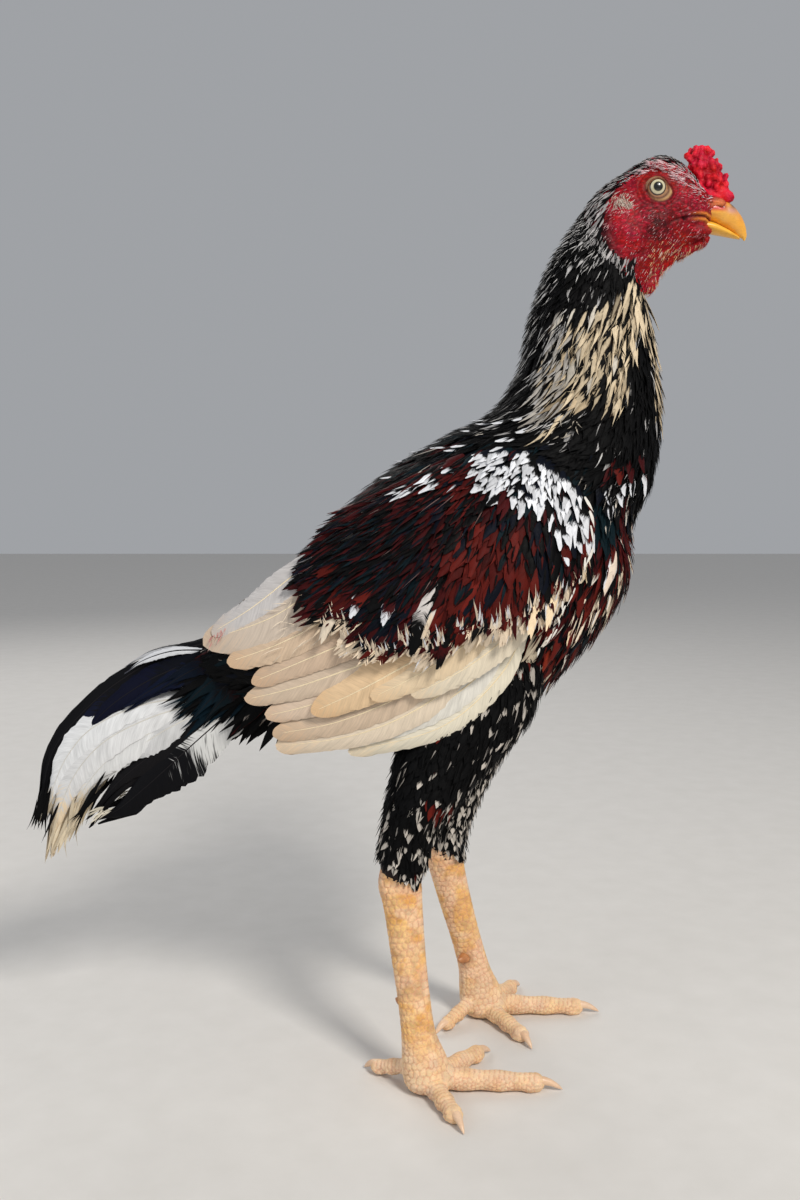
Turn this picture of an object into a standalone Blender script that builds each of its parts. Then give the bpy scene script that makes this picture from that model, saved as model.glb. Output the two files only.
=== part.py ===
"""A life-size Aseel cock, standing still, as a museum model.

It faces +X with +Z up, in metres. The tail hangs towards -X, the bird's right side is -Y and the
soles of its toes are flats at z = 0. The side outline is drawn as pairs of points, one on the upper
line of the body and one on the lower line, and each pair carries a cross-section as wide as the
bird is there.
"""

import math
import random
from collections import namedtuple

import bmesh
import bpy
from mathutils import Vector

# Gap that two neighbouring solids keep where they meet.
GAP = 0.0003

# A cross-section of the body: a point (x, z) on the upper line, one on the lower line, and half its
# width in Y.
Section = namedtuple("Section", "top bottom half_width")

# A cross-section of a limb: its centre, then half its size in X and in Y.
Slice = namedtuple("Slice", "centre half_x half_y")

# Body lines, from the photograph's outline.
TORSO = (
    Section((0.072, 0.405), (0.122, 0.392), 0.020),
    Section((0.056, 0.416), (0.146, 0.376), 0.044),
    Section((0.030, 0.406), (0.148, 0.350), 0.058),
    Section((-0.006, 0.385), (0.146, 0.314), 0.066),
    Section((-0.032, 0.366), (0.129, 0.284), 0.070),
    Section((-0.052, 0.348), (0.100, 0.250), 0.068),
    Section((-0.071, 0.331), (0.066, 0.218), 0.063),
    Section((-0.090, 0.313), (0.018, 0.209), 0.054),
    Section((-0.107, 0.298), (-0.042, 0.217), 0.044),
    Section((-0.118, 0.284), (-0.086, 0.236), 0.032),
    Section((-0.118, 0.270), (-0.106, 0.252), 0.015),
)
NECK = (
    Section((0.1185, 0.5440), (0.1560, 0.4960), 0.021),
    Section((0.0990, 0.5160), (0.1600, 0.4800), 0.024),
    Section((0.0880, 0.4910), (0.1610, 0.4640), 0.027),
    Section((0.0810, 0.4680), (0.1620, 0.4480), 0.031),
    Section((0.0760, 0.4480), (0.1640, 0.4320), 0.035),
    Section((0.0690, 0.4350), (0.1645, 0.4130), 0.040),
    Section((0.0600, 0.4230), (0.1630, 0.3950), 0.046),
    Section((0.0520, 0.4140), (0.1560, 0.3800), 0.050),
    Section((0.0620, 0.3960), (0.1380, 0.3680), 0.040),
)
HEAD = (
    Section((0.1185, 0.5440), (0.1545, 0.4990), 0.0205),
    Section((0.1280, 0.5550), (0.1605, 0.5062), 0.0210),
    Section((0.1380, 0.5645), (0.1685, 0.5143), 0.0205),
    Section((0.1490, 0.5722), (0.1757, 0.5203), 0.0200),
    Section((0.1610, 0.5762), (0.1825, 0.5247), 0.0190),
    Section((0.1720, 0.5722), (0.1875, 0.5282), 0.0165),
    Section((0.1810, 0.5640), (0.1905, 0.5310), 0.0138),
    Section((0.1905, 0.5570), (0.1905, 0.5345), 0.0105),
    Section((0.1995, 0.5520), (0.1955, 0.5420), 0.0062),
)

# A rounded mass: its centre on the right side, where Y is counted outwards, and its half sizes.
Bulb = namedtuple("Bulb", "centre radii")
EYE_CENTRE = (0.1561, 0.0135, 0.5548)
EYE_RADIUS = 0.0080
LID_RADIUS = 0.0060
LID_THICKNESS = 0.0013
LID_PLACE = 0.0188
ORBIT = Bulb((0.1566, 0.0125, 0.5545), (0.0115, 0.0064, 0.0108))
BROW = Bulb((0.1580, 0.0142, 0.5655), (0.0120, 0.0045, 0.0032))
CHEEK = Bulb((0.1530, 0.0128, 0.5360), (0.0170, 0.0088, 0.0140))
LOBE = Bulb((0.1380, 0.0195, 0.5290), (0.0138, 0.0052, 0.0138))
NOSTRIL = Bulb((0.1990, 0.0074, 0.5462), (0.0024, 0.0016, 0.0010))
MOUTH_CORNER = (0.1640, 0.5340)
MOUTH_FRONT = (0.1952, 0.5404)
MOUTH_REACH = 0.030
MOUTH_OPEN = 0.0008

# Folds of loose skin under the throat: their middle line, and their size along it as shares of the
# largest.
DEWLAP_LINE = (
    (0.1905, 0.5275), (0.1845, 0.5235), (0.1760, 0.5195), (0.1682, 0.5154), (0.1621, 0.5094),
    (0.1578, 0.5020), (0.1540, 0.4965),
)
DEWLAP_DEPTH = 0.0045
DEWLAP_HALF_WIDTH = 0.0050
DEWLAP_FULLNESS = (0.40, 0.70, 0.90, 1.00, 1.00, 1.00, 0.70)

# The comb's two inner masses, and its knobs (x, z) in rows that lie this far from the middle.
COMB_CORE = (
    Bulb((0.1890, 0.0, 0.5710), (0.0082, 0.0060, 0.0100)),
    Bulb((0.1955, 0.0, 0.5600), (0.0092, 0.0062, 0.0100)),
)
COMB_ROWS = (
    (0.0000, ((0.1822, 0.5800), (0.1895, 0.5790), (0.1955, 0.5735), (0.1995, 0.5660), (0.2022, 0.5580))),
    (0.0058, ((0.1832, 0.5745), (0.1880, 0.5680), (0.1925, 0.5615), (0.1970, 0.5560))),
)
COMB_KNOB = 0.0052

UPPER_BILL = (
    Section((0.1860, 0.5500), (0.1850, 0.5394), 0.0088),
    Section((0.1965, 0.5515), (0.1940, 0.5380), 0.0080),
    Section((0.2055, 0.5498), (0.2010, 0.5354), 0.0064),
    Section((0.2116, 0.5438), (0.2062, 0.5326), 0.0049),
    Section((0.2153, 0.5372), (0.2100, 0.5302), 0.0034),
    Section((0.2167, 0.5312), (0.2135, 0.5284), 0.0018),
    Section((0.2161, 0.5276), (0.2150, 0.5268), 0.0005),
)
LOWER_BILL = (
    Section((0.1850, 0.5388), (0.1850, 0.5328), 0.0080),
    Section((0.1940, 0.5378), (0.1945, 0.5312), 0.0072),
    Section((0.2005, 0.5352), (0.2030, 0.5296), 0.0056),
    Section((0.2060, 0.5324), (0.2085, 0.5285), 0.0038),
    Section((0.2108, 0.5300), (0.2122, 0.5278), 0.0018),
)

# Legs. Each foot's ball is the middle of its sole, and toe ends are claw roots on the floor.
Leg = namedtuple("Leg", "side thigh shank ball toes spur")
Toe = namedtuple("Toe", "name end claw radius")
RIGHT_LEG = Leg(
    "right",
    (
        Slice((0.0015, -0.0385, 0.124), 0.0135, 0.0110),
        Slice((0.0020, -0.0390, 0.140), 0.0170, 0.0140),
        Slice((0.0060, -0.0400, 0.160), 0.0185, 0.0175),
        Slice((0.0150, -0.0420, 0.181), 0.0240, 0.0215),
        Slice((0.0280, -0.0415, 0.206), 0.0320, 0.0205),
        Slice((0.0420, -0.0385, 0.235), 0.0400, 0.0220),
        Slice((0.0500, -0.0350, 0.268), 0.0380, 0.0230),
        Slice((0.0520, -0.0320, 0.295), 0.0240, 0.0170),
    ),
    (
        Slice((0.0000, -0.0382, 0.137), 0.0110, 0.0085),
        Slice((0.0000, -0.0390, 0.126), 0.0132, 0.0098),
        Slice((0.0020, -0.0405, 0.112), 0.0118, 0.0088),
        Slice((0.0050, -0.0435, 0.085), 0.0106, 0.0080),
        Slice((0.0085, -0.0470, 0.058), 0.0098, 0.0078),
        Slice((0.0115, -0.0498, 0.036), 0.0104, 0.0088),
        Slice((0.0150, -0.0512, 0.021), 0.0135, 0.0120),
        Slice((0.0170, -0.0518, 0.009), 0.0150, 0.0140),
        Slice((0.0170, -0.0518, 0.000), 0.0110, 0.0100),
    ),
    (0.0170, -0.0520),
    (
        Toe("inner", (0.0500, -0.0160), (0.0600, -0.0050), 0.0060),
        Toe("middle", (0.0840, -0.0530), (0.1010, -0.0540), 0.0067),
        Toe("outer", (0.0320, -0.0900), (0.0370, -0.1040), 0.0060),
        Toe("hind", (-0.0140, -0.0330), (-0.0230, -0.0260), 0.0050),
    ),
    ((0.0030, -0.0400, 0.050), (-0.0040, -0.0330, 0.0510), 0.0042),
)
LEFT_LEG = Leg(
    "left",
    (
        Slice((0.0320, 0.0375, 0.118), 0.0130, 0.0110),
        Slice((0.0300, 0.0380, 0.135), 0.0170, 0.0140),
        Slice((0.0350, 0.0395, 0.157), 0.0195, 0.0175),
        Slice((0.0430, 0.0420, 0.181), 0.0240, 0.0215),
        Slice((0.0510, 0.0415, 0.206), 0.0310, 0.0205),
        Slice((0.0560, 0.0385, 0.235), 0.0380, 0.0220),
        Slice((0.0580, 0.0350, 0.268), 0.0360, 0.0230),
        Slice((0.0560, 0.0320, 0.295), 0.0230, 0.0170),
    ),
    (
        Slice((0.0290, 0.0372, 0.135), 0.0110, 0.0085),
        Slice((0.0300, 0.0380, 0.124), 0.0132, 0.0098),
        Slice((0.0325, 0.0395, 0.111), 0.0120, 0.0088),
        Slice((0.0390, 0.0425, 0.085), 0.0110, 0.0080),
        Slice((0.0465, 0.0465, 0.058), 0.0102, 0.0078),
        Slice((0.0525, 0.0495, 0.036), 0.0108, 0.0088),
        Slice((0.0565, 0.0510, 0.021), 0.0140, 0.0120),
        Slice((0.0590, 0.0518, 0.009), 0.0155, 0.0140),
        Slice((0.0590, 0.0518, 0.000), 0.0110, 0.0100),
    ),
    (0.0590, 0.0520),
    (
        Toe("inner", (0.0820, 0.0110), (0.0880, -0.0020), 0.0060),
        Toe("middle", (0.1250, 0.0530), (0.1420, 0.0535), 0.0067),
        Toe("outer", (0.0820, 0.0850), (0.0900, 0.0970), 0.0060),
        Toe("hind", (0.0320, 0.0260), (0.0240, 0.0180), 0.0050),
    ),
    ((0.0450, 0.0410, 0.046), (0.0395, 0.0325, 0.0470), 0.0046),
)
TOE_ROOT_HEIGHT = 0.0074
TOE_END_HEIGHT = 0.0045
HIND_TOE_ROOT_HEIGHT = 0.0170
CLAW_RADIUS = 0.0032
SHANK_SCUTES = 11
TOE_SCUTES = 6
HIND_SCUTES = 4
SCUTE_RISE = 0.0012
SPUR_TAPER = (1.00, 0.85, 0.35)

# Outline of the wing's flesh and small coverts, which carries the large feathers.
WING_CORE_OUTLINE = (
    (0.108, 0.358), (0.104, 0.334), (0.086, 0.306), (0.062, 0.292), (0.036, 0.284),
    (0.010, 0.276), (-0.020, 0.277), (-0.044, 0.288), (-0.058, 0.303), (-0.072, 0.314),
    (-0.052, 0.333), (-0.005, 0.365), (0.040, 0.390), (0.072, 0.398), (0.098, 0.386),
)
# How far out of the mid-plane the outside of the wing stands, along X.
WING_SPREAD = ((-0.125, 0.047), (-0.075, 0.062), (-0.030, 0.075), (0.020, 0.084), (0.060, 0.083),
               (0.095, 0.072), (0.115, 0.056))
WING_AXIS_START = (0.100, 0.335)
WING_AXIS_END = (-0.100, 0.245)
WING_TOP_WRAP = 0.030
WING_LOW_WRAP = 0.006
WING_HALF_HEIGHT = 0.070

# A flight or tail feather: points (x, z) from root to tip, how deep under the outside each lies, and
# half its width.
Feather = namedtuple("Feather", "line depths half_width")
FLIGHT = (
    Feather(((-0.020, 0.3350), (-0.050, 0.3150), (-0.080, 0.2955), (-0.1225, 0.2800)),
            (0.0020, 0.0000, 0.0000, 0.0000), 0.0190),
    Feather(((-0.016, 0.3120), (-0.044, 0.2970), (-0.074, 0.2810), (-0.1060, 0.2685)),
            (0.0040, 0.0022, 0.0018, 0.0018), 0.0110),
    Feather(((-0.006, 0.2980), (-0.030, 0.2850), (-0.060, 0.2710), (-0.0910, 0.2570)),
            (0.0060, 0.0040, 0.0036, 0.0036), 0.0095),
    Feather(((-0.004, 0.2780), (-0.034, 0.2660), (-0.066, 0.2540), (-0.0960, 0.2455)),
            (0.0080, 0.0058, 0.0054, 0.0054), 0.0090),
    Feather(((0.000, 0.2660), (-0.030, 0.2540), (-0.058, 0.2430), (-0.0840, 0.2355)),
            (0.0100, 0.0078, 0.0072, 0.0072), 0.0090),
    Feather(((0.034, 0.2900), (0.002, 0.2700), (-0.026, 0.2540), (-0.0540, 0.2400)),
            (0.0060, 0.0045, 0.0042, 0.0042), 0.0120),
    Feather(((0.040, 0.2760), (0.002, 0.2520), (-0.038, 0.2340), (-0.0800, 0.2235)),
            (0.0110, 0.0092, 0.0088, 0.0088), 0.0090),
    Feather(((0.052, 0.2760), (0.016, 0.2460), (-0.026, 0.2260), (-0.0790, 0.2150)),
            (0.0130, 0.0112, 0.0108, 0.0108), 0.0085),
    Feather(((0.072, 0.2920), (0.046, 0.2600), (0.008, 0.2360), (-0.0400, 0.2190)),
            (0.0150, 0.0130, 0.0126, 0.0126), 0.0090),
    Feather(((0.084, 0.2960), (0.064, 0.2620), (0.026, 0.2300), (-0.0340, 0.2125)),
            (0.0170, 0.0148, 0.0144, 0.0144), 0.0080),
)
TAIL = (
    Feather(((-0.096, 0.2440), (-0.125, 0.2170), (-0.160, 0.1850), (-0.1960, 0.1580)),
            (0.0100, 0.0165, 0.0180, 0.0140), 0.0165),
    Feather(((-0.092, 0.2680), (-0.135, 0.2320), (-0.176, 0.1920), (-0.2060, 0.1540)),
            (0.0090, 0.0135, 0.0145, 0.0110), 0.0125),
    Feather(((-0.096, 0.2700), (-0.150, 0.2400), (-0.200, 0.1940), (-0.2330, 0.1340)),
            (0.0080, 0.0108, 0.0110, 0.0080), 0.0135),
    Feather(((-0.098, 0.2720), (-0.160, 0.2500), (-0.210, 0.2100), (-0.2360, 0.1580)),
            (0.0070, 0.0082, 0.0078, 0.0055), 0.0115),
    Feather(((-0.100, 0.2740), (-0.154, 0.2620), (-0.204, 0.2260), (-0.2385, 0.1590)),
            (0.0055, 0.0060, 0.0052, 0.0035), 0.0090),
    Feather(((-0.092, 0.2700), (-0.120, 0.2570), (-0.150, 0.2380), (-0.1780, 0.2160)),
            (0.0100, 0.0155, 0.0165, 0.0150), 0.0100),
    Feather(((-0.090, 0.2640), (-0.112, 0.2490), (-0.135, 0.2280), (-0.1580, 0.2030)),
            (0.0120, 0.0200, 0.0225, 0.0210), 0.0095),
)
TAIL_CORE = (
    Section((-0.098, 0.284), (-0.090, 0.244), 0.017),
    Section((-0.122, 0.277), (-0.104, 0.232), 0.016),
    Section((-0.148, 0.262), (-0.126, 0.216), 0.010),
    Section((-0.172, 0.244), (-0.154, 0.206), 0.004),
)
TAIL_ROLL = 0.42
# The upper line of the rump, which the saddle feathers follow.
SADDLE = (
    Section((-0.020, 0.3800), (-0.034, 0.3580), 0.014),
    Section((-0.040, 0.3640), (-0.054, 0.3420), 0.025),
    Section((-0.066, 0.3400), (-0.078, 0.3180), 0.030),
    Section((-0.094, 0.3140), (-0.104, 0.2930), 0.028),
    Section((-0.116, 0.2960), (-0.122, 0.2780), 0.022),
    Section((-0.132, 0.2870), (-0.134, 0.2740), 0.015),
)
# Line along the tips of the greater coverts, from the back of the wing to its front, and the way they point.
COVERT_TIPS = ((-0.078, 0.312), (-0.056, 0.290), (-0.030, 0.272), (0.004, 0.268), (0.038, 0.277),
               (0.072, 0.287), (0.094, 0.303), (0.106, 0.330))
COVERT_TURN = (math.radians(222), math.radians(278))
# A tier of coverts: how far its tips stand above the greater ones, then how many, how long and half
# how wide.
Tier = namedtuple("Tier", "above count length half_width lift")
COVERT_TIERS = (
    Tier(0.000, 10, 0.044, 0.0108, 0.0004),
    Tier(0.023, 7, 0.034, 0.0112, 0.0018),
)
WING_DEPTH_OF_CORE = 0.0022
WING_CORE_INNER = 0.0170
COVERT_ROOT_DEPTH = 0.0040
COVERT_THICKNESS = 0.0009
COVERT_ROLL = 0.10
VANE_THICKNESS = 0.0008
FLIGHT_ROLL = 0.09

# Small differences between like feathers come from one seeded source.
CHANCE = random.Random(7)

# Tiers of hackles: how far down the neck their roots stand, their reach down it, how many, half how
# wide, how raised.
Hackles = namedtuple("Hackles", "start reach count half_width lift")
HACKLE_TIERS = (
    Hackles(0.02, 0.26, 6, 0.0078, 0.0016),
    Hackles(0.18, 0.28, 7, 0.0092, 0.0002),
    Hackles(0.36, 0.30, 8, 0.0104, -0.0010),
    Hackles(0.56, 0.34, 9, 0.0118, -0.0020),
)
SADDLE_TIERS = (
    Hackles(0.06, 0.46, 4, 0.0072, 0.0022),
    Hackles(0.30, 0.46, 5, 0.0072, 0.0008),
    Hackles(0.55, 0.50, 4, 0.0072, -0.0006),
)
SADDLE_SPREAD = math.radians(66)
SADDLE_CORE = 0.86
NECK_CORE = 0.90
HACKLE_ROOT_DEPTH = 0.0040
HACKLE_THROAT_GAP = 0.35
HACKLE_THICKNESS = 0.0009
HACKLE_ROLL = 0.08
HACKLE_CLEARANCE = 0.0032

RED_SKIN = (0.62, 0.03, 0.05)
BLACK_PLUME = (0.02, 0.02, 0.025)
MAROON_PLUME = (0.14, 0.02, 0.015)
CREAM_PLUME = (0.80, 0.70, 0.55)
YELLOW_SCALE = (0.80, 0.50, 0.24)
YELLOW_HORN = (0.80, 0.52, 0.12)
PALE_CLAW = (0.78, 0.60, 0.42)
PALE_IRIS = (0.72, 0.62, 0.38)


def clear_scene():
    for obj in list(bpy.data.objects):
        bpy.data.objects.remove(obj)


def material(name, colour, roughness):
    made = bpy.data.materials.new(name)
    made.use_nodes = True
    shader = made.node_tree.nodes["Principled BSDF"]
    shader.inputs["Base Color"].default_value = (*colour, 1.0)
    shader.inputs["Roughness"].default_value = roughness
    shader.inputs["Metallic"].default_value = 0.0
    return made


def object_of(name, bm):
    """A mesh object made from bm, which is freed, with its faces pointing out."""
    bmesh.ops.recalc_face_normals(bm, faces=bm.faces)
    mesh = bpy.data.meshes.new(name)
    bm.to_mesh(mesh)
    bm.free()
    return bpy.data.objects.new(name, mesh)


def spline_at(values, share):
    """The value this far along a smooth curve through the given ones, each a tuple of Vectors."""
    last = len(values) - 1
    at = last * share
    k = min(int(at), last - 1)
    t = at - k
    a, b, c, d = (values[max(0, min(last, k + j))] for j in (-1, 0, 1, 2))
    return tuple(
        0.5 * (2 * q + (r - p) * t + (2 * p - 5 * q + 4 * r - s) * t * t + (3 * q - p - 3 * r + s) * t**3)
        for p, q, r, s in zip(a, b, c, d)
    )


def spline(values, count):
    """count values along a smooth curve through the given ones."""
    return [spline_at(values, i / (count - 1)) for i in range(count)]


def loft(name, frames, rings, sides):
    """A closed skin over cross-sections. A frame is (centre, one half axis, the other half axis)."""
    bm = bmesh.new()
    rows = []
    for centre, across, side in spline(frames, rings):
        turns = (2 * math.pi * j / sides for j in range(sides))
        rows.append([bm.verts.new(centre + across * math.cos(t) + side * math.sin(t)) for t in turns])
    for near, far in zip(rows, rows[1:]):
        for j in range(sides):
            k = (j + 1) % sides
            bm.faces.new((near[j], near[k], far[k]))
            bm.faces.new((near[j], far[k], far[j]))
    bm.faces.new(rows[0])
    bm.faces.new(rows[-1])
    return object_of(name, bm)


def vane(name, points, outs, half_widths, thickness, camber=0.0):
    """A thin feather blade along the points. outs are its upward directions, camber raises its middle."""
    bm = bmesh.new()
    rows = []
    for i, point in enumerate(points):
        along = (points[min(i + 1, len(points) - 1)] - points[max(i - 1, 0)]).normalized()
        side = along.cross(outs[i]).normalized()
        up = side.cross(along)
        w = half_widths[i]
        upper = [point - side * w, point + side * w]
        if camber:
            upper.insert(1, point + up * camber * w)
        rows.append([[bm.verts.new(v) for v in upper], [bm.verts.new(v - up * thickness) for v in upper]])
    for near, far in zip(rows, rows[1:]):
        for layer in (0, 1):
            a, b = near[layer], far[layer]
            for j in range(len(a) - 1):
                bm.faces.new((a[j], b[j], b[j + 1]))
                bm.faces.new((a[j], b[j + 1], a[j + 1]))
        for j in (0, -1):
            bm.faces.new((near[0][j], far[0][j], far[1][j]))
            bm.faces.new((near[0][j], far[1][j], near[1][j]))
    for row in (rows[0], rows[-1]):
        bm.faces.new(row[0] + row[1][::-1])
    return object_of(name, bm)


def rolled(points, outs, turn):
    """The outward directions turned about the line of points, so that one edge of a vane stands out."""
    made = []
    for i, out in enumerate(outs):
        along = (points[min(i + 1, len(points) - 1)] - points[max(i - 1, 0)]).normalized()
        made.append((out * math.cos(turn) + along.cross(out) * math.sin(turn)).normalized())
    return made


def curve(points, count):
    """count points along a smooth curve through the given ones."""
    return [made[0] for made in spline([(Vector(p),) for p in points], count)]


def body_frames(sections):
    frames = []
    for section in sections:
        top = Vector((section.top[0], 0.0, section.top[1]))
        bottom = Vector((section.bottom[0], 0.0, section.bottom[1]))
        frames.append(((top + bottom) / 2, (top - bottom) / 2, Vector((0.0, section.half_width, 0.0))))
    return frames


def limb_frames(slices):
    return [(Vector(s.centre), Vector((s.half_x, 0.0, 0.0)), Vector((0.0, s.half_y, 0.0))) for s in slices]


def tube_frames(points, widths, heights):
    """Frames across a path, as wide and as high at each point as widths and heights say."""
    frames = []
    for i, point in enumerate(points):
        along = (points[min(i + 1, len(points) - 1)] - points[max(i - 1, 0)]).normalized()
        side = along.cross(Vector((0.0, 0.0, 1.0))).normalized()
        frames.append((point, side * widths[i], side.cross(along) * heights[i]))
    return frames


def ball(name, centre, radii, turns=12, rings=8):
    bm = bmesh.new()
    bmesh.ops.create_uvsphere(bm, u_segments=turns, v_segments=rings, radius=1.0)
    for vert in bm.verts:
        vert.co = Vector(centre) + Vector(vert.co[k] * radii[k] for k in range(3))
    return object_of(name, bm)


def on_body(frames, share, turn, depth):
    """A point this deep under a lofted skin, and the outward direction there. turn 0 is the back."""
    def place(at, angle):
        centre, across, side = spline_at(frames, at)
        return centre + across * math.cos(angle) + side * math.sin(angle)

    step = 0.01
    inside = min(max(share, step), 1.0 - step)
    along = (place(inside + step, turn) - place(inside - step, turn)) / (2 * step)
    round_it = place(inside, turn + step) - place(inside, turn - step)
    out = round_it.cross(along).normalized()
    if out.dot(place(inside, turn) - spline_at(frames, inside)[0]) < 0:
        out = -out
    return place(inside, turn) + along * (share - inside) - out * depth, out


def ring(name, centre, radius, thickness, turns=14, sides=5):
    """A ring that lies in the XZ plane, a little longer than high."""
    bm = bmesh.new()
    rows = []
    for i in range(turns):
        t = 2 * math.pi * i / turns
        out = Vector((math.cos(t) * 1.08, 0.0, math.sin(t) * 0.96))
        row = []
        for j in range(sides):
            a = 2 * math.pi * j / sides
            place = out * (radius + thickness * math.cos(a)) + Vector((0.0, thickness * math.sin(a), 0.0))
            row.append(bm.verts.new(Vector(centre) + place))
        rows.append(row)
    for i, row in enumerate(rows):
        near = rows[(i + 1) % turns]
        for j in range(sides):
            k = (j + 1) % sides
            bm.faces.new((row[j], row[k], near[k]))
            bm.faces.new((row[j], near[k], near[j]))
    return object_of(name, bm)


def evaluated(obj):
    """Takes the object's modifiers into its mesh."""
    bpy.context.view_layer.update()
    graph = bpy.context.evaluated_depsgraph_get()
    mesh = bpy.data.meshes.new_from_object(obj.evaluated_get(graph))
    obj.modifiers.clear()
    obj.data = mesh


def keep_largest(obj):
    """Drops every closed surface of the object but the one with the largest volume."""
    bm = bmesh.new()
    bm.from_mesh(obj.data)
    bmesh.ops.triangulate(bm, faces=bm.faces)
    left, shells = set(bm.faces), []
    while left:
        stack, shell = [left.pop()], set()
        while stack:
            face = stack.pop()
            shell.add(face)
            for edge in face.edges:
                for other in edge.link_faces:
                    if other in left:
                        left.discard(other)
                        stack.append(other)
        shells.append(shell)

    def volume(shell):
        corners = ([v.co for v in face.verts] for face in shell)
        return sum(a.dot(b.cross(c)) for a, b, c in corners)

    best = max(shells, key=volume)
    spare = [face for shell in shells if shell is not best for face in shell]
    bmesh.ops.delete(bm, geom=spare, context="FACES")
    bm.to_mesh(obj.data)
    bm.free()


def boolean(obj, others, operation):
    """Joins the other objects to this one, or cuts them from it, and removes them."""
    helpers = bpy.data.collections.new("helpers")
    bpy.context.scene.collection.children.link(helpers)
    for other in others:
        helpers.objects.link(other)
    modifier = obj.modifiers.new("join", "BOOLEAN")
    modifier.operation = operation
    modifier.operand_type = "COLLECTION"
    modifier.collection = helpers
    modifier.solver = "MANIFOLD"
    bpy.context.scene.collection.objects.link(obj)
    evaluated(obj)
    bpy.context.scene.collection.objects.unlink(obj)
    for other in others:
        bpy.data.objects.remove(other)
    bpy.data.collections.remove(helpers)
    keep_largest(obj)
    return obj


def join(obj, others):
    return boolean(obj, others, "UNION")


def cut(obj, others):
    return boolean(obj, others, "DIFFERENCE")


def grown(obj, by=GAP):
    """A copy of the object whose surface stands out by this much."""
    made = bpy.data.objects.new(obj.name + "_grown", obj.data.copy())
    normals = [v.normal.copy() for v in made.data.vertices]
    for vert, normal in zip(made.data.vertices, normals):
        vert.co += normal * by
    return made


def mirrored(obj, name):
    """The object on the other side of the bird."""
    bm = bmesh.new()
    bm.from_mesh(obj.data)
    for vert in bm.verts:
        vert.co.y = -vert.co.y
    bmesh.ops.reverse_faces(bm, faces=bm.faces)
    mesh = bpy.data.meshes.new(name)
    bm.to_mesh(mesh)
    bm.free()
    return bpy.data.objects.new(name, mesh)


def floor_cutter():
    """A block with its upper face at z = 0, which gives the toes their flat soles."""
    bm = bmesh.new()
    bmesh.ops.create_cube(bm, size=1.0)
    for vert in bm.verts:
        vert.co.z -= 0.5
    return object_of("floor", bm)


def between(line, x):
    """Height of a line of (x, height) points at x."""
    for (x0, y0), (x1, y1) in zip(line, line[1:]):
        if x <= x1:
            share = max(0.0, (x - x0) / (x1 - x0))
            return y0 + (y1 - y0) * share
    return line[-1][1]


def wing_face(x, z):
    """How far from the mid-plane the outside of the right wing stands at (x, z)."""
    start, end = Vector(WING_AXIS_START), Vector(WING_AXIS_END)
    along = (end - start).normalized()
    above = Vector((x, z)) - start
    height = above.x * -along.y + above.y * along.x
    height = -height
    wrap = WING_TOP_WRAP if height > 0 else WING_LOW_WRAP
    return between(WING_SPREAD, x) - wrap * (height / WING_HALF_HEIGHT) ** 2


def on_wing(x, z, depth):
    """A point this deep under the outside of the right wing, and the outward direction there."""
    step = 0.001
    slope_x = (wing_face(x + step, z) - wing_face(x - step, z)) / (2 * step)
    slope_z = (wing_face(x, z + step) - wing_face(x, z - step)) / (2 * step)
    out = Vector((-slope_x, -1.0, -slope_z)).normalized()
    return Vector((x, -wing_face(x, z), z)) - out * depth, out


def bulb(name, shape, turns=8, rings=6):
    """A rounded mass on the bird's right side."""
    x, y, z = shape.centre
    return ball(name, (x, -y, z), shape.radii, turns, rings)


def mouth_cutter():
    """A wedge that opens from the corner of the mouth towards the bill."""
    bm = bmesh.new()
    bmesh.ops.create_cube(bm, size=1.0)
    for vert in bm.verts:
        x, z = MOUTH_CORNER if vert.co.x < 0 else MOUTH_FRONT
        half_open = MOUTH_OPEN if vert.co.x > 0 else MOUTH_OPEN / 8
        vert.co = Vector((x, math.copysign(MOUTH_REACH, vert.co.y), z + math.copysign(half_open, vert.co.z)))
    return object_of("mouth", bm)


def make_head(neck):
    """The head with its brows, lids, cheeks and line of mouth, and the two eyes set in it."""
    head = loft("head", body_frames(HEAD), 10, 13)
    lid = ring("lid", (EYE_CENTRE[0], -LID_PLACE, EYE_CENTRE[2]), LID_RADIUS, LID_THICKNESS)
    right = [bulb("brow", BROW), bulb("orbit", ORBIT, 10, 6), bulb("cheek", CHEEK, 8, 6), lid]
    join(head, right + [mirrored(o, o.name + "_left") for o in right])
    eyes = {}
    for side, sign in (("right", -1), ("left", 1)):
        place = (EYE_CENTRE[0], sign * EYE_CENTRE[1], EYE_CENTRE[2])
        eyes["eye_" + side] = ball("eye_" + side, place, (EYE_RADIUS,) * 3, 12, 8)
    cut(head, [grown(eye) for eye in eyes.values()])
    cut(head, [mouth_cutter(), grown(neck)])
    return head, eyes


def make_neck(neighbours):
    """The neck with its hackles, in tiers that each lie over the roots of the next lower one."""
    frames = body_frames(NECK)
    lean = [(centre, across * NECK_CORE, side * NECK_CORE) for centre, across, side in frames]
    neck = loft("neck", lean, 11, 12)
    hackles = []
    for row, tier in enumerate(HACKLE_TIERS):
        for i in range(tier.count):
            share = (i + 0.5) / tier.count
            turn = math.pi + HACKLE_THROAT_GAP + (2 * math.pi - 2 * HACKLE_THROAT_GAP) * share
            reach = tier.reach * CHANCE.uniform(0.92, 1.08)
            laid = []
            for k in range(4):
                part_way = k / 3
                depth = HACKLE_ROOT_DEPTH * (1 - part_way) ** 2 - tier.lift
                laid.append(on_body(frames, tier.start + reach * part_way, turn, depth))
            points, outs = [place for place, out in laid], [out for place, out in laid]
            widths = [tier.half_width * w for w in (0.7, 1.0, 0.85, 0.12)]
            outs = rolled(points, outs, HACKLE_ROLL if share < 0.5 else -HACKLE_ROLL)
            hackles.append(vane(f"hackle_{row}_{i}", points, outs, widths, HACKLE_THICKNESS))
    join(neck, hackles)
    return cut(neck, [grown(other) for other in neighbours])


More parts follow.
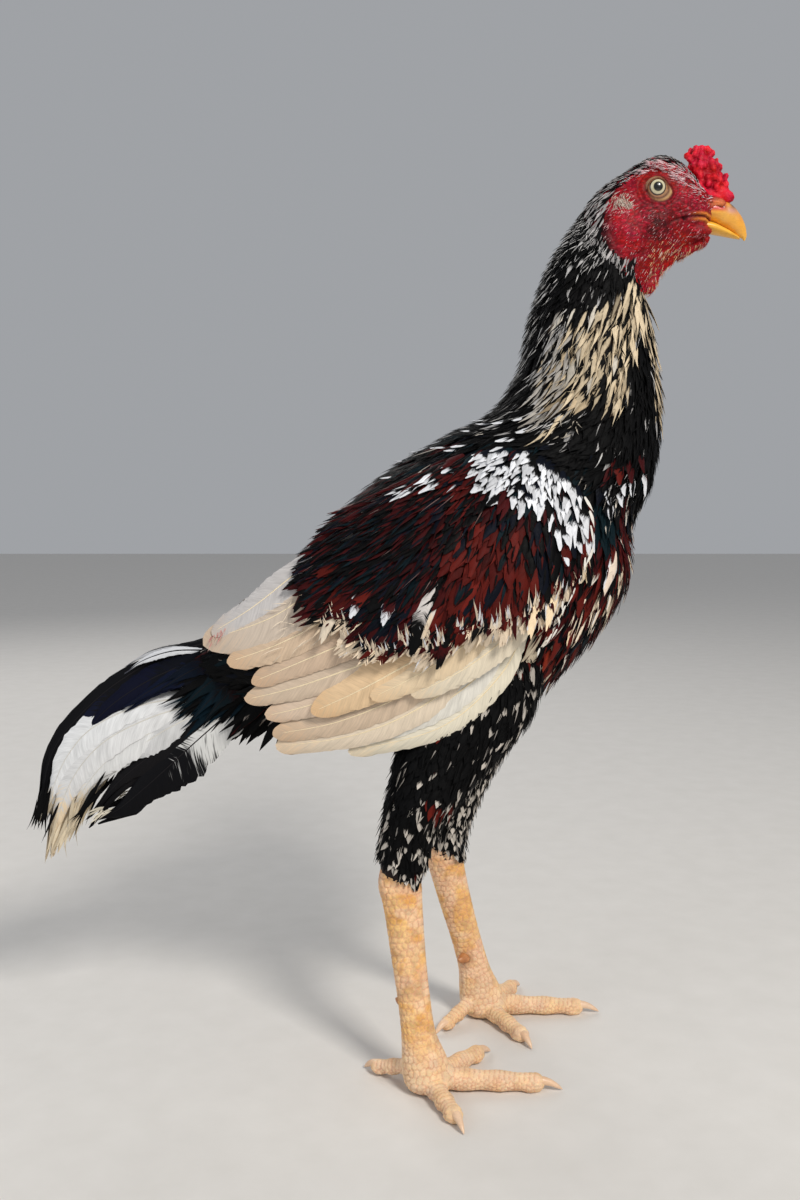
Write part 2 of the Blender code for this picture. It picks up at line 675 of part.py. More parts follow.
def make_comb(head):
    """A pea comb: three rows of low knobs on a core that leans back over the brow."""
    comb, other = (ball("comb", shape.centre, shape.radii, 8, 6) for shape in COMB_CORE)
    knobs = [other]
    for y, row in COMB_ROWS:
        for x, z in row:
            for side in ((-y, y) if y else (0.0,)):
                size = COMB_KNOB * CHANCE.uniform(0.88, 1.10)
                knobs.append(ball("knob", (x, side, z), (size, size * 0.85, size), 6, 4))
    join(comb, knobs)
    return cut(comb, [grown(head)])


def make_beak(head):
    """Both halves of the bill, parted along the line of the mouth."""
    upper = loft("beak_upper", body_frames(UPPER_BILL), 9, 10)
    lower = loft("beak_lower", body_frames(LOWER_BILL), 7, 10)
    nostril = bulb("nostril", NOSTRIL)
    cut(upper, [nostril, mirrored(nostril, "nostril_left"), grown(head)])
    cut(lower, [grown(head), grown(upper)])
    return upper, lower


def make_dewlap(head):
    points = [Vector((x, 0.0, z)) for x, z in DEWLAP_LINE]
    depths = [DEWLAP_DEPTH * k for k in DEWLAP_FULLNESS]
    widths = [DEWLAP_HALF_WIDTH * k for k in DEWLAP_FULLNESS]
    return cut(loft("dewlap", tube_frames(points, widths, depths), 10, 8), [grown(head)])


def make_lobes(head, neck):
    right = cut(bulb("earlobe_right", LOBE, 10, 6), [grown(head), grown(neck)])
    return right, mirrored(right, "earlobe_left")


def stepped(frames, count, rise):
    """The frames of a limb with a row of scutes, each rising over the next by this vector."""
    made = []
    for i, (centre, across, side) in enumerate(spline(frames, count * 2)):
        lift = rise * (0.5 if i % 2 else 0.0)
        along_x = lift.length > 0 and abs(across.normalized().dot(rise.normalized())) > 0.5
        made.append((centre + lift, across + lift if along_x else across, side if along_x else side + lift))
    return made


def make_toe(name, toe, ball_at, hind):
    """One toe, thickest at its pads, from the ball of the foot to the root of its claw."""
    start = Vector((*ball_at, HIND_TOE_ROOT_HEIGHT if hind else TOE_ROOT_HEIGHT))
    end = Vector((*toe.end, TOE_END_HEIGHT))
    points, widths, heights = [], [], []
    pads = 7
    for i in range(pads):
        share = i / (pads - 1)
        swell = 1.0 + (0.07 if i % 2 else -0.05)
        taper = 1.12 - 0.34 * share
        points.append(start.lerp(end, share))
        widths.append(toe.radius * taper * swell)
        heights.append(toe.radius * taper * swell * 0.98)
    points.append(end + (end - start).normalized() * 0.003)
    widths.append(widths[-1] * 0.62)
    heights.append(heights[-1] * 0.62)
    scutes = HIND_SCUTES if hind else TOE_SCUTES
    frames = stepped(tube_frames(points, widths, heights), scutes, Vector((0.0, 0.0, SCUTE_RISE)))
    return loft(name, frames, len(frames), 8)


def make_claw(name, toe):
    end = Vector((*toe.end, TOE_END_HEIGHT + 0.0008))
    tip = Vector((*toe.claw, 0.0012))
    along = (tip - end).normalized()
    middle = end.lerp(tip, 0.55) + Vector((0.0, 0.0, 0.0016))
    points = [end - along * 0.003, end + along * 0.003, middle, tip]
    sizes = [CLAW_RADIUS * k for k in (0.95, 1.0, 0.68, 0.14)]
    return loft(name, tube_frames(points, sizes, sizes), 6, 6)


def make_leg(leg, torso):
    """Thigh, shank, spur, toes and claws of one leg, by node name."""
    made = {}
    thigh = loft("thigh_" + leg.side, limb_frames(leg.thigh), 11, 12)
    cut(thigh, [grown(torso)])
    frames = stepped(limb_frames(leg.shank), SHANK_SCUTES, Vector((SCUTE_RISE, 0.0, 0.0)))
    shank = loft("shank_" + leg.side, frames, len(frames), 10)
    cut(shank, [grown(thigh), floor_cutter()])
    root, tip = Vector(leg.spur[0]), Vector(leg.spur[1])
    sizes = [leg.spur[2] * k for k in SPUR_TAPER]
    spur = loft("spur_" + leg.side, tube_frames([root, root.lerp(tip, 0.6), tip], sizes, sizes), 6, 8)
    made[thigh.name], made[shank.name] = thigh, shank
    made[spur.name] = cut(spur, [grown(shank)])
    toes = []
    for toe in sorted(leg.toes, key=lambda t: t.name != "middle"):
        name = f"toe_{leg.side}_{toe.name}"
        solid = make_toe(name, toe, leg.ball, toe.name == "hind")
        cut(solid, [grown(shank), floor_cutter()] + [grown(other) for other in toes])
        toes.append(solid)
        claw = make_claw(f"claw_{leg.side}_{toe.name}", toe)
        made[name] = solid
        made[claw.name] = cut(claw, [grown(solid), floor_cutter()])
    return made


def wing_core(outline, depth, inner_depth):
    """The part of the right wing inside an outline, from this deep under its outside inwards."""
    bm = bmesh.new()
    middle = sum((Vector(point) for point in outline), Vector((0.0, 0.0))) / len(outline)
    rows = [[middle.lerp(Vector(p), share) for p in outline] for share in (1.0, 0.8, 0.42)]

    def layer(into, edge):
        made = []
        for k, row in enumerate(rows):
            places = (on_wing(p.x, p.y, into + (edge if k == 0 else 0.0))[0] for p in row)
            made.append([bm.verts.new(place) for place in places])
        return made, bm.verts.new(on_wing(middle.x, middle.y, into)[0])

    def skin(made, centre):
        for outer, inner in zip(made, made[1:]):
            for j in range(len(outer)):
                k = (j + 1) % len(outer)
                bm.faces.new((outer[j], outer[k], inner[k]))
                bm.faces.new((outer[j], inner[k], inner[j]))
        for j in range(len(made[-1])):
            bm.faces.new((made[-1][j], made[-1][(j + 1) % len(made[-1])], centre))

    outside, outside_centre = layer(depth, 0.003)
    inside, inside_centre = layer(inner_depth, 0.0)
    skin(outside, outside_centre)
    skin(inside, inside_centre)
    for j in range(len(outline)):
        k = (j + 1) % len(outline)
        bm.faces.new((outside[0][j], outside[0][k], inside[0][k]))
        bm.faces.new((outside[0][j], inside[0][k], inside[0][j]))
    return object_of("wing_right", bm)


def flight_feather(feather, number):
    count = 5
    line = curve(feather.line, count)
    depths = [d[0] for d in curve([(d, 0.0) for d in feather.depths], count)]
    laid = [on_wing(p.x, p.y, d) for p, d in zip(line, depths)]
    points, outs = [place for place, out in laid], [out for place, out in laid]
    widths = [feather.half_width * k for k in (0.5, 0.95, 1.0, 0.95, 0.36)]
    outs = rolled(points, outs, -FLIGHT_ROLL)
    return vane(f"flight_{number}", points, outs, widths, VANE_THICKNESS)


def wing_coverts():
    made = []
    tips = curve(COVERT_TIPS, 81)
    for row, tier in enumerate(COVERT_TIERS):
        for i in range(tier.count):
            share = (i + (0.5 if row % 2 else 0.28)) / tier.count
            turn = COVERT_TURN[0] + (COVERT_TURN[1] - COVERT_TURN[0]) * share
            along = Vector((math.cos(turn), math.sin(turn)))
            tip = tips[round(share * 80)] - along * tier.above
            length = tier.length * CHANCE.uniform(0.94, 1.06)
            count = 4
            laid = []
            for k in range(count):
                part_way = k / (count - 1)
                p = tip - along * length * (1 - part_way)
                laid.append(on_wing(p.x, p.y, COVERT_ROOT_DEPTH * (1 - part_way) ** 1.5 - tier.lift))
            points, outs = [place for place, out in laid], [out for place, out in laid]
            widths = [tier.half_width * w for w in (0.50, 0.85, 0.98, 0.34)]
            outs = rolled(points, outs, -COVERT_ROLL)
            made.append(vane(f"covert_{row}_{i}", points, outs, widths, COVERT_THICKNESS))
    return made


def make_wing(neighbours, neck_room):
    """The folded right wing, in tiers over a core, and grown copies that make room for it."""
    wing = wing_core(WING_CORE_OUTLINE, WING_DEPTH_OF_CORE, WING_CORE_INNER)
    feathers = [flight_feather(f, i) for i, f in enumerate(FLIGHT)] + wing_coverts()
    room = [grown(piece) for piece in [wing] + feathers]
    join(wing, feathers)
    return cut(wing, [grown(other) for other in neighbours] + [grown(neck_room, HACKLE_CLEARANCE)]), room


def tail_feather(feather, number):
    """A feather of the right half of the tail. Its depths are distances from the middle of the bird."""
    count = 5
    points = [
        Vector((p.x, -d[0], p.y))
        for p, d in zip(curve(feather.line, count), curve([(d, 0.0) for d in feather.depths], count))
    ]
    outs = rolled(points, [Vector((0.0, -1.0, 0.0))] * count, -TAIL_ROLL)
    widths = [feather.half_width * k for k in (0.45, 0.85, 1.0, 0.9, 0.30)]
    return vane(f"tail_{number}", points, outs, widths, VANE_THICKNESS)


def make_tail(torso):
    """The drooping tail, like a roof in section, and grown copies of its pieces that cut its neighbours."""
    core = loft("tail", body_frames(TAIL_CORE), 7, 10)
    right = [tail_feather(feather, i) for i, feather in enumerate(TAIL)]
    feathers = right + [mirrored(feather, feather.name + "_left") for feather in right]
    room = [grown(piece) for piece in [core] + feathers]
    join(core, feathers)
    return cut(core, [grown(torso)]), room


def make_saddle(torso, rooms):
    """The long feathers of the rump, in tiers over the back and the root of the tail."""
    frames = body_frames(SADDLE)
    saddle = loft("saddle", [(c, a * SADDLE_CORE, w * SADDLE_CORE) for c, a, w in frames], 7, 12)
    feathers = []
    for row, tier in enumerate(SADDLE_TIERS):
        for i in range(tier.count):
            turn = SADDLE_SPREAD * (2 * (i + 0.5) / tier.count - 1)
            reach = tier.reach * CHANCE.uniform(0.92, 1.08)
            laid = []
            for k in range(4):
                part_way = k / 3
                depth = HACKLE_ROOT_DEPTH * (1 - part_way) ** 2 - tier.lift
                laid.append(on_body(frames, tier.start + reach * part_way, turn, depth))
            points, outs = [place for place, out in laid], [out for place, out in laid]
            widths = [tier.half_width * w for w in (0.7, 1.0, 0.85, 0.12)]
            feathers.append(vane(f"saddle_{row}_{i}", points, outs, widths, HACKLE_THICKNESS))
    join(saddle, feathers)
    return cut(saddle, [grown(torso)] + rooms)


def main():
    clear_scene()
    torso = loft("torso", body_frames(TORSO), 15, 16)
    neck_room = cut(loft("neck_room", body_frames(NECK), 15, 16), [grown(torso)])
    head, eyes = make_head(neck_room)
    comb = make_comb(head)
    beak_upper, beak_lower = make_beak(head)
    cut(comb, [grown(beak_upper)])
    dewlap = cut(make_dewlap(head), [grown(neck_room), grown(beak_lower)])
    lobe_right, lobe_left = make_lobes(head, neck_room)
    neck = make_neck((torso, head, dewlap, lobe_right, lobe_left))
    right_leg = make_leg(RIGHT_LEG, torso)
    left_leg = make_leg(LEFT_LEG, torso)
    wing_right, wing_room = make_wing((torso, right_leg["thigh_right"]), neck_room)
    wing_left = cut(mirrored(wing_right, "wing_left"), [grown(left_leg["thigh_left"])])
    tail, tail_room = make_tail(torso)
    other_room = [mirrored(piece, "room") for piece in wing_room]
    saddle = make_saddle(torso, tail_room + wing_room + other_room)
    bpy.data.objects.remove(neck_room)

    red = material("red_skin", RED_SKIN, 0.5)
    black = material("black_plumage", BLACK_PLUME, 0.6)
    maroon = material("maroon_plumage", MAROON_PLUME, 0.6)
    cream = material("cream_plumage", CREAM_PLUME, 0.7)
    scale = material("yellow_scales", YELLOW_SCALE, 0.55)
    horn = material("yellow_horn", YELLOW_HORN, 0.35)
    claw = material("pale_claw", PALE_CLAW, 0.4)
    iris = material("pale_iris", PALE_IRIS, 0.1)
    finish = {
        head: red, comb: red, dewlap: red, lobe_right: red, lobe_left: red,
        beak_upper: horn, beak_lower: horn, neck: black, torso: black, saddle: maroon, tail: black,
        wing_right: cream, wing_left: cream,
    }
    finish.update({eye: iris for eye in eyes.values()})
    for name, solid in {**right_leg, **left_leg}.items():
        kind = name.split("_")[0]
        finish[solid] = {"thigh": black, "claw": claw}.get(kind, scale)

    bird = bpy.data.collections.new("aseel_cock")
    bpy.context.scene.collection.children.link(bird)
    root = bpy.data.objects.new("aseel_cock", None)
    bird.objects.link(root)
    corners = [vert.co for solid in finish for vert in solid.data.vertices]
    for k in range(2):
        root.location[k] = -(min(c[k] for c in corners) + max(c[k] for c in corners)) / 2
    for solid, look in finish.items():
        solid.data.materials.clear()
        solid.data.materials.append(look)
        solid.data.set_sharp_from_angle(angle=math.radians(40))
        solid.parent = root
        bird.objects.link(solid)


main()
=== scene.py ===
"""A standing aseel cock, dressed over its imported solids: skin, horn, eyes and a coat of solid feathers."""
import math
import bpy
import numpy as np
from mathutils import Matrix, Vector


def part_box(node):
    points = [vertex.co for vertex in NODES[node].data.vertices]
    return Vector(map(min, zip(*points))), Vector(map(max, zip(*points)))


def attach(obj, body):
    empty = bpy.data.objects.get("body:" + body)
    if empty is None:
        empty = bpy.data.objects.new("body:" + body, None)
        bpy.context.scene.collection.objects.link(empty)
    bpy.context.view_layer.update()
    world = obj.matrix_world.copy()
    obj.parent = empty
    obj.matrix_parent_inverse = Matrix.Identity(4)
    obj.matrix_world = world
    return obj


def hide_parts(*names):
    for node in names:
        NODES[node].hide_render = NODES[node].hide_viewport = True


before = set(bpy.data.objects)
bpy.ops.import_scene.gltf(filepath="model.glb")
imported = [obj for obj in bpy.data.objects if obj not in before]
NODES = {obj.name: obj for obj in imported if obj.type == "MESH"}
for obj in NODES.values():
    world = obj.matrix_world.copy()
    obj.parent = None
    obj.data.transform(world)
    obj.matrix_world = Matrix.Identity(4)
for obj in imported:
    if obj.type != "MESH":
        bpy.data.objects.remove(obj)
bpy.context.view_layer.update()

# Design frame: x = 0 at the middle of the picture, y = 0 in the bird's own middle plane, floor at z = 0.
EYE_CENTRE = (0.1561, 0.0135, 0.5548)
EYE_RADIUS = 0.0080
_eye_low, _eye_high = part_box("eye_right")
SHIFT = np.array([(_eye_low.x + _eye_high.x) / 2 - EYE_CENTRE[0], (_eye_low.y + _eye_high.y) / 2 + EYE_CENTRE[1], 0.0])
RNG = np.random.default_rng(11)

# Sections of the body from the head's root to the rump: top (x, z), bottom (x, z), half width.
BODY_SECTIONS = (
    ((0.1160, 0.5465), (0.1545, 0.4965), 0.021), ((0.0965, 0.5178), (0.1585, 0.4800), 0.024),
    ((0.0860, 0.4920), (0.1605, 0.4640), 0.027), ((0.0800, 0.4685), (0.1620, 0.4480), 0.031),
    ((0.0760, 0.4480), (0.1640, 0.4320), 0.035), ((0.0690, 0.4350), (0.1645, 0.4130), 0.040),
    ((0.0600, 0.4230), (0.1630, 0.3950), 0.046), ((0.0480, 0.4140), (0.1580, 0.3720), 0.052),
    ((0.0300, 0.4060), (0.1480, 0.3500), 0.058), ((-0.0060, 0.3850), (0.1460, 0.3140), 0.066),
    ((-0.0310, 0.3645), (0.1290, 0.2840), 0.070), ((-0.0500, 0.3450), (0.1000, 0.2500), 0.068),
    ((-0.0680, 0.3265), (0.0660, 0.2180), 0.063), ((-0.0860, 0.3080), (0.0180, 0.2090), 0.054),
    ((-0.1030, 0.2925), (-0.0420, 0.2170), 0.044), ((-0.1150, 0.2820), (-0.0860, 0.2360), 0.032),
    ((-0.1300, 0.2720), (-0.1120, 0.2430), 0.020),
)
HEAD_SECTIONS = (
    ((0.1068, 0.5300), (0.1520, 0.4895), 0.0212), ((0.1160, 0.5465), (0.1545, 0.4990), 0.0205),
    ((0.1258, 0.5580), (0.1605, 0.5062), 0.0208), ((0.1370, 0.5658), (0.1685, 0.5143), 0.0203),
    ((0.1490, 0.5735), (0.1757, 0.5203), 0.0198), ((0.1612, 0.5778), (0.1825, 0.5247), 0.0188),
    ((0.1724, 0.5743), (0.1875, 0.5282), 0.0164), ((0.1814, 0.5655), (0.1905, 0.5310), 0.0138),
    ((0.1905, 0.5575), (0.1905, 0.5345), 0.0104), ((0.1992, 0.5520), (0.1952, 0.5420), 0.0060),
)
# Thighs and shanks from the top down: centre, half depth fore and aft, half width.
THIGHS = {
    -1: (((0.0520, -0.0320, 0.295), 0.0240, 0.0170), ((0.0500, -0.0350, 0.268), 0.0380, 0.0230),
         ((0.0420, -0.0385, 0.235), 0.0400, 0.0220), ((0.0280, -0.0415, 0.206), 0.0320, 0.0205),
         ((0.0150, -0.0420, 0.181), 0.0240, 0.0215), ((0.0060, -0.0400, 0.160), 0.0185, 0.0175),
         ((0.0020, -0.0390, 0.140), 0.0170, 0.0140), ((0.0015, -0.0385, 0.124), 0.0135, 0.0110)),
    1: (((0.0560, 0.0320, 0.295), 0.0230, 0.0170), ((0.0580, 0.0350, 0.268), 0.0360, 0.0230),
        ((0.0560, 0.0385, 0.235), 0.0380, 0.0220), ((0.0510, 0.0415, 0.206), 0.0310, 0.0205),
        ((0.0430, 0.0420, 0.181), 0.0240, 0.0215), ((0.0350, 0.0395, 0.157), 0.0195, 0.0175),
        ((0.0300, 0.0380, 0.135), 0.0170, 0.0140), ((0.0320, 0.0375, 0.118), 0.0130, 0.0110)),
}
SHANKS = {
    -1: (((0.0010, -0.0382, 0.150), 0.0095, 0.0075), ((0.0000, -0.0386, 0.137), 0.0118, 0.0090),
         ((0.0000, -0.0390, 0.126), 0.0132, 0.0098), ((0.0020, -0.0405, 0.112), 0.0118, 0.0088),
         ((0.0050, -0.0435, 0.085), 0.0106, 0.0080), ((0.0085, -0.0470, 0.058), 0.0098, 0.0078),
         ((0.0115, -0.0498, 0.036), 0.0104, 0.0088), ((0.0150, -0.0512, 0.021), 0.0135, 0.0120),
         ((0.0170, -0.0518, 0.009), 0.0150, 0.0140), ((0.0170, -0.0518, 0.0012), 0.0118, 0.0108)),
    1: (((0.0300, 0.0375, 0.147), 0.0095, 0.0075), ((0.0295, 0.0376, 0.135), 0.0118, 0.0090),
        ((0.0300, 0.0380, 0.124), 0.0132, 0.0098), ((0.0325, 0.0395, 0.111), 0.0120, 0.0088),
        ((0.0390, 0.0425, 0.085), 0.0110, 0.0080), ((0.0465, 0.0465, 0.058), 0.0102, 0.0078),
        ((0.0525, 0.0495, 0.036), 0.0108, 0.0088), ((0.0565, 0.0510, 0.021), 0.0140, 0.0120),
        ((0.0590, 0.0518, 0.009), 0.0155, 0.0140), ((0.0590, 0.0518, 0.0012), 0.0120, 0.0108)),
}
# Toes: end (x, y), claw tip (x, y), half thickness, height of the root.
TOES = {
    -1: {"inner": ((0.0500, -0.0160), (0.0600, -0.0050), 0.0060, 0.0074),
         "middle": ((0.0840, -0.0530), (0.1010, -0.0540), 0.0067, 0.0074),
         "outer": ((0.0320, -0.0900), (0.0370, -0.1040), 0.0060, 0.0074),
         "hind": ((-0.0140, -0.0330), (-0.0230, -0.0260), 0.0050, 0.0170)},
    1: {"inner": ((0.0820, 0.0110), (0.0880, -0.0020), 0.0060, 0.0074),
        "middle": ((0.1250, 0.0530), (0.1420, 0.0535), 0.0067, 0.0074),
        "outer": ((0.0820, 0.0850), (0.0900, 0.0970), 0.0060, 0.0074),
        "hind": ((0.0320, 0.0260), (0.0240, 0.0180), 0.0050, 0.0170)},
}
FOOT = {-1: (0.0170, -0.0520), 1: (0.0590, 0.0520)}
SPURS = {-1: ((0.0030, -0.0400, 0.050), (-0.0040, -0.0330, 0.0510), 0.0042),
         1: ((0.0450, 0.0410, 0.046), (0.0395, 0.0325, 0.0470), 0.0046)}
# The closed wing's outer face: distance from the middle plane by x, and how it wraps round the back and belly.
WING_SPREAD = ((-0.125, 0.047), (-0.075, 0.062), (-0.030, 0.075), (0.020, 0.084), (0.060, 0.083),
               (0.095, 0.072), (0.115, 0.056))
WING_AXIS = ((0.100, 0.335), (-0.100, 0.245))
WING_TOP_WRAP, WING_LOW_WRAP, WING_HALF_HEIGHT = 0.030, 0.006, 0.070
COAT_DEPTH = 0.0035


def srgb(r, g, b):
    """A colour given as 0 to 255 in display values, as linear light."""
    c = np.array([r, g, b], float) / 255
    return np.where(c <= 0.04045, c / 12.92, ((c + 0.055) / 1.055) ** 2.4)


BLACK = srgb(8, 8, 9)
# BLUE_BLACK and TEAL_BLACK are black with a painted blue or green-blue sheen.
BLUE_BLACK = srgb(10, 14, 24)
TEAL_BLACK = srgb(8, 25, 31)
MAROON = srgb(60, 13, 15)
RUST = srgb(88, 24, 18)
WHITE = srgb(214, 216, 221)
CREAM = srgb(240, 216, 180)
PEACH = srgb(246, 222, 192)
TAN = srgb(214, 186, 146)
GREY = srgb(150, 148, 146)


def unit(v):
    """Vectors along the last axis made one long."""
    return v / np.maximum(np.linalg.norm(v, axis=-1, keepdims=True), 1e-12)


def dot(a, b):
    return np.sum(a * b, -1, keepdims=True)


def step_up(low, high, x):
    """Smooth rise from 0 at low to 1 at high."""
    t = np.clip((x - low) / (high - low), 0, 1)
    return t * t * (3 - 2 * t)


def spline(rows, share):
    """Catmull-Rom curve through rows of numbers, read at shares from 0 to 1."""
    rows = np.asarray(rows, float)
    last = len(rows) - 1
    rows = np.vstack([2 * rows[0] - rows[1], rows, 2 * rows[-1] - rows[-2]])
    x = np.clip(np.asarray(share, float), 0, 1) * last
    i = np.minimum(x.astype(int), last - 1)
    f = (x - i)[..., None]
    p0, p1, p2, p3 = rows[i], rows[i + 1], rows[i + 2], rows[i + 3]
    return 0.5 * (2 * p1 + (p2 - p0) * f + (2 * p0 - 5 * p1 + 4 * p2 - p3) * f ** 2
                  + (3 * p1 - p0 - 3 * p2 + p3) * f ** 3)


def lattice(ix, iy, iz, seed):
    """A fixed random number from 0 to 1 for each whole-numbered point."""
    h = (ix * 374761393 + iy * 668265263 + iz * 974634777 + seed * 1274126177) & 0xFFFFFFFF
    h = ((h ^ (h >> 13)) * 1274126177) & 0xFFFFFFFF
    return ((h ^ (h >> 16)) & 0xFFFFFF) / float(0xFFFFFF)


def noise(p, size, seed=0):
    """Smooth random values from -1 to 1 at points p, with lumps of the given size."""
    q = np.asarray(p, float) / size
    i = np.floor(q).astype(np.int64)
    f = q - i
    f = f * f * (3 - 2 * f)
    out = 0.0
    for dx in (0, 1):
        for dy in (0, 1):
            for dz in (0, 1):
                w = (f[..., 0] if dx else 1 - f[..., 0]) * (f[..., 1] if dy else 1 - f[..., 1])
                w = w * (f[..., 2] if dz else 1 - f[..., 2])
                out = out + w * lattice(i[..., 0] + dx, i[..., 1] + dy, i[..., 2] + dz, seed)
    return 2 * out - 1


def zone(x, z, outline, soft=0.0025):
    """1 inside an outline of (x, z) points and 0 outside it, as seen from the side."""
    near = np.full(np.shape(x), 1e9)
    inside = np.zeros(np.shape(x), bool)
    for (x0, z0), (x1, z1) in zip(outline, outline[1:] + outline[:1]):
        ex, ez = x1 - x0, z1 - z0
        t = np.clip(((x - x0) * ex + (z - z0) * ez) / max(ex * ex + ez * ez, 1e-12), 0, 1)
        near = np.minimum(near, np.hypot(x - x0 - t * ex, z - z0 - t * ez))
        if z0 != z1:
            inside ^= ((z0 > z) != (z1 > z)) & (x < ex * (z - z0) / ez + x0)
    return step_up(-soft, soft, np.where(inside, near, -near))


def cells(p, size, seed=0):
    """Distance, in cell sizes, to the nearest and to the second nearest of scattered points."""
    q = np.asarray(p, float) / size
    i = np.floor(q).astype(np.int64)
    first = np.full(q.shape[:-1], 9.0)
    second = first.copy()
    for dx in (-1, 0, 1):
        for dy in (-1, 0, 1):
            for dz in (-1, 0, 1):
                c = [i[..., 0] + dx, i[..., 1] + dy, i[..., 2] + dz]
                at = np.stack([c[k] + lattice(*c, seed + 17 * k) for k in range(3)], -1)
                d = np.linalg.norm(at - q, axis=-1)
                second = np.minimum(np.maximum(first, d), second)
                first = np.minimum(first, d)
    return first, second


class Loft:
    """A tube through sections: centre, first half axis (turn 0), second half axis (a quarter turn)."""

    def __init__(self, rows, inset=0.0):
        self.rows = np.array(rows, float)
        self.inset = inset

    def raw(self, a, b):
        row = spline(self.rows, a)
        return row[..., :3] + row[..., 3:6] * np.cos(b)[..., None] + row[..., 6:9] * np.sin(b)[..., None]

    def normal(self, a, b):
        e = 2e-3
        da = self.raw(np.clip(a + e, 0, 1), b) - self.raw(np.clip(a - e, 0, 1), b)
        db = self.raw(a, b + e) - self.raw(a, b - e)
        n = unit(np.cross(da, db))
        out = self.raw(a, b) - spline(self.rows, a)[..., :3]
        return n * np.where(dot(n, out) < 0, -1.0, 1.0)

    def along(self, a, b):
        e = 2e-3
        return unit(self.raw(np.clip(a + e, 0, 1), b) - self.raw(np.clip(a - e, 0, 1), b))

    def at(self, a, b, h=0.0):
        return self.raw(a, b) + self.normal(a, b) * (np.asarray(h)[..., None] - self.inset)

    def inside(self, a):
        return (a > 1e-4) & (a < 0.9999)


class Wing:
    """The closed right wing's outer face, read by x and z."""

    def __init__(self, inset=0.0):
        self.inset = inset
        (x0, z0), (x1, z1) = WING_AXIS
        length = math.hypot(x1 - x0, z1 - z0)
        self.way = ((x1 - x0) / length, (z1 - z0) / length)

    def height(self, x, z):
        """How far (x, z) is above the wing's long axis."""
        (x0, z0), _ = WING_AXIS
        return (x - x0) * self.way[1] - (z - z0) * self.way[0]

    def face(self, x, z):
        h = self.height(x, z)
        spread = spline(WING_LINE, (x - WING_LINE_ENDS[0]) / (WING_LINE_ENDS[1] - WING_LINE_ENDS[0]))[..., 0]
        return spread - np.where(h > 0, WING_TOP_WRAP, WING_LOW_WRAP) * (h / WING_HALF_HEIGHT) ** 2

    def raw(self, a, b):
        return np.stack([a, -self.face(a, b), b], -1)

    def normal(self, a, b):
        e = 1e-3
        fx = (self.face(a + e, b) - self.face(a - e, b)) / (2 * e)
        fz = (self.face(a, b + e) - self.face(a, b - e)) / (2 * e)
        return unit(np.stack([-fx, -np.ones_like(fx), -fz], -1))

    def along(self, a, b):
        return unit(np.stack([np.full_like(a, self.way[0]), np.zeros_like(a), np.full_like(a, self.way[1])], -1))

    def at(self, a, b, h=0.0):
        return self.raw(a, b) + self.normal(a, b) * (np.asarray(h)[..., None] - self.inset)

    def inside(self, a):
        return np.ones(a.shape, bool)


_xs = np.linspace(WING_SPREAD[0][0], WING_SPREAD[-1][0], 13)
_ys = np.interp(_xs, [p[0] for p in WING_SPREAD], [p[1] for p in WING_SPREAD])
_ys = np.concatenate([_ys[:1], (_ys[:-2] + 2 * _ys[1:-1] + _ys[2:]) / 4, _ys[-1:]])
WING_LINE = _ys[:, None]
WING_LINE_ENDS = (_xs[0], _xs[-1])


def body_rows(sections):
    rows = []
    for (tx, tz), (bx, bz), half in sections:
        rows.append(((tx + bx) / 2, 0, (tz + bz) / 2, (tx - bx) / 2, 0, (tz - bz) / 2, 0, -half, 0))
    return rows


def limb_rows(sections):
    return [(*centre, -deep, 0, 0, 0, wide, 0) for centre, deep, wide in sections]


BODY = Loft(body_rows(BODY_SECTIONS), COAT_DEPTH)
HEAD = Loft(body_rows(HEAD_SECTIONS))
THIGH = {side: Loft(limb_rows(rows), 0.0022) for side, rows in THIGHS.items()}
WING = Wing(0.0012)


def lay(surface, a, b, flow, turn, length, rise, points, curl=0.0):
    """Centre lines, normals and sides of feathers that lie along a surface from (a, b) on.

    flow gives the way the coat lies at a place, turn swings each feather from it, rise is the height
    that the tip reaches over the surface, and curl bends the feather sideways along its length.
    """
    a, b = np.array(a, float), np.array(b, float)
    count = len(a)
    turn, length = np.broadcast_to(turn, count), np.broadcast_to(length, count)
    rise, curl = np.broadcast_to(rise, count), np.broadcast_to(curl, count)
    centre, normal = [], []
    e = 1e-3
    straight = None
    for k in range(points):
        share = k / (points - 1)
        h = rise * share ** 0.8 - 0.0004 * (1 - share)
        here = surface.at(a, b, h)
        n = surface.normal(a, b)
        over = ~surface.inside(a)
        if k and over.any():
            here[over] = centre[-1][over] + straight[over] * (length[over] / (points - 1))[:, None]
            n[over] = normal[-1][over]
        centre.append(here)
        normal.append(n)
        way = flow(surface, a, b)
        way = unit(way - dot(way, n) * n)
        swing = (turn + curl * share)[:, None]
        way = way * np.cos(swing) + np.cross(n, way) * np.sin(swing)
        straight = way
        move = way * (length / (points - 1))[:, None]
        pa = (surface.raw(a + e, b) - surface.raw(a - e, b)) / (2 * e)
        pb = (surface.raw(a, b + e) - surface.raw(a, b - e)) / (2 * e)
        aa, ab, bb = dot(pa, pa)[:, 0], dot(pa, pb)[:, 0], dot(pb, pb)[:, 0]
        ma, mb = dot(pa, move)[:, 0], dot(pb, move)[:, 0]
        fixed = np.maximum(aa * bb - ab * ab, 1e-14)
        a = a + np.clip((ma * bb - mb * ab) / fixed, -0.05, 0.05)
        b = b + (mb * aa - ma * ab) / fixed
    centre, normal = np.stack(centre, 1), np.stack(normal, 1)
    ahead = np.empty_like(centre)
    ahead[:, 1:-1] = centre[:, 2:] - centre[:, :-2]
    ahead[:, 0] = centre[:, 1] - centre[:, 0]
    ahead[:, -1] = centre[:, -1] - centre[:, -2]
    ahead = unit(ahead)
    side = unit(np.cross(normal, ahead))
    return centre, np.cross(ahead, side), side, ahead


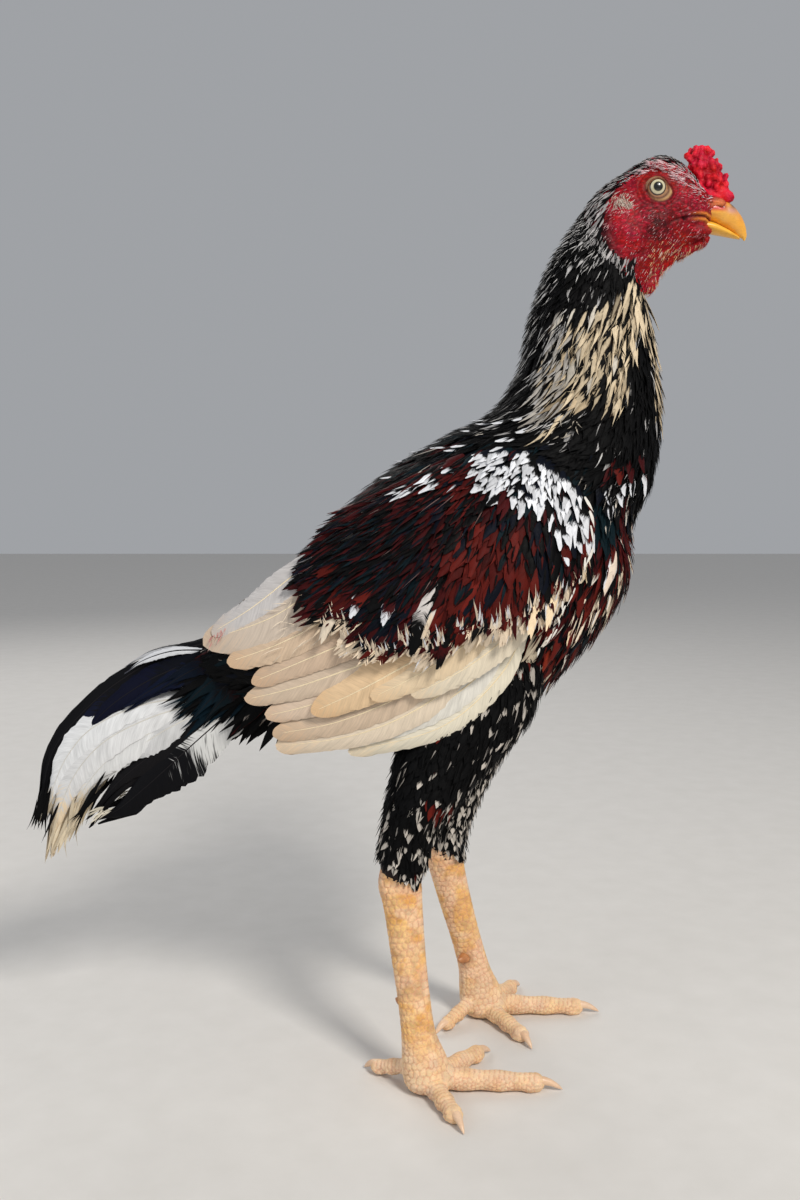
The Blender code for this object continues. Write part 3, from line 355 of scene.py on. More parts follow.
class Coat:
    """Gathers solid feathers into one mesh with the attributes that its material reads."""

    def __init__(self):
        self.verts, self.tris, self.rim, self.count = [], [], [], 0
        self.base, self.tip, self.place, self.mark, self.uv = [], [], [], [], []

    def add(self, verts, tris, rim, u, v, look):
        """verts N x V x 3, tris T x 3 within one feather, rim V, u and v (along and across) V or N x V."""
        n, per = verts.shape[:2]
        self.verts.append(verts.reshape(-1, 3))
        self.tris.append((tris[None] + (self.count + per * np.arange(n))[:, None, None]).reshape(-1, 3))
        self.rim.append(np.tile(rim, n))
        self.count += n * per
        u, v = np.broadcast_to(u, (n, per)), np.broadcast_to(v, (n, per))
        for store, value, width in ((self.base, look["base"], 4), (self.tip, look["tip"], 4),
                                    (self.mark, look["mark"], 4)):
            value = np.broadcast_to(value, (n, width))
            store.append(np.repeat(value, per, 0))
        seed = np.broadcast_to(look["seed"], n)
        reach = np.broadcast_to(look["reach"], n)
        self.place.append(np.stack([u, v, np.repeat(seed[:, None], per, 1),
                                    np.repeat(reach[:, None], per, 1)], -1).reshape(-1, 4))
        root = look["uv"][:, None, :]
        self.uv.append((root + 0.003 * np.stack([u - 0.5, 0.5 * v], -1)).reshape(-1, 2))

    def slim(self, path, half, thick, camber, look):
        """Blades of four points round each station, pointed at both ends."""
        centre, normal, side, _ = path
        n, k = centre.shape[:2]
        half, thick, camber = (np.broadcast_to(x, (n, k))[..., None] for x in (half, thick, camber))
        left = centre + side * half - normal * camber
        right = centre - side * half - normal * camber
        top = centre + normal * thick / 2
        bottom = centre - normal * thick / 2
        mid = np.stack([left, top, right, bottom], 2)[:, 1:-1].reshape(n, -1, 3)
        verts = np.concatenate([centre[:, :1], mid, centre[:, -1:]], 1)
        stations = k - 2
        tris = []
        for i in range(4):
            j = (i + 1) % 4
            tris.append((0, 1 + j, 1 + i))
            for s in range(stations - 1):
                p, q = 1 + 4 * s, 5 + 4 * s
                tris.append((p + i, p + j, q + j))
                tris.append((p + i, q + j, q + i))
            last = 1 + 4 * (stations - 1)
            tris.append((last + i, last + j, 1 + 4 * stations))
        share = np.linspace(0, 1, k)
        u = np.concatenate([[0], np.repeat(share[1:-1], 4), [1]])
        v = np.concatenate([[0], np.tile([1, 0, -1, 0], stations), [0]])
        rim = np.concatenate([[True], np.tile([True, False, True, False], stations), [True]])
        self.add(verts, np.array(tris), rim, u, v, look)

    def broad(self, path, half, thick, camber, columns, look, round_tip=0.25, tooth=0.0, fray=0.0, tip_half=0.55):
        """Vanes with several columns across, a rounded or toothed tip and a ragged edge."""
        centre, normal, side, ahead = path
        n, k = centre.shape[:2]
        m = columns
        x = np.linspace(1, -1, m)
        length = np.linalg.norm(np.diff(centre, axis=1), axis=-1).sum(1)
        share = np.linspace(0, 1, k)
        half = np.broadcast_to(half, (n, k))[..., None, None]
        thick = np.broadcast_to(thick, (n, k))[..., None, None]
        camber = np.broadcast_to(camber, (n, k))[..., None, None]
        xs = x[None, None, :, None]
        edge = np.abs(x)
        shift = -round_tip * (edge ** 2.2)[None, None] * step_up(0.35, 1.0, share)[None, :, None]
        jag = RNG.uniform(-1, 1, (n, 1, m)) * tooth * step_up(0.55, 1.0, share)[None, :, None]
        jag = jag * np.where(np.arange(m) % 2, 1.0, 0.45)[None, None]
        moved = (shift + jag) * length[:, None, None]
        grid = centre[:, :, None] + ahead[:, :, None] * moved[..., None]
        ragged = 1 + fray * RNG.uniform(-1, 1, (n, k, 1, 1)) * (edge > 0.99)[None, None, :, None]
        grid = grid + side[:, :, None] * half * xs * ragged - normal[:, :, None] * camber * xs ** 2
        swell = normal[:, :, None] * thick / 2 * (1 - xs ** 4)
        upper = (grid + swell).reshape(n, -1, 3)
        lower = (grid - swell)[:, 1:-1, 1:-1].reshape(n, -1, 3)
        verts = np.concatenate([upper, lower], 1)

        def under(i, j):
            if 0 < i < k - 1 and 0 < j < m - 1:
                return k * m + (i - 1) * (m - 2) + j - 1
            return i * m + j

        tris = []
        for i in range(k - 1):
            for j in range(m - 1):
                p, q, r, s = i * m + j, i * m + j + 1, (i + 1) * m + j + 1, (i + 1) * m + j
                tris += [(p, q, r), (p, r, s)]
                p, q, r, s = under(i, j), under(i, j + 1), under(i + 1, j + 1), under(i + 1, j)
                tris += [(p, r, q), (p, s, r)]
        u = (share[None, :, None] + shift + jag).reshape(n, -1)
        u = np.concatenate([u, (share[None, :, None] + shift + jag)[:, 1:-1, 1:-1].reshape(n, -1)], 1)
        v = np.tile(x, k)
        v = np.concatenate([v, np.tile(x[1:-1], k - 2)])
        rim = np.zeros((k, m), bool)
        rim[0], rim[-1], rim[:, 0], rim[:, -1] = True, True, True, True
        rim = np.concatenate([rim.ravel(), np.zeros((k - 2) * (m - 2), bool)])
        self.add(verts, np.array(tris), rim, u, v, look)

    def build(self, name, material, mirrored=False):
        verts = np.concatenate(self.verts)
        tris = np.concatenate(self.tris)
        if mirrored:
            verts = verts * np.array([1, -1, 1])
            tris = tris[:, ::-1]
        return mesh_object(name, verts, tris, material, rim=np.concatenate(self.rim), uv=np.concatenate(self.uv),
                           colours={"base_colour": np.concatenate(self.base), "tip_colour": np.concatenate(self.tip),
                                    "feather_place": np.concatenate(self.place),
                                    "feather_mark": np.concatenate(self.mark)})


def mesh_object(name, verts, faces, material, rim=None, uv=None, colours=None, smooth=True):
    """A mesh object from arrays. faces is an array of triangles or quads, all of one kind."""
    mesh = bpy.data.meshes.new(name)
    verts = np.asarray(verts, float) + SHIFT
    faces = np.asarray(faces)
    corner = faces.shape[1]
    mesh.vertices.add(len(verts))
    mesh.vertices.foreach_set("co", verts.astype(np.float32).ravel())
    mesh.loops.add(faces.size)
    mesh.loops.foreach_set("vertex_index", faces.astype(np.int32).ravel())
    mesh.polygons.add(len(faces))
    mesh.polygons.foreach_set("loop_start", np.arange(0, faces.size, corner, dtype=np.int32))
    mesh.update(calc_edges=True)
    mesh.polygons.foreach_set("use_smooth", np.full(len(faces), smooth))
    if rim is not None:
        ends = np.empty(2 * len(mesh.edges), np.int32)
        mesh.edges.foreach_get("vertices", ends)
        ends = ends.reshape(-1, 2)
        sharp = mesh.attributes.new("sharp_edge", "BOOLEAN", "EDGE")
        sharp.data.foreach_set("value", rim[ends[:, 0]] & rim[ends[:, 1]])
    if uv is not None:
        layer = mesh.uv_layers.new(name="OFBake")
        layer.data.foreach_set("uv", uv[faces.ravel()].astype(np.float32).ravel())
    for key, values in (colours or {}).items():
        layer = mesh.attributes.new(key, "FLOAT_COLOR", "POINT")
        layer.data.foreach_set("color", np.asarray(values, np.float32).ravel())
    mesh.update()
    mesh.materials.append(material)
    obj = bpy.data.objects.new(name, mesh)
    bpy.context.scene.collection.objects.link(obj)
    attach(obj, "root")
    return obj


# Materials

class Nodes:
    """Short hand for wiring a material's nodes."""

    def __init__(self, name):
        self.material = bpy.data.materials.new(name)
        self.material.use_nodes = True
        self.tree = self.material.node_tree
        self.shader = self.tree.nodes["Principled BSDF"]

    def add(self, kind, **settings):
        node = self.tree.nodes.new(kind)
        for key, value in settings.items():
            setattr(node, key, value)
        return node

    def join(self, source, target):
        self.tree.links.new(source, target)

    def put(self, socket, value):
        if isinstance(value, bpy.types.NodeSocket):
            self.join(value, socket)
        else:
            socket.default_value = value

    def math(self, operation, a, b=0.0, c=0.0, clamp=False):
        node = self.add("ShaderNodeMath", operation=operation, use_clamp=clamp)
        for socket, value in zip(node.inputs, (a, b, c)):
            self.put(socket, value)
        return node.outputs[0]

    def mix(self, share, a, b, blend="MIX"):
        node = self.add("ShaderNodeMix", data_type="RGBA", blend_type=blend)
        self.put(node.inputs[0], share)
        self.put(node.inputs[6], a)
        self.put(node.inputs[7], b)
        return node.outputs[2]

    def attribute(self, name):
        return self.add("ShaderNodeAttribute", attribute_name=name)

    def noise(self, vector, scale, detail=3.0, rough=0.55):
        node = self.add("ShaderNodeTexNoise")
        self.put(node.inputs["Vector"], vector)
        node.inputs["Scale"].default_value = scale
        node.inputs["Detail"].default_value = detail
        node.inputs["Roughness"].default_value = rough
        return node.outputs["Fac"]

    def vector(self, x, y, z):
        node = self.add("ShaderNodeCombineXYZ")
        for socket, value in zip(node.inputs, (x, y, z)):
            self.put(socket, value)
        return node.outputs[0]

    def ramp(self, x, low, high):
        node = self.add("ShaderNodeMapRange", interpolation_type="SMOOTHSTEP")
        self.put(node.inputs[0], x)
        self.put(node.inputs[1], low)
        self.put(node.inputs[2], high)
        return node.outputs[0]

    def bump(self, height, distance, strength=1.0, under=None):
        node = self.add("ShaderNodeBump")
        node.inputs["Strength"].default_value = strength
        node.inputs["Distance"].default_value = distance
        self.put(node.inputs["Height"], height)
        if under is not None:
            self.join(under, node.inputs["Normal"])
        return node.outputs[0]

    def colour(self, rgb):
        return (*[float(c) for c in rgb], 1.0)


def feather_material(name, gloss=0.50, sheen=0.0, barbs=1500.0, slant=7.0, contrast=0.50):
    """Barbs that slant from the shaft, with a second colour at the tip and edge of each feather."""
    n = Nodes(name)
    place = n.attribute("feather_place")
    split = n.add("ShaderNodeSeparateColor")
    n.join(place.outputs["Color"], split.inputs[0])
    along, across, seed = split.outputs
    reach = place.outputs["Alpha"]
    mark = n.attribute("feather_mark")
    marks = n.add("ShaderNodeSeparateColor")
    n.join(mark.outputs["Color"], marks.inputs[0])
    tip_start, edge_start, soft = marks.outputs
    off_shaft = n.math("ABSOLUTE", across)
    metres = n.math("MULTIPLY", along, reach)
    barb = n.math("SUBTRACT", n.math("MULTIPLY", metres, barbs), n.math("MULTIPLY", off_shaft, slant))
    barb = n.math("ADD", barb, n.math("MULTIPLY", seed, 57.0))
    streak = n.noise(n.vector(barb, n.math("MULTIPLY", across, 1.2), seed), 1.0, 2.0)
    coarse = n.noise(n.vector(n.math("MULTIPLY", barb, 0.22), across, seed), 1.0, 2.0)
    wobble = n.math("SUBTRACT", n.math("ADD", streak, coarse), 1.0)
    ragged = n.math("MULTIPLY_ADD", wobble, 0.35, along)
    tip = n.ramp(ragged, n.math("SUBTRACT", tip_start, soft), n.math("ADD", tip_start, soft))
    ragged_edge = n.math("MULTIPLY_ADD", wobble, 0.5, off_shaft)
    edge = n.ramp(ragged_edge, n.math("SUBTRACT", edge_start, 0.12), n.math("ADD", edge_start, 0.12))
    share = n.math("MAXIMUM", tip, edge)
    base = n.attribute("base_colour")
    second = n.attribute("tip_colour")
    colour = n.mix(share, base.outputs["Color"], second.outputs["Color"])
    value = n.math("MULTIPLY_ADD", n.math("ADD", streak, coarse), contrast, 1.0 - contrast)
    tint = n.add("ShaderNodeHueSaturation")
    n.join(value, tint.inputs["Value"])
    n.join(colour, tint.inputs["Color"])
    n.join(tint.outputs[0], n.shader.inputs["Base Color"])
    n.put(n.shader.inputs["Roughness"], n.math("MULTIPLY_ADD", streak, 0.30, gloss - 0.12))
    n.shader.inputs["Specular IOR Level"].default_value = 0.07
    n.shader.inputs["Sheen Weight"].default_value = sheen
    n.shader.inputs["Sheen Roughness"].default_value = 0.4
    n.join(n.bump(streak, 0.00035, 0.6), n.shader.inputs["Normal"])
    return n.material


def skin_material():
    """Bare skin and scutes from the colours stored on the mesh, with pores and fine folds."""
    n = Nodes("bare_skin")
    base = n.attribute("skin_colour")
    where = n.add("ShaderNodeTexCoord").outputs["Object"]
    fine = n.noise(where, 900.0, 4.0, 0.6)
    patch = n.noise(where, 120.0, 3.0)
    value = n.math("MULTIPLY_ADD", n.math("ADD", fine, patch), 0.45, 0.55)
    tint = n.add("ShaderNodeHueSaturation")
    n.join(value, tint.inputs["Value"])
    n.join(n.math("MULTIPLY_ADD", patch, 0.03, 0.485), tint.inputs["Hue"])
    n.join(base.outputs["Color"], tint.inputs["Color"])
    n.join(tint.outputs[0], n.shader.inputs["Base Color"])
    n.put(n.shader.inputs["Roughness"], n.math("MULTIPLY_ADD", fine, 0.25, 0.40))
    n.shader.inputs["Specular IOR Level"].default_value = 0.20
    n.shader.inputs["Subsurface Weight"].default_value = 0.12
    n.shader.inputs["Subsurface Radius"].default_value = (1.0, 0.35, 0.2)
    n.shader.inputs["Subsurface Scale"].default_value = 0.002
    spots = n.add("ShaderNodeTexVoronoi")
    n.join(where, spots.inputs["Vector"])
    spots.inputs["Scale"].default_value = 750.0
    n.join(n.bump(n.math("ADD", fine, n.math("MULTIPLY", spots.outputs["Distance"], 0.8)), 0.00025, 0.7),
           n.shader.inputs["Normal"])
    return n.material


def horn_material(name, gloss=0.3):
    """Horn with growth lines, coloured from the mesh."""
    n = Nodes(name)
    base = n.attribute("skin_colour")
    where = n.add("ShaderNodeTexCoord").outputs["Object"]
    stretch = n.add("ShaderNodeMapping")
    n.join(where, stretch.inputs["Vector"])
    stretch.inputs["Scale"].default_value = (1.0, 2.2, 2.6)
    lines = n.noise(stretch.outputs[0], 420.0, 4.0, 0.6)
    spots = n.noise(where, 160.0, 2.0)
    value = n.math("MULTIPLY_ADD", n.math("ADD", lines, spots), 0.30, 0.70)
    tint = n.add("ShaderNodeHueSaturation")
    n.join(value, tint.inputs["Value"])
    n.join(base.outputs["Color"], tint.inputs["Color"])
    n.join(tint.outputs[0], n.shader.inputs["Base Color"])
    n.put(n.shader.inputs["Roughness"], n.math("MULTIPLY_ADD", lines, 0.25, gloss - 0.08))
    n.shader.inputs["Coat Weight"].default_value = 0.25
    n.shader.inputs["Coat Roughness"].default_value = 0.25
    n.join(n.bump(lines, 0.0002, 0.5), n.shader.inputs["Normal"])
    return n.material


def eye_material():
    """Pupil, pale iris with fine rays and a dark rim, read by the distance from the eye's own axis."""
    n = Nodes("eye")
    around = n.attribute("eye_place")
    split = n.add("ShaderNodeSeparateColor")
    n.join(around.outputs["Color"], split.inputs[0])
    x, z, _ = split.outputs
    radius = n.math("SQRT", n.math("ADD", n.math("MULTIPLY", x, x), n.math("MULTIPLY", z, z)))
    angle = n.math("ARCTAN2", z, x)
    rays = n.noise(n.vector(n.math("MULTIPLY", angle, 7.0), n.math("MULTIPLY", radius, 0.5), 0.0), 2.0, 3.0)
    iris = n.mix(rays, n.colour(srgb(176, 166, 132)), n.colour(srgb(216, 208, 178)))
    iris = n.mix(n.ramp(radius, 3.3, 2.7), iris, n.colour(srgb(140, 132, 96)))
    iris = n.mix(n.ramp(radius, 4.2, 4.45), iris, n.colour(srgb(58, 30, 20)))
    iris = n.mix(n.ramp(radius, 5.0, 5.2), iris, n.colour(srgb(170, 130, 90)))
    iris = n.mix(n.ramp(radius, 5.6, 6.4), iris, n.colour(srgb(150, 104, 72)))
    colour = n.mix(n.ramp(radius, 2.85, 2.65), iris, n.colour(srgb(4, 3, 4)))
    n.join(colour, n.shader.inputs["Base Color"])
    n.put(n.shader.inputs["Roughness"], n.math("MULTIPLY_ADD", rays, 0.1, 0.22))
    n.shader.inputs["Coat Weight"].default_value = 0.6
    n.shader.inputs["Coat Roughness"].default_value = 0.03
    return n.material


def floor_material():
    n = Nodes("pale_floor")
    where = n.add("ShaderNodeTexCoord").outputs["Object"]
    grain = n.noise(where, 35.0, 5.0)
    n.join(n.mix(grain, n.colour(srgb(214, 211, 206)), n.colour(srgb(226, 223, 219))), n.shader.inputs["Base Color"])
    n.shader.inputs["Roughness"].default_value = 0.8
    n.join(n.bump(grain, 0.0006, 0.3), n.shader.inputs["Normal"])
    return n.material


# Solid shapes as arrays

def grid_faces(rings, sides, start=0):
    faces = []
    for i in range(rings - 1):
        for j in range(sides):
            k = (j + 1) % sides
            faces.append((start + i * sides + j, start + i * sides + k, start + (i + 1) * sides + k,
                          start + (i + 1) * sides + j))
    return faces


def tube(surface, rings=40, sides=40, a0=0.0, a1=1.0, h=0.0):
    """Verts and faces of a closed tube along a loft."""
    a = np.repeat(np.linspace(a0, a1, rings), sides)
    b = np.tile(np.linspace(0, 2 * math.pi, sides, endpoint=False), rings)
    verts = surface.raw(a, b) + (surface.normal(a, b) * h if h else 0.0)
    faces = grid_faces(rings, sides)
    ends = [tuple(reversed(range(sides))), tuple((rings - 1) * sides + j for j in range(sides))]
    return verts, faces + ends


def ball(centre, radii, rings=14, sides=20, lean=0.0):
    """An ellipsoid, leaning forward by an angle about the cross axis."""
    t = np.linspace(0, math.pi, rings + 2)[1:-1]
    verts = [(0, 0, 1)]
    for v in t:
        for j in range(sides):
            w = 2 * math.pi * j / sides
            verts.append((math.sin(v) * math.cos(w), math.sin(v) * math.sin(w), math.cos(v)))
    verts.append((0, 0, -1))
    verts = np.array(verts) * np.array(radii)
    c, s = math.cos(lean), math.sin(lean)
    verts = np.stack([verts[:, 0] * c + verts[:, 2] * s, verts[:, 1], -verts[:, 0] * s + verts[:, 2] * c], -1)
    faces = [tuple(reversed(f)) for f in grid_faces(rings, sides, 1)]
    faces += [(0, 1 + j, 1 + (j + 1) % sides) for j in range(sides)]
    last = 1 + rings * sides
    first = last - sides
    faces += [(last, first + (j + 1) % sides, first + j) for j in range(sides)]
    return verts + np.array(centre), faces


def loop_tube(points, radius, sides=10):
    """A closed ring of tube through points."""
    points = np.array(points)
    count = len(points)
    ahead = unit(np.roll(points, -1, 0) - np.roll(points, 1, 0))
    out = unit(points - points.mean(0))
    up = unit(np.cross(ahead, out))
    out = np.cross(up, ahead)
    radius = np.broadcast_to(radius, count)
    turn = np.linspace(0, 2 * math.pi, sides, endpoint=False)
    verts = (points[:, None] + radius[:, None, None] * (out[:, None] * np.cos(turn)[None, :, None]
                                                       + up[:, None] * np.sin(turn)[None, :, None]))
    faces = []
    for i in range(count):
        for j in range(sides):
            i2, j2 = (i + 1) % count, (j + 1) % sides
            faces.append((i * sides + j, i2 * sides + j, i2 * sides + j2, i * sides + j2))
    return verts.reshape(-1, 3), faces


def path_tube(points, radii, sides=16, flat=1.0, rings=None):
    """A closed tube along a curve through points. flat squeezes it up and down."""
    rings = rings or 5 * len(points)
    share = np.linspace(0, 1, rings)
    line = spline(points, share)
    radius = spline(np.array(radii)[:, None], share)[:, 0]
    ahead = unit(np.gradient(line, axis=0))
    side = unit(np.cross(ahead, np.array([0.0, 0.0, 1.0]) + 1e-6))
    up = np.cross(side, ahead)
    turn = np.linspace(0, 2 * math.pi, sides, endpoint=False)
    verts = (line[:, None] + radius[:, None, None] * (side[:, None] * np.cos(turn)[None, :, None]
                                                     + flat * up[:, None] * np.sin(turn)[None, :, None]))
    faces = [tuple(reversed(f)) for f in grid_faces(rings, sides)]
    faces += [tuple(range(sides)), tuple(reversed([(rings - 1) * sides + j for j in range(sides)]))]
    return verts.reshape(-1, 3), faces


def mirror(shape):
    verts, faces = shape
    return verts * np.array([1, -1, 1]), [tuple(reversed(f)) for f in faces]


def remeshed(shapes, voxel):
    """One skin over overlapping closed shapes: verts and quads."""
    verts, faces, start = [], [], 0
    for v, f in shapes:
        verts.append(v)
        faces += [tuple(i + start for i in face) for face in f]
        start += len(v)
    mesh = bpy.data.meshes.new("work")
    mesh.from_pydata(np.concatenate(verts).tolist(), [], faces)
    obj = bpy.data.objects.new("work", mesh)
    bpy.context.scene.collection.objects.link(obj)
    cover = obj.modifiers.new("cover", "REMESH")
    cover.mode = "VOXEL"
    cover.voxel_size = voxel
    cover.adaptivity = 0.0
    result = obj.evaluated_get(bpy.context.evaluated_depsgraph_get()).to_mesh()
    co = np.empty(3 * len(result.vertices))
    result.vertices.foreach_get("co", co)
    quads = np.empty(4 * len(result.polygons), np.int32)
    result.polygons.foreach_get("vertices", quads)
    bpy.data.objects.remove(obj)
    bpy.data.meshes.remove(mesh)
    return co.reshape(-1, 3), quads.reshape(-1, 4)


def eased(verts, quads, rounds, strength=0.5):
    """Laplace smoothing."""
    ends = np.concatenate([quads[:, [0, 1]], quads[:, [1, 2]], quads[:, [2, 3]], quads[:, [3, 0]]])
    a, b = np.concatenate([ends[:, 0], ends[:, 1]]), np.concatenate([ends[:, 1], ends[:, 0]])
    size = np.maximum(np.bincount(a, minlength=len(verts)), 1)[:, None]
    for _ in range(rounds):
        mean = np.stack([np.bincount(a, verts[b, k], len(verts)) for k in range(3)], -1) / size
        verts = verts + (mean - verts) * strength
    return verts


def normals(verts, faces):
    first = np.cross(verts[faces[:, 2]] - verts[faces[:, 0]], verts[faces[:, -1]] - verts[faces[:, 1]])
    if faces.shape[1] == 3:
        first = np.cross(verts[faces[:, 1]] - verts[faces[:, 0]], verts[faces[:, 2]] - verts[faces[:, 0]])
    out = np.zeros_like(verts)
    for k in range(faces.shape[1]):
        out += np.stack([np.bincount(faces[:, k], first[:, i], len(verts)) for i in range(3)], -1)
    return unit(out)


def nearest_on_line(points, line):
    """Distance from each point to a polyline, and the share of its length there."""
    points, line = np.asarray(points, float), np.asarray(line, float)
    lengths = np.linalg.norm(np.diff(line, axis=0), axis=1)
    start = np.concatenate([[0], np.cumsum(lengths)])
    best = np.full(len(points), 1e9)
    share = np.zeros(len(points))
    for i, (p, q) in enumerate(zip(line, line[1:])):
        t = np.clip((points - p) @ (q - p) / max(lengths[i] ** 2, 1e-12), 0, 1)
        d = np.linalg.norm(points - p - t[:, None] * (q - p), axis=1)
        near = d < best
        best = np.where(near, d, best)
        share = np.where(near, (start[i] + t * lengths[i]) / start[-1], share)
    return best, share


# Skin

MOUTH_LINE = ((0.1620, 0.5326), (0.1649, 0.5345), (0.1710, 0.5368), (0.1772, 0.5382), (0.1830, 0.5390),
              (0.1876, 0.5391), (0.1935, 0.5380), (0.1988, 0.5364), (0.2040, 0.5340), (0.2076, 0.5319))
MOUTH_PIT = (0.1737, 0.5364)
DEWLAP_LINE = ((0.1905, 0.5275), (0.1845, 0.5235), (0.1760, 0.5195), (0.1682, 0.5154), (0.1621, 0.5094),
               (0.1578, 0.5020), (0.1540, 0.4965))
COMB_CENTRE = (0.1904, 0.0, 0.5672)
COMB_RADII = (0.0084, 0.0062, 0.0158)
COMB_LEAN = -0.52
LOBE = (0.1385, 0.5290)
# The lids' opening and the edge of the pale skin round it, as distances from the eye's middle by angle.
LID_TURNS = (-180, -120, -80, -40, -21, 0, 30, 90, 150, 180)
LID_REACH = (.0060, .0062, .0066, .0070, .0072, .0067, .0060, .0053, .0057, .0060)
PALE_TURNS = (-180, -150, -127, -100, -80, -45, -20, 0, 20, 60, 120, 180)
PALE_REACH = (.0062, .0064, .0068, .0074, .0080, .0092, .0094, .0076, .0062, .0056, .0056, .0062)
RED = srgb(192, 10, 40)
DEEP_RED = srgb(146, 4, 26)
PINK_RED = srgb(206, 44, 78)
SCARLET = srgb(196, 6, 12)
COMB_RED = srgb(208, 10, 42)
PALE_LID = srgb(186, 148, 104)


def leant(points, angle):
    """Places leaning forward by an angle about the cross axis."""
    c, s = math.cos(angle), math.sin(angle)
    return np.stack([points[..., 0] * c + points[..., 2] * s, points[..., 1],
                     -points[..., 0] * s + points[..., 2] * c], -1)


def comb_shapes():
    """A pea comb: a core that leans back, with many small bulbs over it."""
    shapes = [ball(COMB_CENTRE, COMB_RADII, lean=COMB_LEAN),
              ball((0.1975, 0.0, 0.5560), (0.0075, 0.0058, 0.0070)),
              ball((0.2030, 0.0, 0.5535), (0.0050, 0.0050, 0.0044))]
    count = 90
    for i in range(count):
        z = 1 - 2 * (i + 0.5) / count
        w = i * 2.399963
        r = math.sqrt(1 - z * z)
        way = np.array([r * math.cos(w), r * math.sin(w), z]) + RNG.normal(0, 0.06, 3)
        at = leant(way * np.array(COMB_RADII) * RNG.uniform(0.98, 1.16), COMB_LEAN) + COMB_CENTRE
        size = RNG.uniform(0.0016, 0.0026)
        shapes.append(ball(at, (size, size, size * RNG.uniform(1.0, 1.4)), 6, 8))
    return shapes


def comb_measure(points):
    """How far points are from the comb's middle, 1 at its core's surface."""
    local = leant(points - np.array(COMB_CENTRE), -COMB_LEAN)
    return np.linalg.norm(local / (np.array(COMB_RADII) + 0.0016), axis=1)


def eye_polar(x, z):
    """Angle and distance from the eye's middle, seen from the side."""
    dx, dz = x - EYE_CENTRE[0], z - EYE_CENTRE[2]
    return np.degrees(np.arctan2(dz, dx)), np.hypot(dx, dz)


def lid_ring(side):
    """The rim of the lids: round behind and drawn out to a corner low in front."""
    turns = np.linspace(-180, 180, 36, endpoint=False)
    reach = np.interp(turns, LID_TURNS, LID_REACH)
    reach = (np.roll(reach, 1) + 2 * reach + np.roll(reach, -1)) / 4
    x, z = reach * np.cos(np.radians(turns)), reach * np.sin(np.radians(turns))
    deep = np.sqrt(np.maximum(0.0085 ** 2 - reach ** 2, 0.0052 ** 2))
    points = np.stack([EYE_CENTRE[0] + x, side * (EYE_CENTRE[1] + deep), EYE_CENTRE[2] + z], -1)
    return loop_tube(points, np.interp(turns, (-180, -90, 0, 90, 180), (.0008, .0007, .0007, .0010, .0008)))


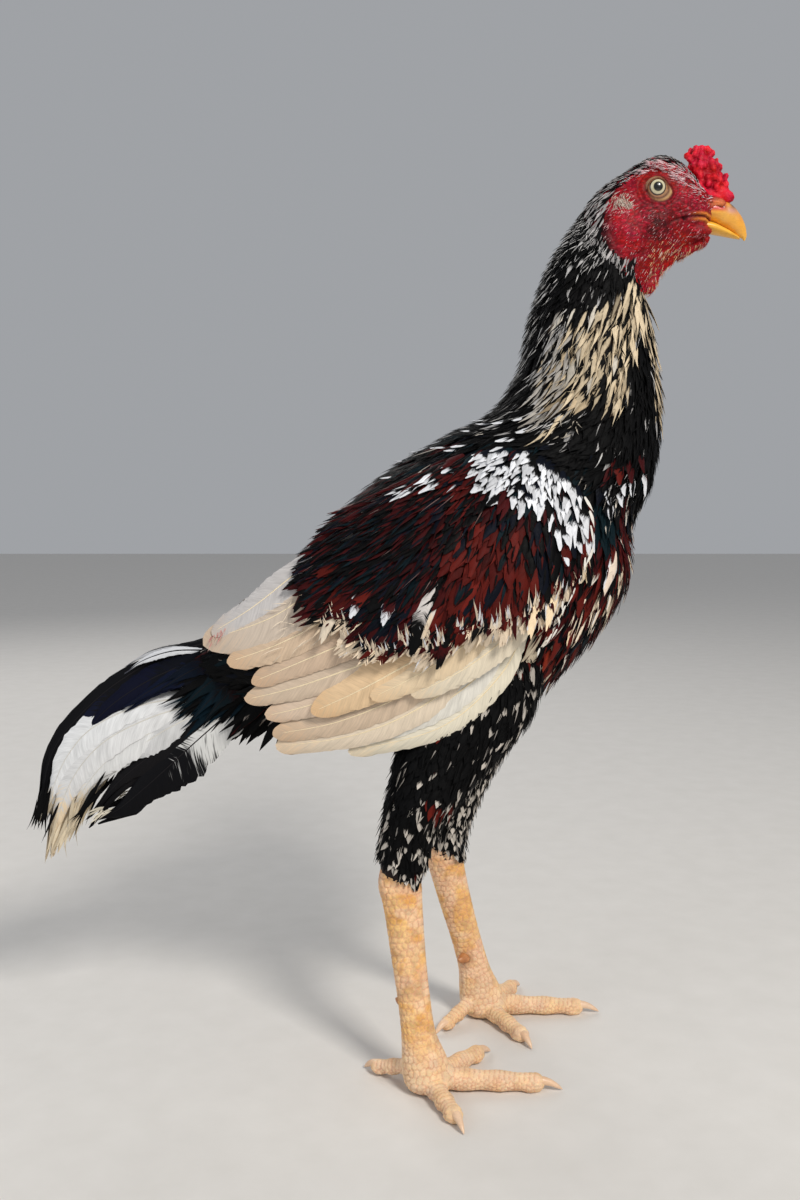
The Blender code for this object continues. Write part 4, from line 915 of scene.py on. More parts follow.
def head_skin():
    """Bare face, throat folds, lobes and comb as one skin with its colours."""
    shapes = [tube(HEAD, 50, 48)]
    for side in (-1, 1):
        y = side
        shapes += [ball((0.1580, y * 0.0116, 0.5545), (0.0140, 0.0070, 0.0125)),
                   ball((0.1640, y * 0.0120, 0.5645), (0.0150, 0.0044, 0.0034), lean=0.50),
                   ball((0.1520, y * 0.0128, 0.5360), (0.0185, 0.0092, 0.0150)),
                   ball((LOBE[0], y * 0.0168, LOBE[1]), (0.0145, 0.0062, 0.0145)),
                   ball((0.1750, y * 0.0096, 0.5450), (0.0125, 0.0062, 0.0070), lean=0.2),
                   ball((0.1790, y * 0.0082, 0.5325), (0.0140, 0.0050, 0.0050), lean=0.12),
                   ball((0.1925, y * 0.0050, 0.5490), (0.0080, 0.0046, 0.0050), lean=0.2),
                   ball((0.1958, y * 0.0062, 0.5488), (0.0058, 0.0036, 0.0034), lean=0.1),
                   lid_ring(side)]
        for turn in np.radians(np.arange(120, 322, 7)):
            size = 0.0023 + 0.0004 * math.sin(9 * turn)
            shapes.append(ball((LOBE[0] + 0.0124 * math.cos(turn), y * 0.0190, LOBE[1] + 0.0124 * math.sin(turn)),
                               (size, size, size), 6, 10))
    for i in range(24):
        share = (i + 0.5) / 24
        x, z = spline(DEWLAP_LINE, share)
        y = 0.0046 * math.sin(2.4 * i) * (0.6 + 0.4 * share)
        size = 0.0040 + 0.0009 * math.sin(1.7 * i)
        shapes.append(ball((x - 0.0006, y, z + 0.0010), (size * 1.15, size * 0.75, size), 8, 12))
    shapes += comb_shapes()
    verts, quads = remeshed(shapes, 0.00060)
    verts = eased(verts, quads, 3)
    n = normals(verts, quads)
    x, y, z = verts.T
    flat = np.stack([x, z], -1)
    turn, eye = eye_polar(x, z)
    outer = np.abs(y) > 0.010
    comb = step_up(1.50, 1.30, comb_measure(verts))
    comb = np.maximum(comb, step_up(0.0085, 0.0055, np.linalg.norm((verts - np.array([0.2015, 0.0, 0.5555])) * [1, 1, 1.3], axis=1)))
    pale_reach = np.interp(turn, PALE_TURNS, PALE_REACH)
    open_eye = step_up(0.0, 0.0012, eye - pale_reach)
    # Folds that ring the eye and run back over the cheek, pebbles everywhere, and lumps on the throat.
    ring = np.sin((eye - 0.0066) / 0.0024 * 2 * math.pi + 1.8 * noise(verts, 0.006, 4))
    ring_share = open_eye * step_up(0.0180, 0.0100, eye) * (1 - comb)
    first, second = cells(verts, 0.0015, 3)
    pebble = step_up(0.02, 0.5, second - first)
    warp = verts + 0.0012 * np.stack([noise(verts, 0.004, 5), noise(verts, 0.004, 6), noise(verts, 0.004, 7)], -1)
    first2, second2 = cells(warp * np.array([0.6, 1.0, 1.4]), 0.0026, 9)
    fold = step_up(0.0, 0.45, second2 - first2)
    lift = (0.00026 * ring * ring_share + 0.00024 * (pebble - 0.5) + 0.00034 * (fold - 0.5)
            + 0.0005 * noise(verts, 0.005, 8)) * open_eye * (1 - 0.2 * comb)
    lift = lift + 0.0006 * np.exp(-((eye - pale_reach - 0.0020) / 0.0009) ** 2) * outer
    crease = np.exp(-((eye - pale_reach - 0.0006) / 0.0006) ** 2) * outer
    lift = lift - 0.0006 * crease
    gap, share = nearest_on_line(flat, MOUTH_LINE)
    side_on = np.abs(y) > 0.004
    lift = lift - 0.0010 * np.exp(-(gap / 0.00070) ** 2) * step_up(0.0, 0.08, share) * side_on
    lips = np.exp(-((gap - 0.0016) / 0.0009) ** 2) * step_up(0.10, 0.30, share) * side_on
    lift = lift + 0.0005 * lips * (x < 0.200)
    pit = np.hypot(x - MOUTH_PIT[0], (z - MOUTH_PIT[1]) * 1.4)
    lift = lift - 0.0016 * np.exp(-(pit / 0.0013) ** 2) * side_on
    verts = verts + n * lift[:, None]

    def paint(colour, tone, share):
        share = np.clip(share, 0, 1)[:, None]
        return colour * (1 - share) + tone * share

    tone = noise(verts, 0.010, 12) * 0.5 + 0.5
    colour = paint(np.tile(RED, (len(verts), 1)), DEEP_RED, tone)
    cheek = np.exp(-(((x - 0.1560) / 0.0140) ** 2 + ((z - 0.5300) / 0.0100) ** 2))
    colour = paint(colour, srgb(120, 6, 22), 0.60 * cheek)
    murk = step_up(0.1, 0.7, noise(verts, 0.0042, 15))
    lore = np.exp(-(((x - 0.1830) / 0.0120) ** 2 + ((z - 0.5450) / 0.0050) ** 2))
    colour = paint(colour, srgb(176, 24, 62), 0.5 * lore)
    under = np.exp(-(((x - 0.1600) / 0.0160) ** 2 + ((z - 0.5440) / 0.0040) ** 2))
    colour = paint(colour, srgb(186, 22, 52), 0.5 * under)
    lobe = step_up(0.0165, 0.0120, np.hypot(x - LOBE[0], z - LOBE[1])) * outer
    colour = paint(colour, srgb(208, 16, 56), 0.7 * lobe)
    near = step_up(0.0150, 0.0095, eye) * step_up(-0.0040, 0.0040, z - EYE_CENTRE[2] + 0.4 * (x - EYE_CENTRE[0]))
    colour = paint(colour, srgb(178, 6, 24), 0.7 * near)
    # Painted highlight: pink on the tops of the pebbles below the eye, away from the fold grooves.
    pebble_highlight = step_up(0.0115, 0.0145, eye) * pebble ** 2 * (0.35 + 0.65 * fold)
    colour = paint(colour, srgb(222, 66, 104), 0.40 * pebble_highlight * step_up(0.520, 0.535, z))
    above = step_up(0.5650, 0.5730, z + 0.45 * np.maximum(x - 0.160, 0))
    colour = paint(colour, PINK_RED, 0.55 * above)
    throat = step_up(0.5330, 0.5210, z - 0.15 * (x - 0.16)) * step_up(0.145, 0.160, x)
    colour = paint(colour, SCARLET, 0.75 * throat)
    # Painted shade: the skin is darkened in the grooves between the folds and round the pebbles, more on the cheek and
    # under the eye.
    deep = 0.34 + 0.20 * np.minimum(cheek + under, 1)
    colour = colour * (1 - (deep * (1 - fold) + 0.28 * (1 - pebble)))[:, None]
    colour = colour * (1 - 0.30 * murk * np.minimum(1.2 * cheek + under, 1) - 0.22 * cheek)[:, None]
    colour = colour * np.array([0.86, 0.36, 0.50])
    back = step_up(0.1330, 0.1230, x + 0.25 * (z - 0.53))
    colour = paint(colour, BLACK, 0.8 * back)
    comb_tone = noise(verts, 0.003, 21) * 0.5 + 0.5
    # Painted shade and highlight on the comb: darker down between the bulbs and in the pebbles' grooves, with pink
    # highlights on the bulbs' tops.
    lit_bulb_tops = step_up(0.92, 1.12, comb_measure(verts))
    comb_colour = COMB_RED * (0.90 + 0.40 * comb_tone)[:, None] * (0.60 + 0.40 * lit_bulb_tops)[:, None] * (0.82 + 0.18 * pebble)[:, None]
    comb_colour = paint(comb_colour, srgb(226, 60, 84), 0.35 * lit_bulb_tops * comb_tone)
    colour = colour * (1 - comb[:, None]) + comb_colour * comb[:, None]
    pale = step_up(0.0007, -0.0003, eye - pale_reach) * outer
    far = step_up(0.0055, 0.0092, eye)
    colour = paint(colour, PALE_LID, pale * (0.55 + 0.45 * far))
    colour = paint(colour, srgb(168, 130, 88), 0.6 * pale * far)
    # Painted shade in the crease round the pale lid skin.
    colour = paint(colour, srgb(86, 8, 16), 0.85 * np.exp(-((eye - pale_reach - 0.0009) / 0.0006) ** 2) * outer)
    rim = np.exp(-((eye - np.interp(turn, LID_TURNS, LID_REACH)) / 0.0008) ** 2) * outer
    colour = paint(colour, srgb(70, 26, 18), 0.85 * rim)
    yellow = lips * step_up(0.12, 0.40, share) * (x < 0.202)
    colour = paint(colour, srgb(224, 138, 54), 0.80 * yellow * step_up(0.174, 0.188, x))
    horn = np.exp(-(((x - 0.1970) / 0.0055) ** 2 + ((z - 0.5365) / 0.0042) ** 2)) * side_on
    colour = paint(colour, srgb(222, 150, 66), 0.75 * horn * (gap > 0.0005))
    flap = np.exp(-(((x - 0.1960) / 0.0048) ** 2 + ((z - 0.5478) / 0.0026) ** 2)) * side_on
    colour = paint(colour, srgb(228, 128, 80), 0.80 * flap)
    slit = np.exp(-(((x - 0.1960) / 0.0030) ** 2 + ((z - 0.5457) / 0.0006) ** 2)) * side_on
    # Painted shade in the recesses: the mouth's groove, the pit at its corner and the nostril's slit are darkened.
    dark = 0.75 * np.exp(-(gap / 0.00055) ** 2) * step_up(0.03, 0.12, share) * side_on
    dark = np.maximum(dark, np.exp(-(pit / 0.0013) ** 2) * side_on)
    dark = np.maximum(dark, 0.85 * slit)
    colour = paint(colour, srgb(44, 5, 10), dark)
    return verts, quads, colour


def toe_path(side, name):
    """Centre points and half thicknesses of a toe, from inside the foot to its end."""
    (ex, ey), (cx, cy), half, root_height = TOES[side][name]
    fx, fy = FOOT[side]
    fx, fy = fx + (0.0 if name != "hind" else -0.002), fy
    points, radii = [], []
    for s in np.linspace(0, 1, 7):
        height = root_height + (0.0048 - root_height) * s
        if name == "hind":
            height = root_height + (0.0050 - root_height) * s ** 0.8
        knuckle = 1 + 0.07 * math.cos(s * 3 * 2 * math.pi)
        points.append((fx + (ex - fx) * s, fy + (ey - fy) * s, height + 0.0009 * math.sin(s * 3 * 2 * math.pi)))
        radii.append(half * (1.06 - 0.24 * s) * knuckle)
    return np.array(points), np.array(radii)


def leg_skin(side):
    """Shank, foot and toes as one skin, with scutes raised in it."""
    shank = Loft(limb_rows(SHANKS[side]))
    shapes = [tube(shank, 40, 32)]
    limbs = []
    centres = spline(shank.rows, np.linspace(0, 1, 16))
    limbs.append((centres[:, :3], np.linalg.norm(centres[:, 6:9], axis=1), 0))
    fx, fy = FOOT[side]
    shapes.append(ball((fx + 0.002, fy, 0.0085), (0.0165, 0.0160, 0.0085)))
    for name in TOES[side]:
        points, radii = toe_path(side, name)
        end = points[-1]
        shapes.append(path_tube(points, radii * 0.98, 18, 0.98))
        shapes.append(ball(end - (0, 0, 0.0002), (radii[-1] * 1.0,) * 3, 8, 12))
        for s in (0.40, 0.68, 0.95):
            at = spline(points, s)
            shapes.append(ball((at[0], at[1], at[2] - 0.0016), (radii[0] * 0.85, radii[0] * 0.85, radii[0] * 0.55)))
        limbs.append((points, radii, 1))
    verts, quads = remeshed(shapes, 0.00078)
    verts = eased(verts, quads, 4)
    verts[:, 2] = np.maximum(verts[:, 2], 0.0003)
    n = normals(verts, quads)
    best = np.full(len(verts), 1e9)
    lift = np.zeros(len(verts))
    shade = np.zeros(len(verts))
    for number, (line, radii, kind) in enumerate(limbs):
        gap, share = nearest_on_line(verts, line)
        radius = spline(radii[:, None], share)[:, 0]
        close = gap / radius
        ends = step_up(0.985, 0.998, share) if kind else 0.0 * share
        length = np.linalg.norm(np.diff(line, axis=0), axis=1).sum()
        run = share * length
        at = spline(line, share)
        ahead = unit(spline(line, np.clip(share + 0.02, 0, 1)) - spline(line, np.clip(share - 0.02, 0, 1)))
        front = np.array([1.0, 0, 0]) if kind == 0 else np.array([0, 0, 1.0])
        front = unit(front - dot(ahead, front) * ahead)
        cross = np.cross(ahead, front)
        off = verts - at
        angle = np.arctan2(np.sum(off * cross, 1), np.sum(off * front, 1))
        arc = angle * radius
        height, tone = scutes(run, arc, radius, kind, length, number + 10 * (side + 1))
        tone = np.maximum(tone, ends)
        near = close < best
        best = np.where(near, close, best)
        lift = np.where(near, height, lift)
        shade = np.where(near, tone, shade)
    low = step_up(0.0006, 0.0040, verts[:, 2])
    verts = verts + n * (lift * low)[:, None]
    verts[:, 2] = np.maximum(verts[:, 2], 0.0)
    z = verts[:, 2]
    warm = noise(verts, 0.022, 31)[:, None] * 0.5 + 0.5
    plate = srgb(238, 190, 118) * warm + srgb(240, 200, 160) * (1 - warm)
    plate = plate * (1 - 0.35 * step_up(0.10, 0.16, z)[:, None]) + srgb(226, 160, 120) * 0.35 * step_up(0.10, 0.16, z)[:, None]
    spot = (noise(verts, 0.006, 33) > 0.35)[:, None] * 0.35
    plate = plate * (1 - spot) + srgb(228, 158, 70) * spot
    gold = step_up(-0.1, 0.5, noise(verts, 0.006, 35))[:, None] * 0.50
    plate = plate * (1 - gold) + srgb(228, 162, 72) * gold
    pink = step_up(-0.1, 0.4, noise(verts, 0.007, 37))[:, None] * 0.48
    plate = plate * (1 - pink) + srgb(242, 206, 180) * pink
    plate = plate * (1 - 0.20 * step_up(0.1, 0.6, noise(verts, 0.0045, 39))[:, None])
    low_down = step_up(0.045, 0.018, z)[:, None] * 0.55
    plate = plate * (1 - low_down) + srgb(244, 214, 180) * low_down
    groove = srgb(216, 160, 128)
    colour = plate * shade[:, None] + groove * (1 - shade[:, None])
    if side == 1:
        bud = np.linalg.norm(verts - np.array([0.0465, 0.0385, 0.0455]), axis=1)
        spot = np.exp(-(bud / 0.0036) ** 2)[:, None]
        colour = colour * (1 - spot) + srgb(120, 66, 30) * spot
    return verts, quads, colour


def scutes(run, arc, radius, kind, length, seed):
    """Height and evenness of the scales: large plates in front or on top, small ones at the sides and back."""
    points = []
    rng = np.random.default_rng(100 + seed)
    widest = float(radius.max())
    if kind == 0:
        pitch = 0.0049
        for i in range(-1, int(length / pitch) + 2):
            for column, shift in ((-0.0034, 0.0), (0.0034, 0.5)):
                points.append(((i + shift) * pitch, column))
        small = 0.0040
        for i in range(-1, int(length / small) + 2):
            for j in range(-10, 11):
                across = (j + 0.5 * (i % 2)) * small
                if 0.0070 < abs(across) < math.pi * widest + small:
                    points.append((i * small + rng.normal(0, 0.0006), across + rng.normal(0, 0.0006)))
    else:
        pitch = 0.0031
        for i in range(-1, int(length / pitch) + 2):
            for across in (-0.0036, 0.0, 0.0036):
                points.append((i * pitch + 0.2 * abs(across), across))
        small = 0.0026
        for i in range(-1, int(length / small) + 2):
            for j in range(-10, 11):
                across = (j + 0.5 * (i % 2)) * small
                if 0.0062 < abs(across) < math.pi * widest + small:
                    points.append((i * small + rng.normal(0, 0.0005), across + rng.normal(0, 0.0005)))
    points = np.array(points)
    where = np.stack([run, arc], -1)
    first = np.full(len(run), 9.0)
    second = first.copy()
    for block in np.array_split(np.arange(len(points)), max(1, len(points) // 60)):
        d = np.linalg.norm(where[:, None] - points[block][None], axis=-1)
        for k in range(d.shape[1]):
            second = np.minimum(np.maximum(first, d[:, k]), second)
            first = np.minimum(first, d[:, k])
    edge = second - first
    if kind:
        # Plates on the toes' upper side reach right across.
        rows = np.abs(((run + 0.00072 * np.minimum(np.abs(arc) / 0.0036, 1)) / 0.0031 + 0.5) % 1.0 - 0.5)
        top = step_up(0.0062, 0.0050, np.abs(arc))
        edge = edge * (1 - top) + top * 0.0062 * (0.5 - rows)
    height = 0.00070 * step_up(0.0, 0.0011, edge) - 0.0002
    return height, 0.25 + 0.75 * step_up(0.0, 0.0009, edge)


def wing_core():
    """The folded wing's own flesh under its feathers, as a thin closed plate with an arched face."""
    outline = np.array(((0.104, 0.356), (0.100, 0.334), (0.084, 0.308), (0.060, 0.294), (0.034, 0.286),
                        (0.008, 0.279), (-0.020, 0.280), (-0.042, 0.290), (-0.056, 0.304), (-0.066, 0.314),
                        (-0.050, 0.331), (-0.005, 0.361), (0.038, 0.384), (0.070, 0.392), (0.094, 0.382)))
    outline = spline(np.vstack([outline, outline[:1]]), np.linspace(0, 1, 61)[:-1])
    middle = np.array([0.030, 0.335])
    rings = []
    for scale, deep in ((0.0, 0.0028), (0.3, 0.0028), (0.6, 0.0030), (0.85, 0.0034), (0.96, 0.0048), (1.0, 0.0070),
                        (0.96, 0.0100), (0.7, 0.0130), (0.3, 0.0140), (0.0, 0.0140)):
        flat = middle + (outline - middle) * max(scale, 0.02)
        x, z = flat[:, 0], flat[:, 1]
        rings.append(WING.raw(x, z) - WING.normal(x, z) * deep)
    verts = np.concatenate(rings)
    sides = len(outline)
    faces = grid_faces(len(rings), sides)
    faces += [tuple(reversed(range(sides))), tuple((len(rings) - 1) * sides + j for j in range(sides))]
    return verts, faces


def body_colour(points):
    """Down under the coat: dark, with the coat's red showing in places."""
    tone = noise(points, 0.02, 41)[:, None] * 0.5 + 0.5
    dark = BLACK * (1 - 0.4 * tone) + MAROON * 0.35 * tone
    return dark


def build_skin(material):
    """One skin for head, neck, trunk, wings' flesh, thighs, shanks and feet."""
    parts = [head_skin(), leg_skin(-1), leg_skin(1)]
    trunk = Loft(body_rows(BODY_SECTIONS))
    shapes = [tube(trunk, 60, 40, 0.0, 1.0, -COAT_DEPTH)]
    core = wing_core()
    shapes += [core, mirror(core)]
    for side in (-1, 1):
        shapes.append(tube(THIGH[side], 30, 28, 0.0, 1.0, -0.0022))
    verts, quads = remeshed(shapes, 0.0026)
    verts = eased(verts, quads, 2)
    parts.append((verts, quads, body_colour(verts)))
    verts, quads, colours, start = [], [], [], 0
    for v, q, c in parts:
        verts.append(v)
        quads.append(q + start)
        colours.append(np.concatenate([c, np.ones((len(c), 1))], 1))
        start += len(v)
    obj = mesh_object("skin", np.concatenate(verts), np.concatenate(quads), material,
                      colours={"skin_colour": np.concatenate(colours)})
    nodes = ["head", "comb", "dewlap", "neck", "torso"]
    for side in ("right", "left"):
        nodes += [f"earlobe_{side}", f"thigh_{side}", f"shank_{side}"]
        nodes += [f"toe_{side}_{toe}" for toe in ("inner", "middle", "outer", "hind")]
    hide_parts(*nodes)
    return obj, parts


# Horn and eyes

def finer(name, loft, material, colour, node, rings=48, sides=32, carve=None):
    a = np.repeat(np.linspace(0, 1, rings), sides)
    b = np.tile(np.linspace(0, 2 * math.pi, sides, endpoint=False), rings)
    verts = loft.raw(a, b)
    if carve is not None:
        verts = verts + carve(verts, loft.normal(a, b))
    tip = verts[-sides:].mean(0)
    root = verts[:sides].mean(0)
    verts = np.concatenate([verts, [root, tip]])
    quads = np.array(grid_faces(rings, sides))
    tris = [(q[0], q[1], q[2]) for q in quads] + [(q[0], q[2], q[3]) for q in quads]
    root_i, tip_i = rings * sides, rings * sides + 1
    for j in range(sides):
        k = (j + 1) % sides
        tris.append((root_i, k, j))
        tris.append((tip_i, (rings - 1) * sides + j, (rings - 1) * sides + k))
    tris = np.array(tris)
    tris = outward(verts, tris)
    obj = mesh_object(name, verts, tris, material,
                      colours={"skin_colour": np.concatenate([colour(verts), np.ones((len(verts), 1))], 1)})
    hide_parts(node)
    return obj


def outward(verts, tris):
    """The same triangles facing out of a closed surface."""
    p, q, r = verts[tris[:, 0]], verts[tris[:, 1]], verts[tris[:, 2]]
    return tris if np.sum(np.cross(p, q) * r) > 0 else tris[:, ::-1]


def joined(shapes):
    verts, tris, start = [], [], 0
    for v, f in shapes:
        own = []
        for face in f:
            own += [(face[0], face[i], face[i + 1]) for i in range(1, len(face) - 1)]
        own = outward(v, np.array(own))
        verts.append(v)
        tris.append(own + start)
        start += len(v)
    return np.concatenate(verts), np.concatenate(tris)


UPPER_BEAK = (((0.1860, 0.5500), (0.1850, 0.5392), 0.0088), ((0.1965, 0.5512), (0.1940, 0.5380), 0.0080),
              ((0.2052, 0.5498), (0.2010, 0.5354), 0.0064), ((0.2114, 0.5438), (0.2062, 0.5326), 0.0049),
              ((0.2151, 0.5372), (0.2100, 0.5302), 0.0034), ((0.2165, 0.5312), (0.2135, 0.5284), 0.0018),
              ((0.2160, 0.5276), (0.2150, 0.5268), 0.0005))
LOWER_BEAK = (((0.1850, 0.5392), (0.1850, 0.5328), 0.0080), ((0.1940, 0.5382), (0.1945, 0.5312), 0.0072),
              ((0.2005, 0.5356), (0.2030, 0.5296), 0.0056), ((0.2060, 0.5328), (0.2085, 0.5285), 0.0038),
              ((0.2108, 0.5302), (0.2122, 0.5278), 0.0018))


def beak_colour(verts):
    x, y, z = verts.T

    def paint(colour, tone, share):
        share = np.clip(share, 0, 1)[:, None]
        return colour * (1 - share) + tone * share

    tone = noise(verts, 0.004, 51) * 0.5 + 0.5
    colour = paint(np.tile(srgb(226, 154, 40), (len(verts), 1)), srgb(236, 184, 84), 0.6 * tone)
    low = step_up(0.0020, -0.0030, z - 0.5340 + 0.5 * (x - 0.205))
    colour = paint(colour, srgb(238, 178, 40), 0.5 * low)
    ridge = np.exp(-(((x - 0.2125) / 0.0050) ** 2 + ((z - 0.5430) / 0.0050) ** 2))
    colour = paint(colour, srgb(196, 120, 70), 0.5 * ridge)
    mauve = np.exp(-(((x - 0.2055) / 0.0042) ** 2 + ((z - 0.5445) / 0.0022) ** 2))
    colour = paint(colour, srgb(196, 140, 138), 0.8 * mauve)
    grey = np.exp(-(((x - 0.2072) / 0.0026) ** 2 + ((z - 0.5485) / 0.0030) ** 2))
    colour = paint(colour, srgb(74, 52, 56), 1.1 * grey)
    cere = step_up(0.2040, 0.1990, x) * step_up(0.5425, 0.5450, z)
    colour = paint(colour, srgb(196, 40, 62), 0.9 * cere)
    # Painted shade in the nostril's opening.
    slit = np.exp(-(((x - 0.1990) / 0.0022) ** 2 + ((z - 0.5462) / 0.0006) ** 2)) * (np.abs(y) > 0.003)
    colour = paint(colour, srgb(60, 14, 18), 0.85 * slit)
    return colour


def beak_carve(verts, n):
    x, y, z = verts.T
    side_on = np.abs(y) > 0.003
    hole = np.exp(-(((x - 0.1990) / 0.0022) ** 2 + ((z - 0.5462) / 0.0007) ** 2)) * side_on
    flap = np.exp(-(((x - 0.1985) / 0.0030) ** 2 + ((z - 0.5484) / 0.0018) ** 2)) * side_on
    step = step_up(0.2030, 0.2005, x + 0.25 * (z - 0.545)) * step_up(0.5405, 0.5430, z)
    return n * (0.0009 * flap - 0.0011 * hole + 0.0005 * step + 0.00012 * noise(verts, 0.0022, 55))[:, None]


def build_beak(material):
    upper = finer("beak_upper_horn", Loft(body_rows(UPPER_BEAK)), material, beak_colour, "beak_upper", 90, 56,
                  beak_carve)
    lower = finer("beak_lower_horn", Loft(body_rows(LOWER_BEAK)), material,
                  lambda v: beak_colour(v), "beak_lower", 60, 40)
    return upper, lower


def build_eyes(material):
    for side, word in ((-1, "right"), (1, "left")):
        verts, faces = ball((0, 0, 0), (EYE_RADIUS,) * 3, 48, 72)
        verts = np.stack([verts[:, 0], verts[:, 2], verts[:, 1]], -1)
        bulge = 0.0004 * np.exp(-((np.hypot(verts[:, 0], verts[:, 2]) / 0.0035) ** 2)) * (side * verts[:, 1] > 0)
        verts[:, 1] += side * bulge
        where = np.stack([verts[:, 0] * 1000, verts[:, 2] * 1000, np.zeros(len(verts)), np.ones(len(verts))], -1)
        verts = verts + np.array([EYE_CENTRE[0], side * EYE_CENTRE[1], EYE_CENTRE[2]])
        tris = []
        for f in faces:
            tris += [(f[0], f[i], f[i + 1]) for i in range(1, len(f) - 1)]
        obj = mesh_object(f"eyeball_{word}", verts, outward(verts, np.array(tris)), material,
                          colours={"eye_place": where})
        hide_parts(f"eye_{word}")


def claw_shape(side, name):
    (ex, ey), (cx, cy), half, _ = TOES[side][name]
    fx, fy = FOOT[side]
    way = np.array([ex - fx, ey - fy])
    way = way / np.hypot(*way)
    start = np.array([ex, ey]) - way * 0.0015
    end = np.array([cx, cy])
    points, radii = [], []
    for s in np.linspace(0, 1, 8):
        flat = start + (end - start) * s
        z = 0.0056 + 0.0016 * math.sin(s * math.pi) - 0.0046 * s ** 1.6
        points.append((flat[0], flat[1], max(z, 0.0009)))
        radii.append(0.0033 * (1 - s) ** 0.55 * (1 - 0.12 * s) + 0.00022)
    radii[0] = 0.0026
    line = path_tube(points, radii, 18, 1.0, 40)
    return line


def claw_colour(verts):
    tone = noise(verts, 0.005, 61)[:, None] * 0.5 + 0.5
    return srgb(226, 184, 146) * (1 - tone) + srgb(238, 206, 176) * tone


def build_claws(material):
    for side, word in ((-1, "right"), (1, "left")):
        for name in TOES[side]:
            verts, tris = joined([claw_shape(side, name)])
            verts[:, 2] = np.maximum(verts[:, 2], 0.0)
            obj = mesh_object(f"claw_{word}_{name}_horn", verts, tris, material,
                              colours={"skin_colour": np.concatenate([claw_colour(verts), np.ones((len(verts), 1))], 1)})
            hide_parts(f"claw_{word}_{name}")
        root, tip, radius = SPURS[side]
        root, tip = np.array(root), np.array(tip)
        points = [root + (tip - root) * s for s in np.linspace(-0.3, 0.80, 6)]
        radii = [radius * share for share in (0.84, 0.82, 0.76, 0.66, 0.50, 0.15)]
        verts, tris = joined([path_tube(points, radii, 20, 1.0, 30)])
        tone = noise(verts, 0.003, 63)[:, None] * 0.5 + 0.5
        colour = srgb(168, 104, 56) * tone + srgb(206, 146, 96) * (1 - tone)
        obj = mesh_object(f"spur_{word}_horn", verts, tris, material,
                          colours={"skin_colour": np.concatenate([colour, np.ones((len(verts), 1))], 1)})
        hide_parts(f"spur_{word}")


# Coat

def scatter(surface, low, high, spacing, seed, tries, keep=None):
    """Evenly spread places on a surface: no two nearer than the spacing wanted there."""
    rng = np.random.default_rng(seed)
    a = rng.uniform(low[0], high[0], tries)
    b = rng.uniform(low[1], high[1], tries)
    p = surface.raw(a, b)
    gap = np.broadcast_to(spacing(p, a, b), tries)
    good = np.ones(tries, bool) if keep is None else keep(p, a, b)
    cell = float(gap[good].max()) if good.any() else 1.0
    keys = np.floor(p / cell).astype(int)
    boxes = {}
    chosen = []
    for i in np.nonzero(good)[0]:
        kx, ky, kz = keys[i]
        near = False
        limit = gap[i] ** 2
        for x in (kx - 1, kx, kx + 1):
            for y in (ky - 1, ky, ky + 1):
                for z in (kz - 1, kz, kz + 1):
                    for q in boxes.get((x, y, z), ()):
                        if (q[0] - p[i, 0]) ** 2 + (q[1] - p[i, 1]) ** 2 + (q[2] - p[i, 2]) ** 2 < limit:
                            near = True
                            break
                    if near:
                        break
                if near:
                    break
            if near:
                break
        if not near:
            boxes.setdefault((kx, ky, kz), []).append(p[i])
            chosen.append(i)
    return a[chosen], b[chosen], p[chosen]


def with_grain(surface, a, b):
    return surface.along(a, b)


def leaf(points, fullness=0.5, tip=0.0, root=0.35):
    """Half width along a feather: from a narrow root to its fullest place and in to the tip."""
    u = np.linspace(0, 1, points)
    rise = step_up(-0.05, fullness, u)
    fall = 1 - (1 - tip) * step_up(fullness, 1.06, u)
    return np.maximum(root + (1 - root) * rise, 0.0) * fall


def pick(rng, weights, colours):
    """One of several colours for each feather by weights, N x K."""
    weights = np.maximum(np.asarray(weights, float), 1e-9)
    edges = np.cumsum(weights / weights.sum(1, keepdims=True), 1)
    choice = (rng.random(len(weights))[:, None] > edges).sum(1)
    choice = np.minimum(choice, len(colours) - 1)
    return np.array(colours)[choice], choice


def look_of(rng, base, tip, tip_start, edge_start, soft, reach, uv, vary=0.15):
    n = len(reach)
    bright = 1 + vary * rng.normal(0, 1, (n, 1))
    base = np.clip(np.broadcast_to(base, (n, 3)) * np.clip(bright, 0.4, 1.8), 0, 1)
    tip = np.clip(np.broadcast_to(tip, (n, 3)) * np.clip(1 + 0.6 * (bright - 1), 0.5, 1.4), 0, 1)
    one = np.ones((n, 1))
    mark = np.stack([np.broadcast_to(x, n) for x in (tip_start, edge_start, soft, np.ones(n))], -1)
    return {"base": np.concatenate([base, one], 1), "tip": np.concatenate([tip, one], 1), "mark": mark,
            "seed": rng.random(n), "reach": reach, "uv": uv}


def loft_uv(a, b):
    return np.stack([0.02 + 0.96 * np.clip(a, 0, 1), 0.02 + 0.96 * ((b / (2 * math.pi)) % 1.0)], -1)


def wing_uv(x, z):
    """Unwrap of the wing's face by its own long axis and height."""
    (x0, z0), _ = WING_AXIS
    way = WING.way
    along = (x - x0) * way[0] + (z - z0) * way[1]
    return np.stack([np.clip(0.1 + along / 0.30, 0.01, 0.99), np.clip(0.5 + WING.height(x, z) / 0.30, 0.01, 0.99)], -1)


def band(x, centre, width):
    return np.exp(-((x - centre) / width) ** 2)


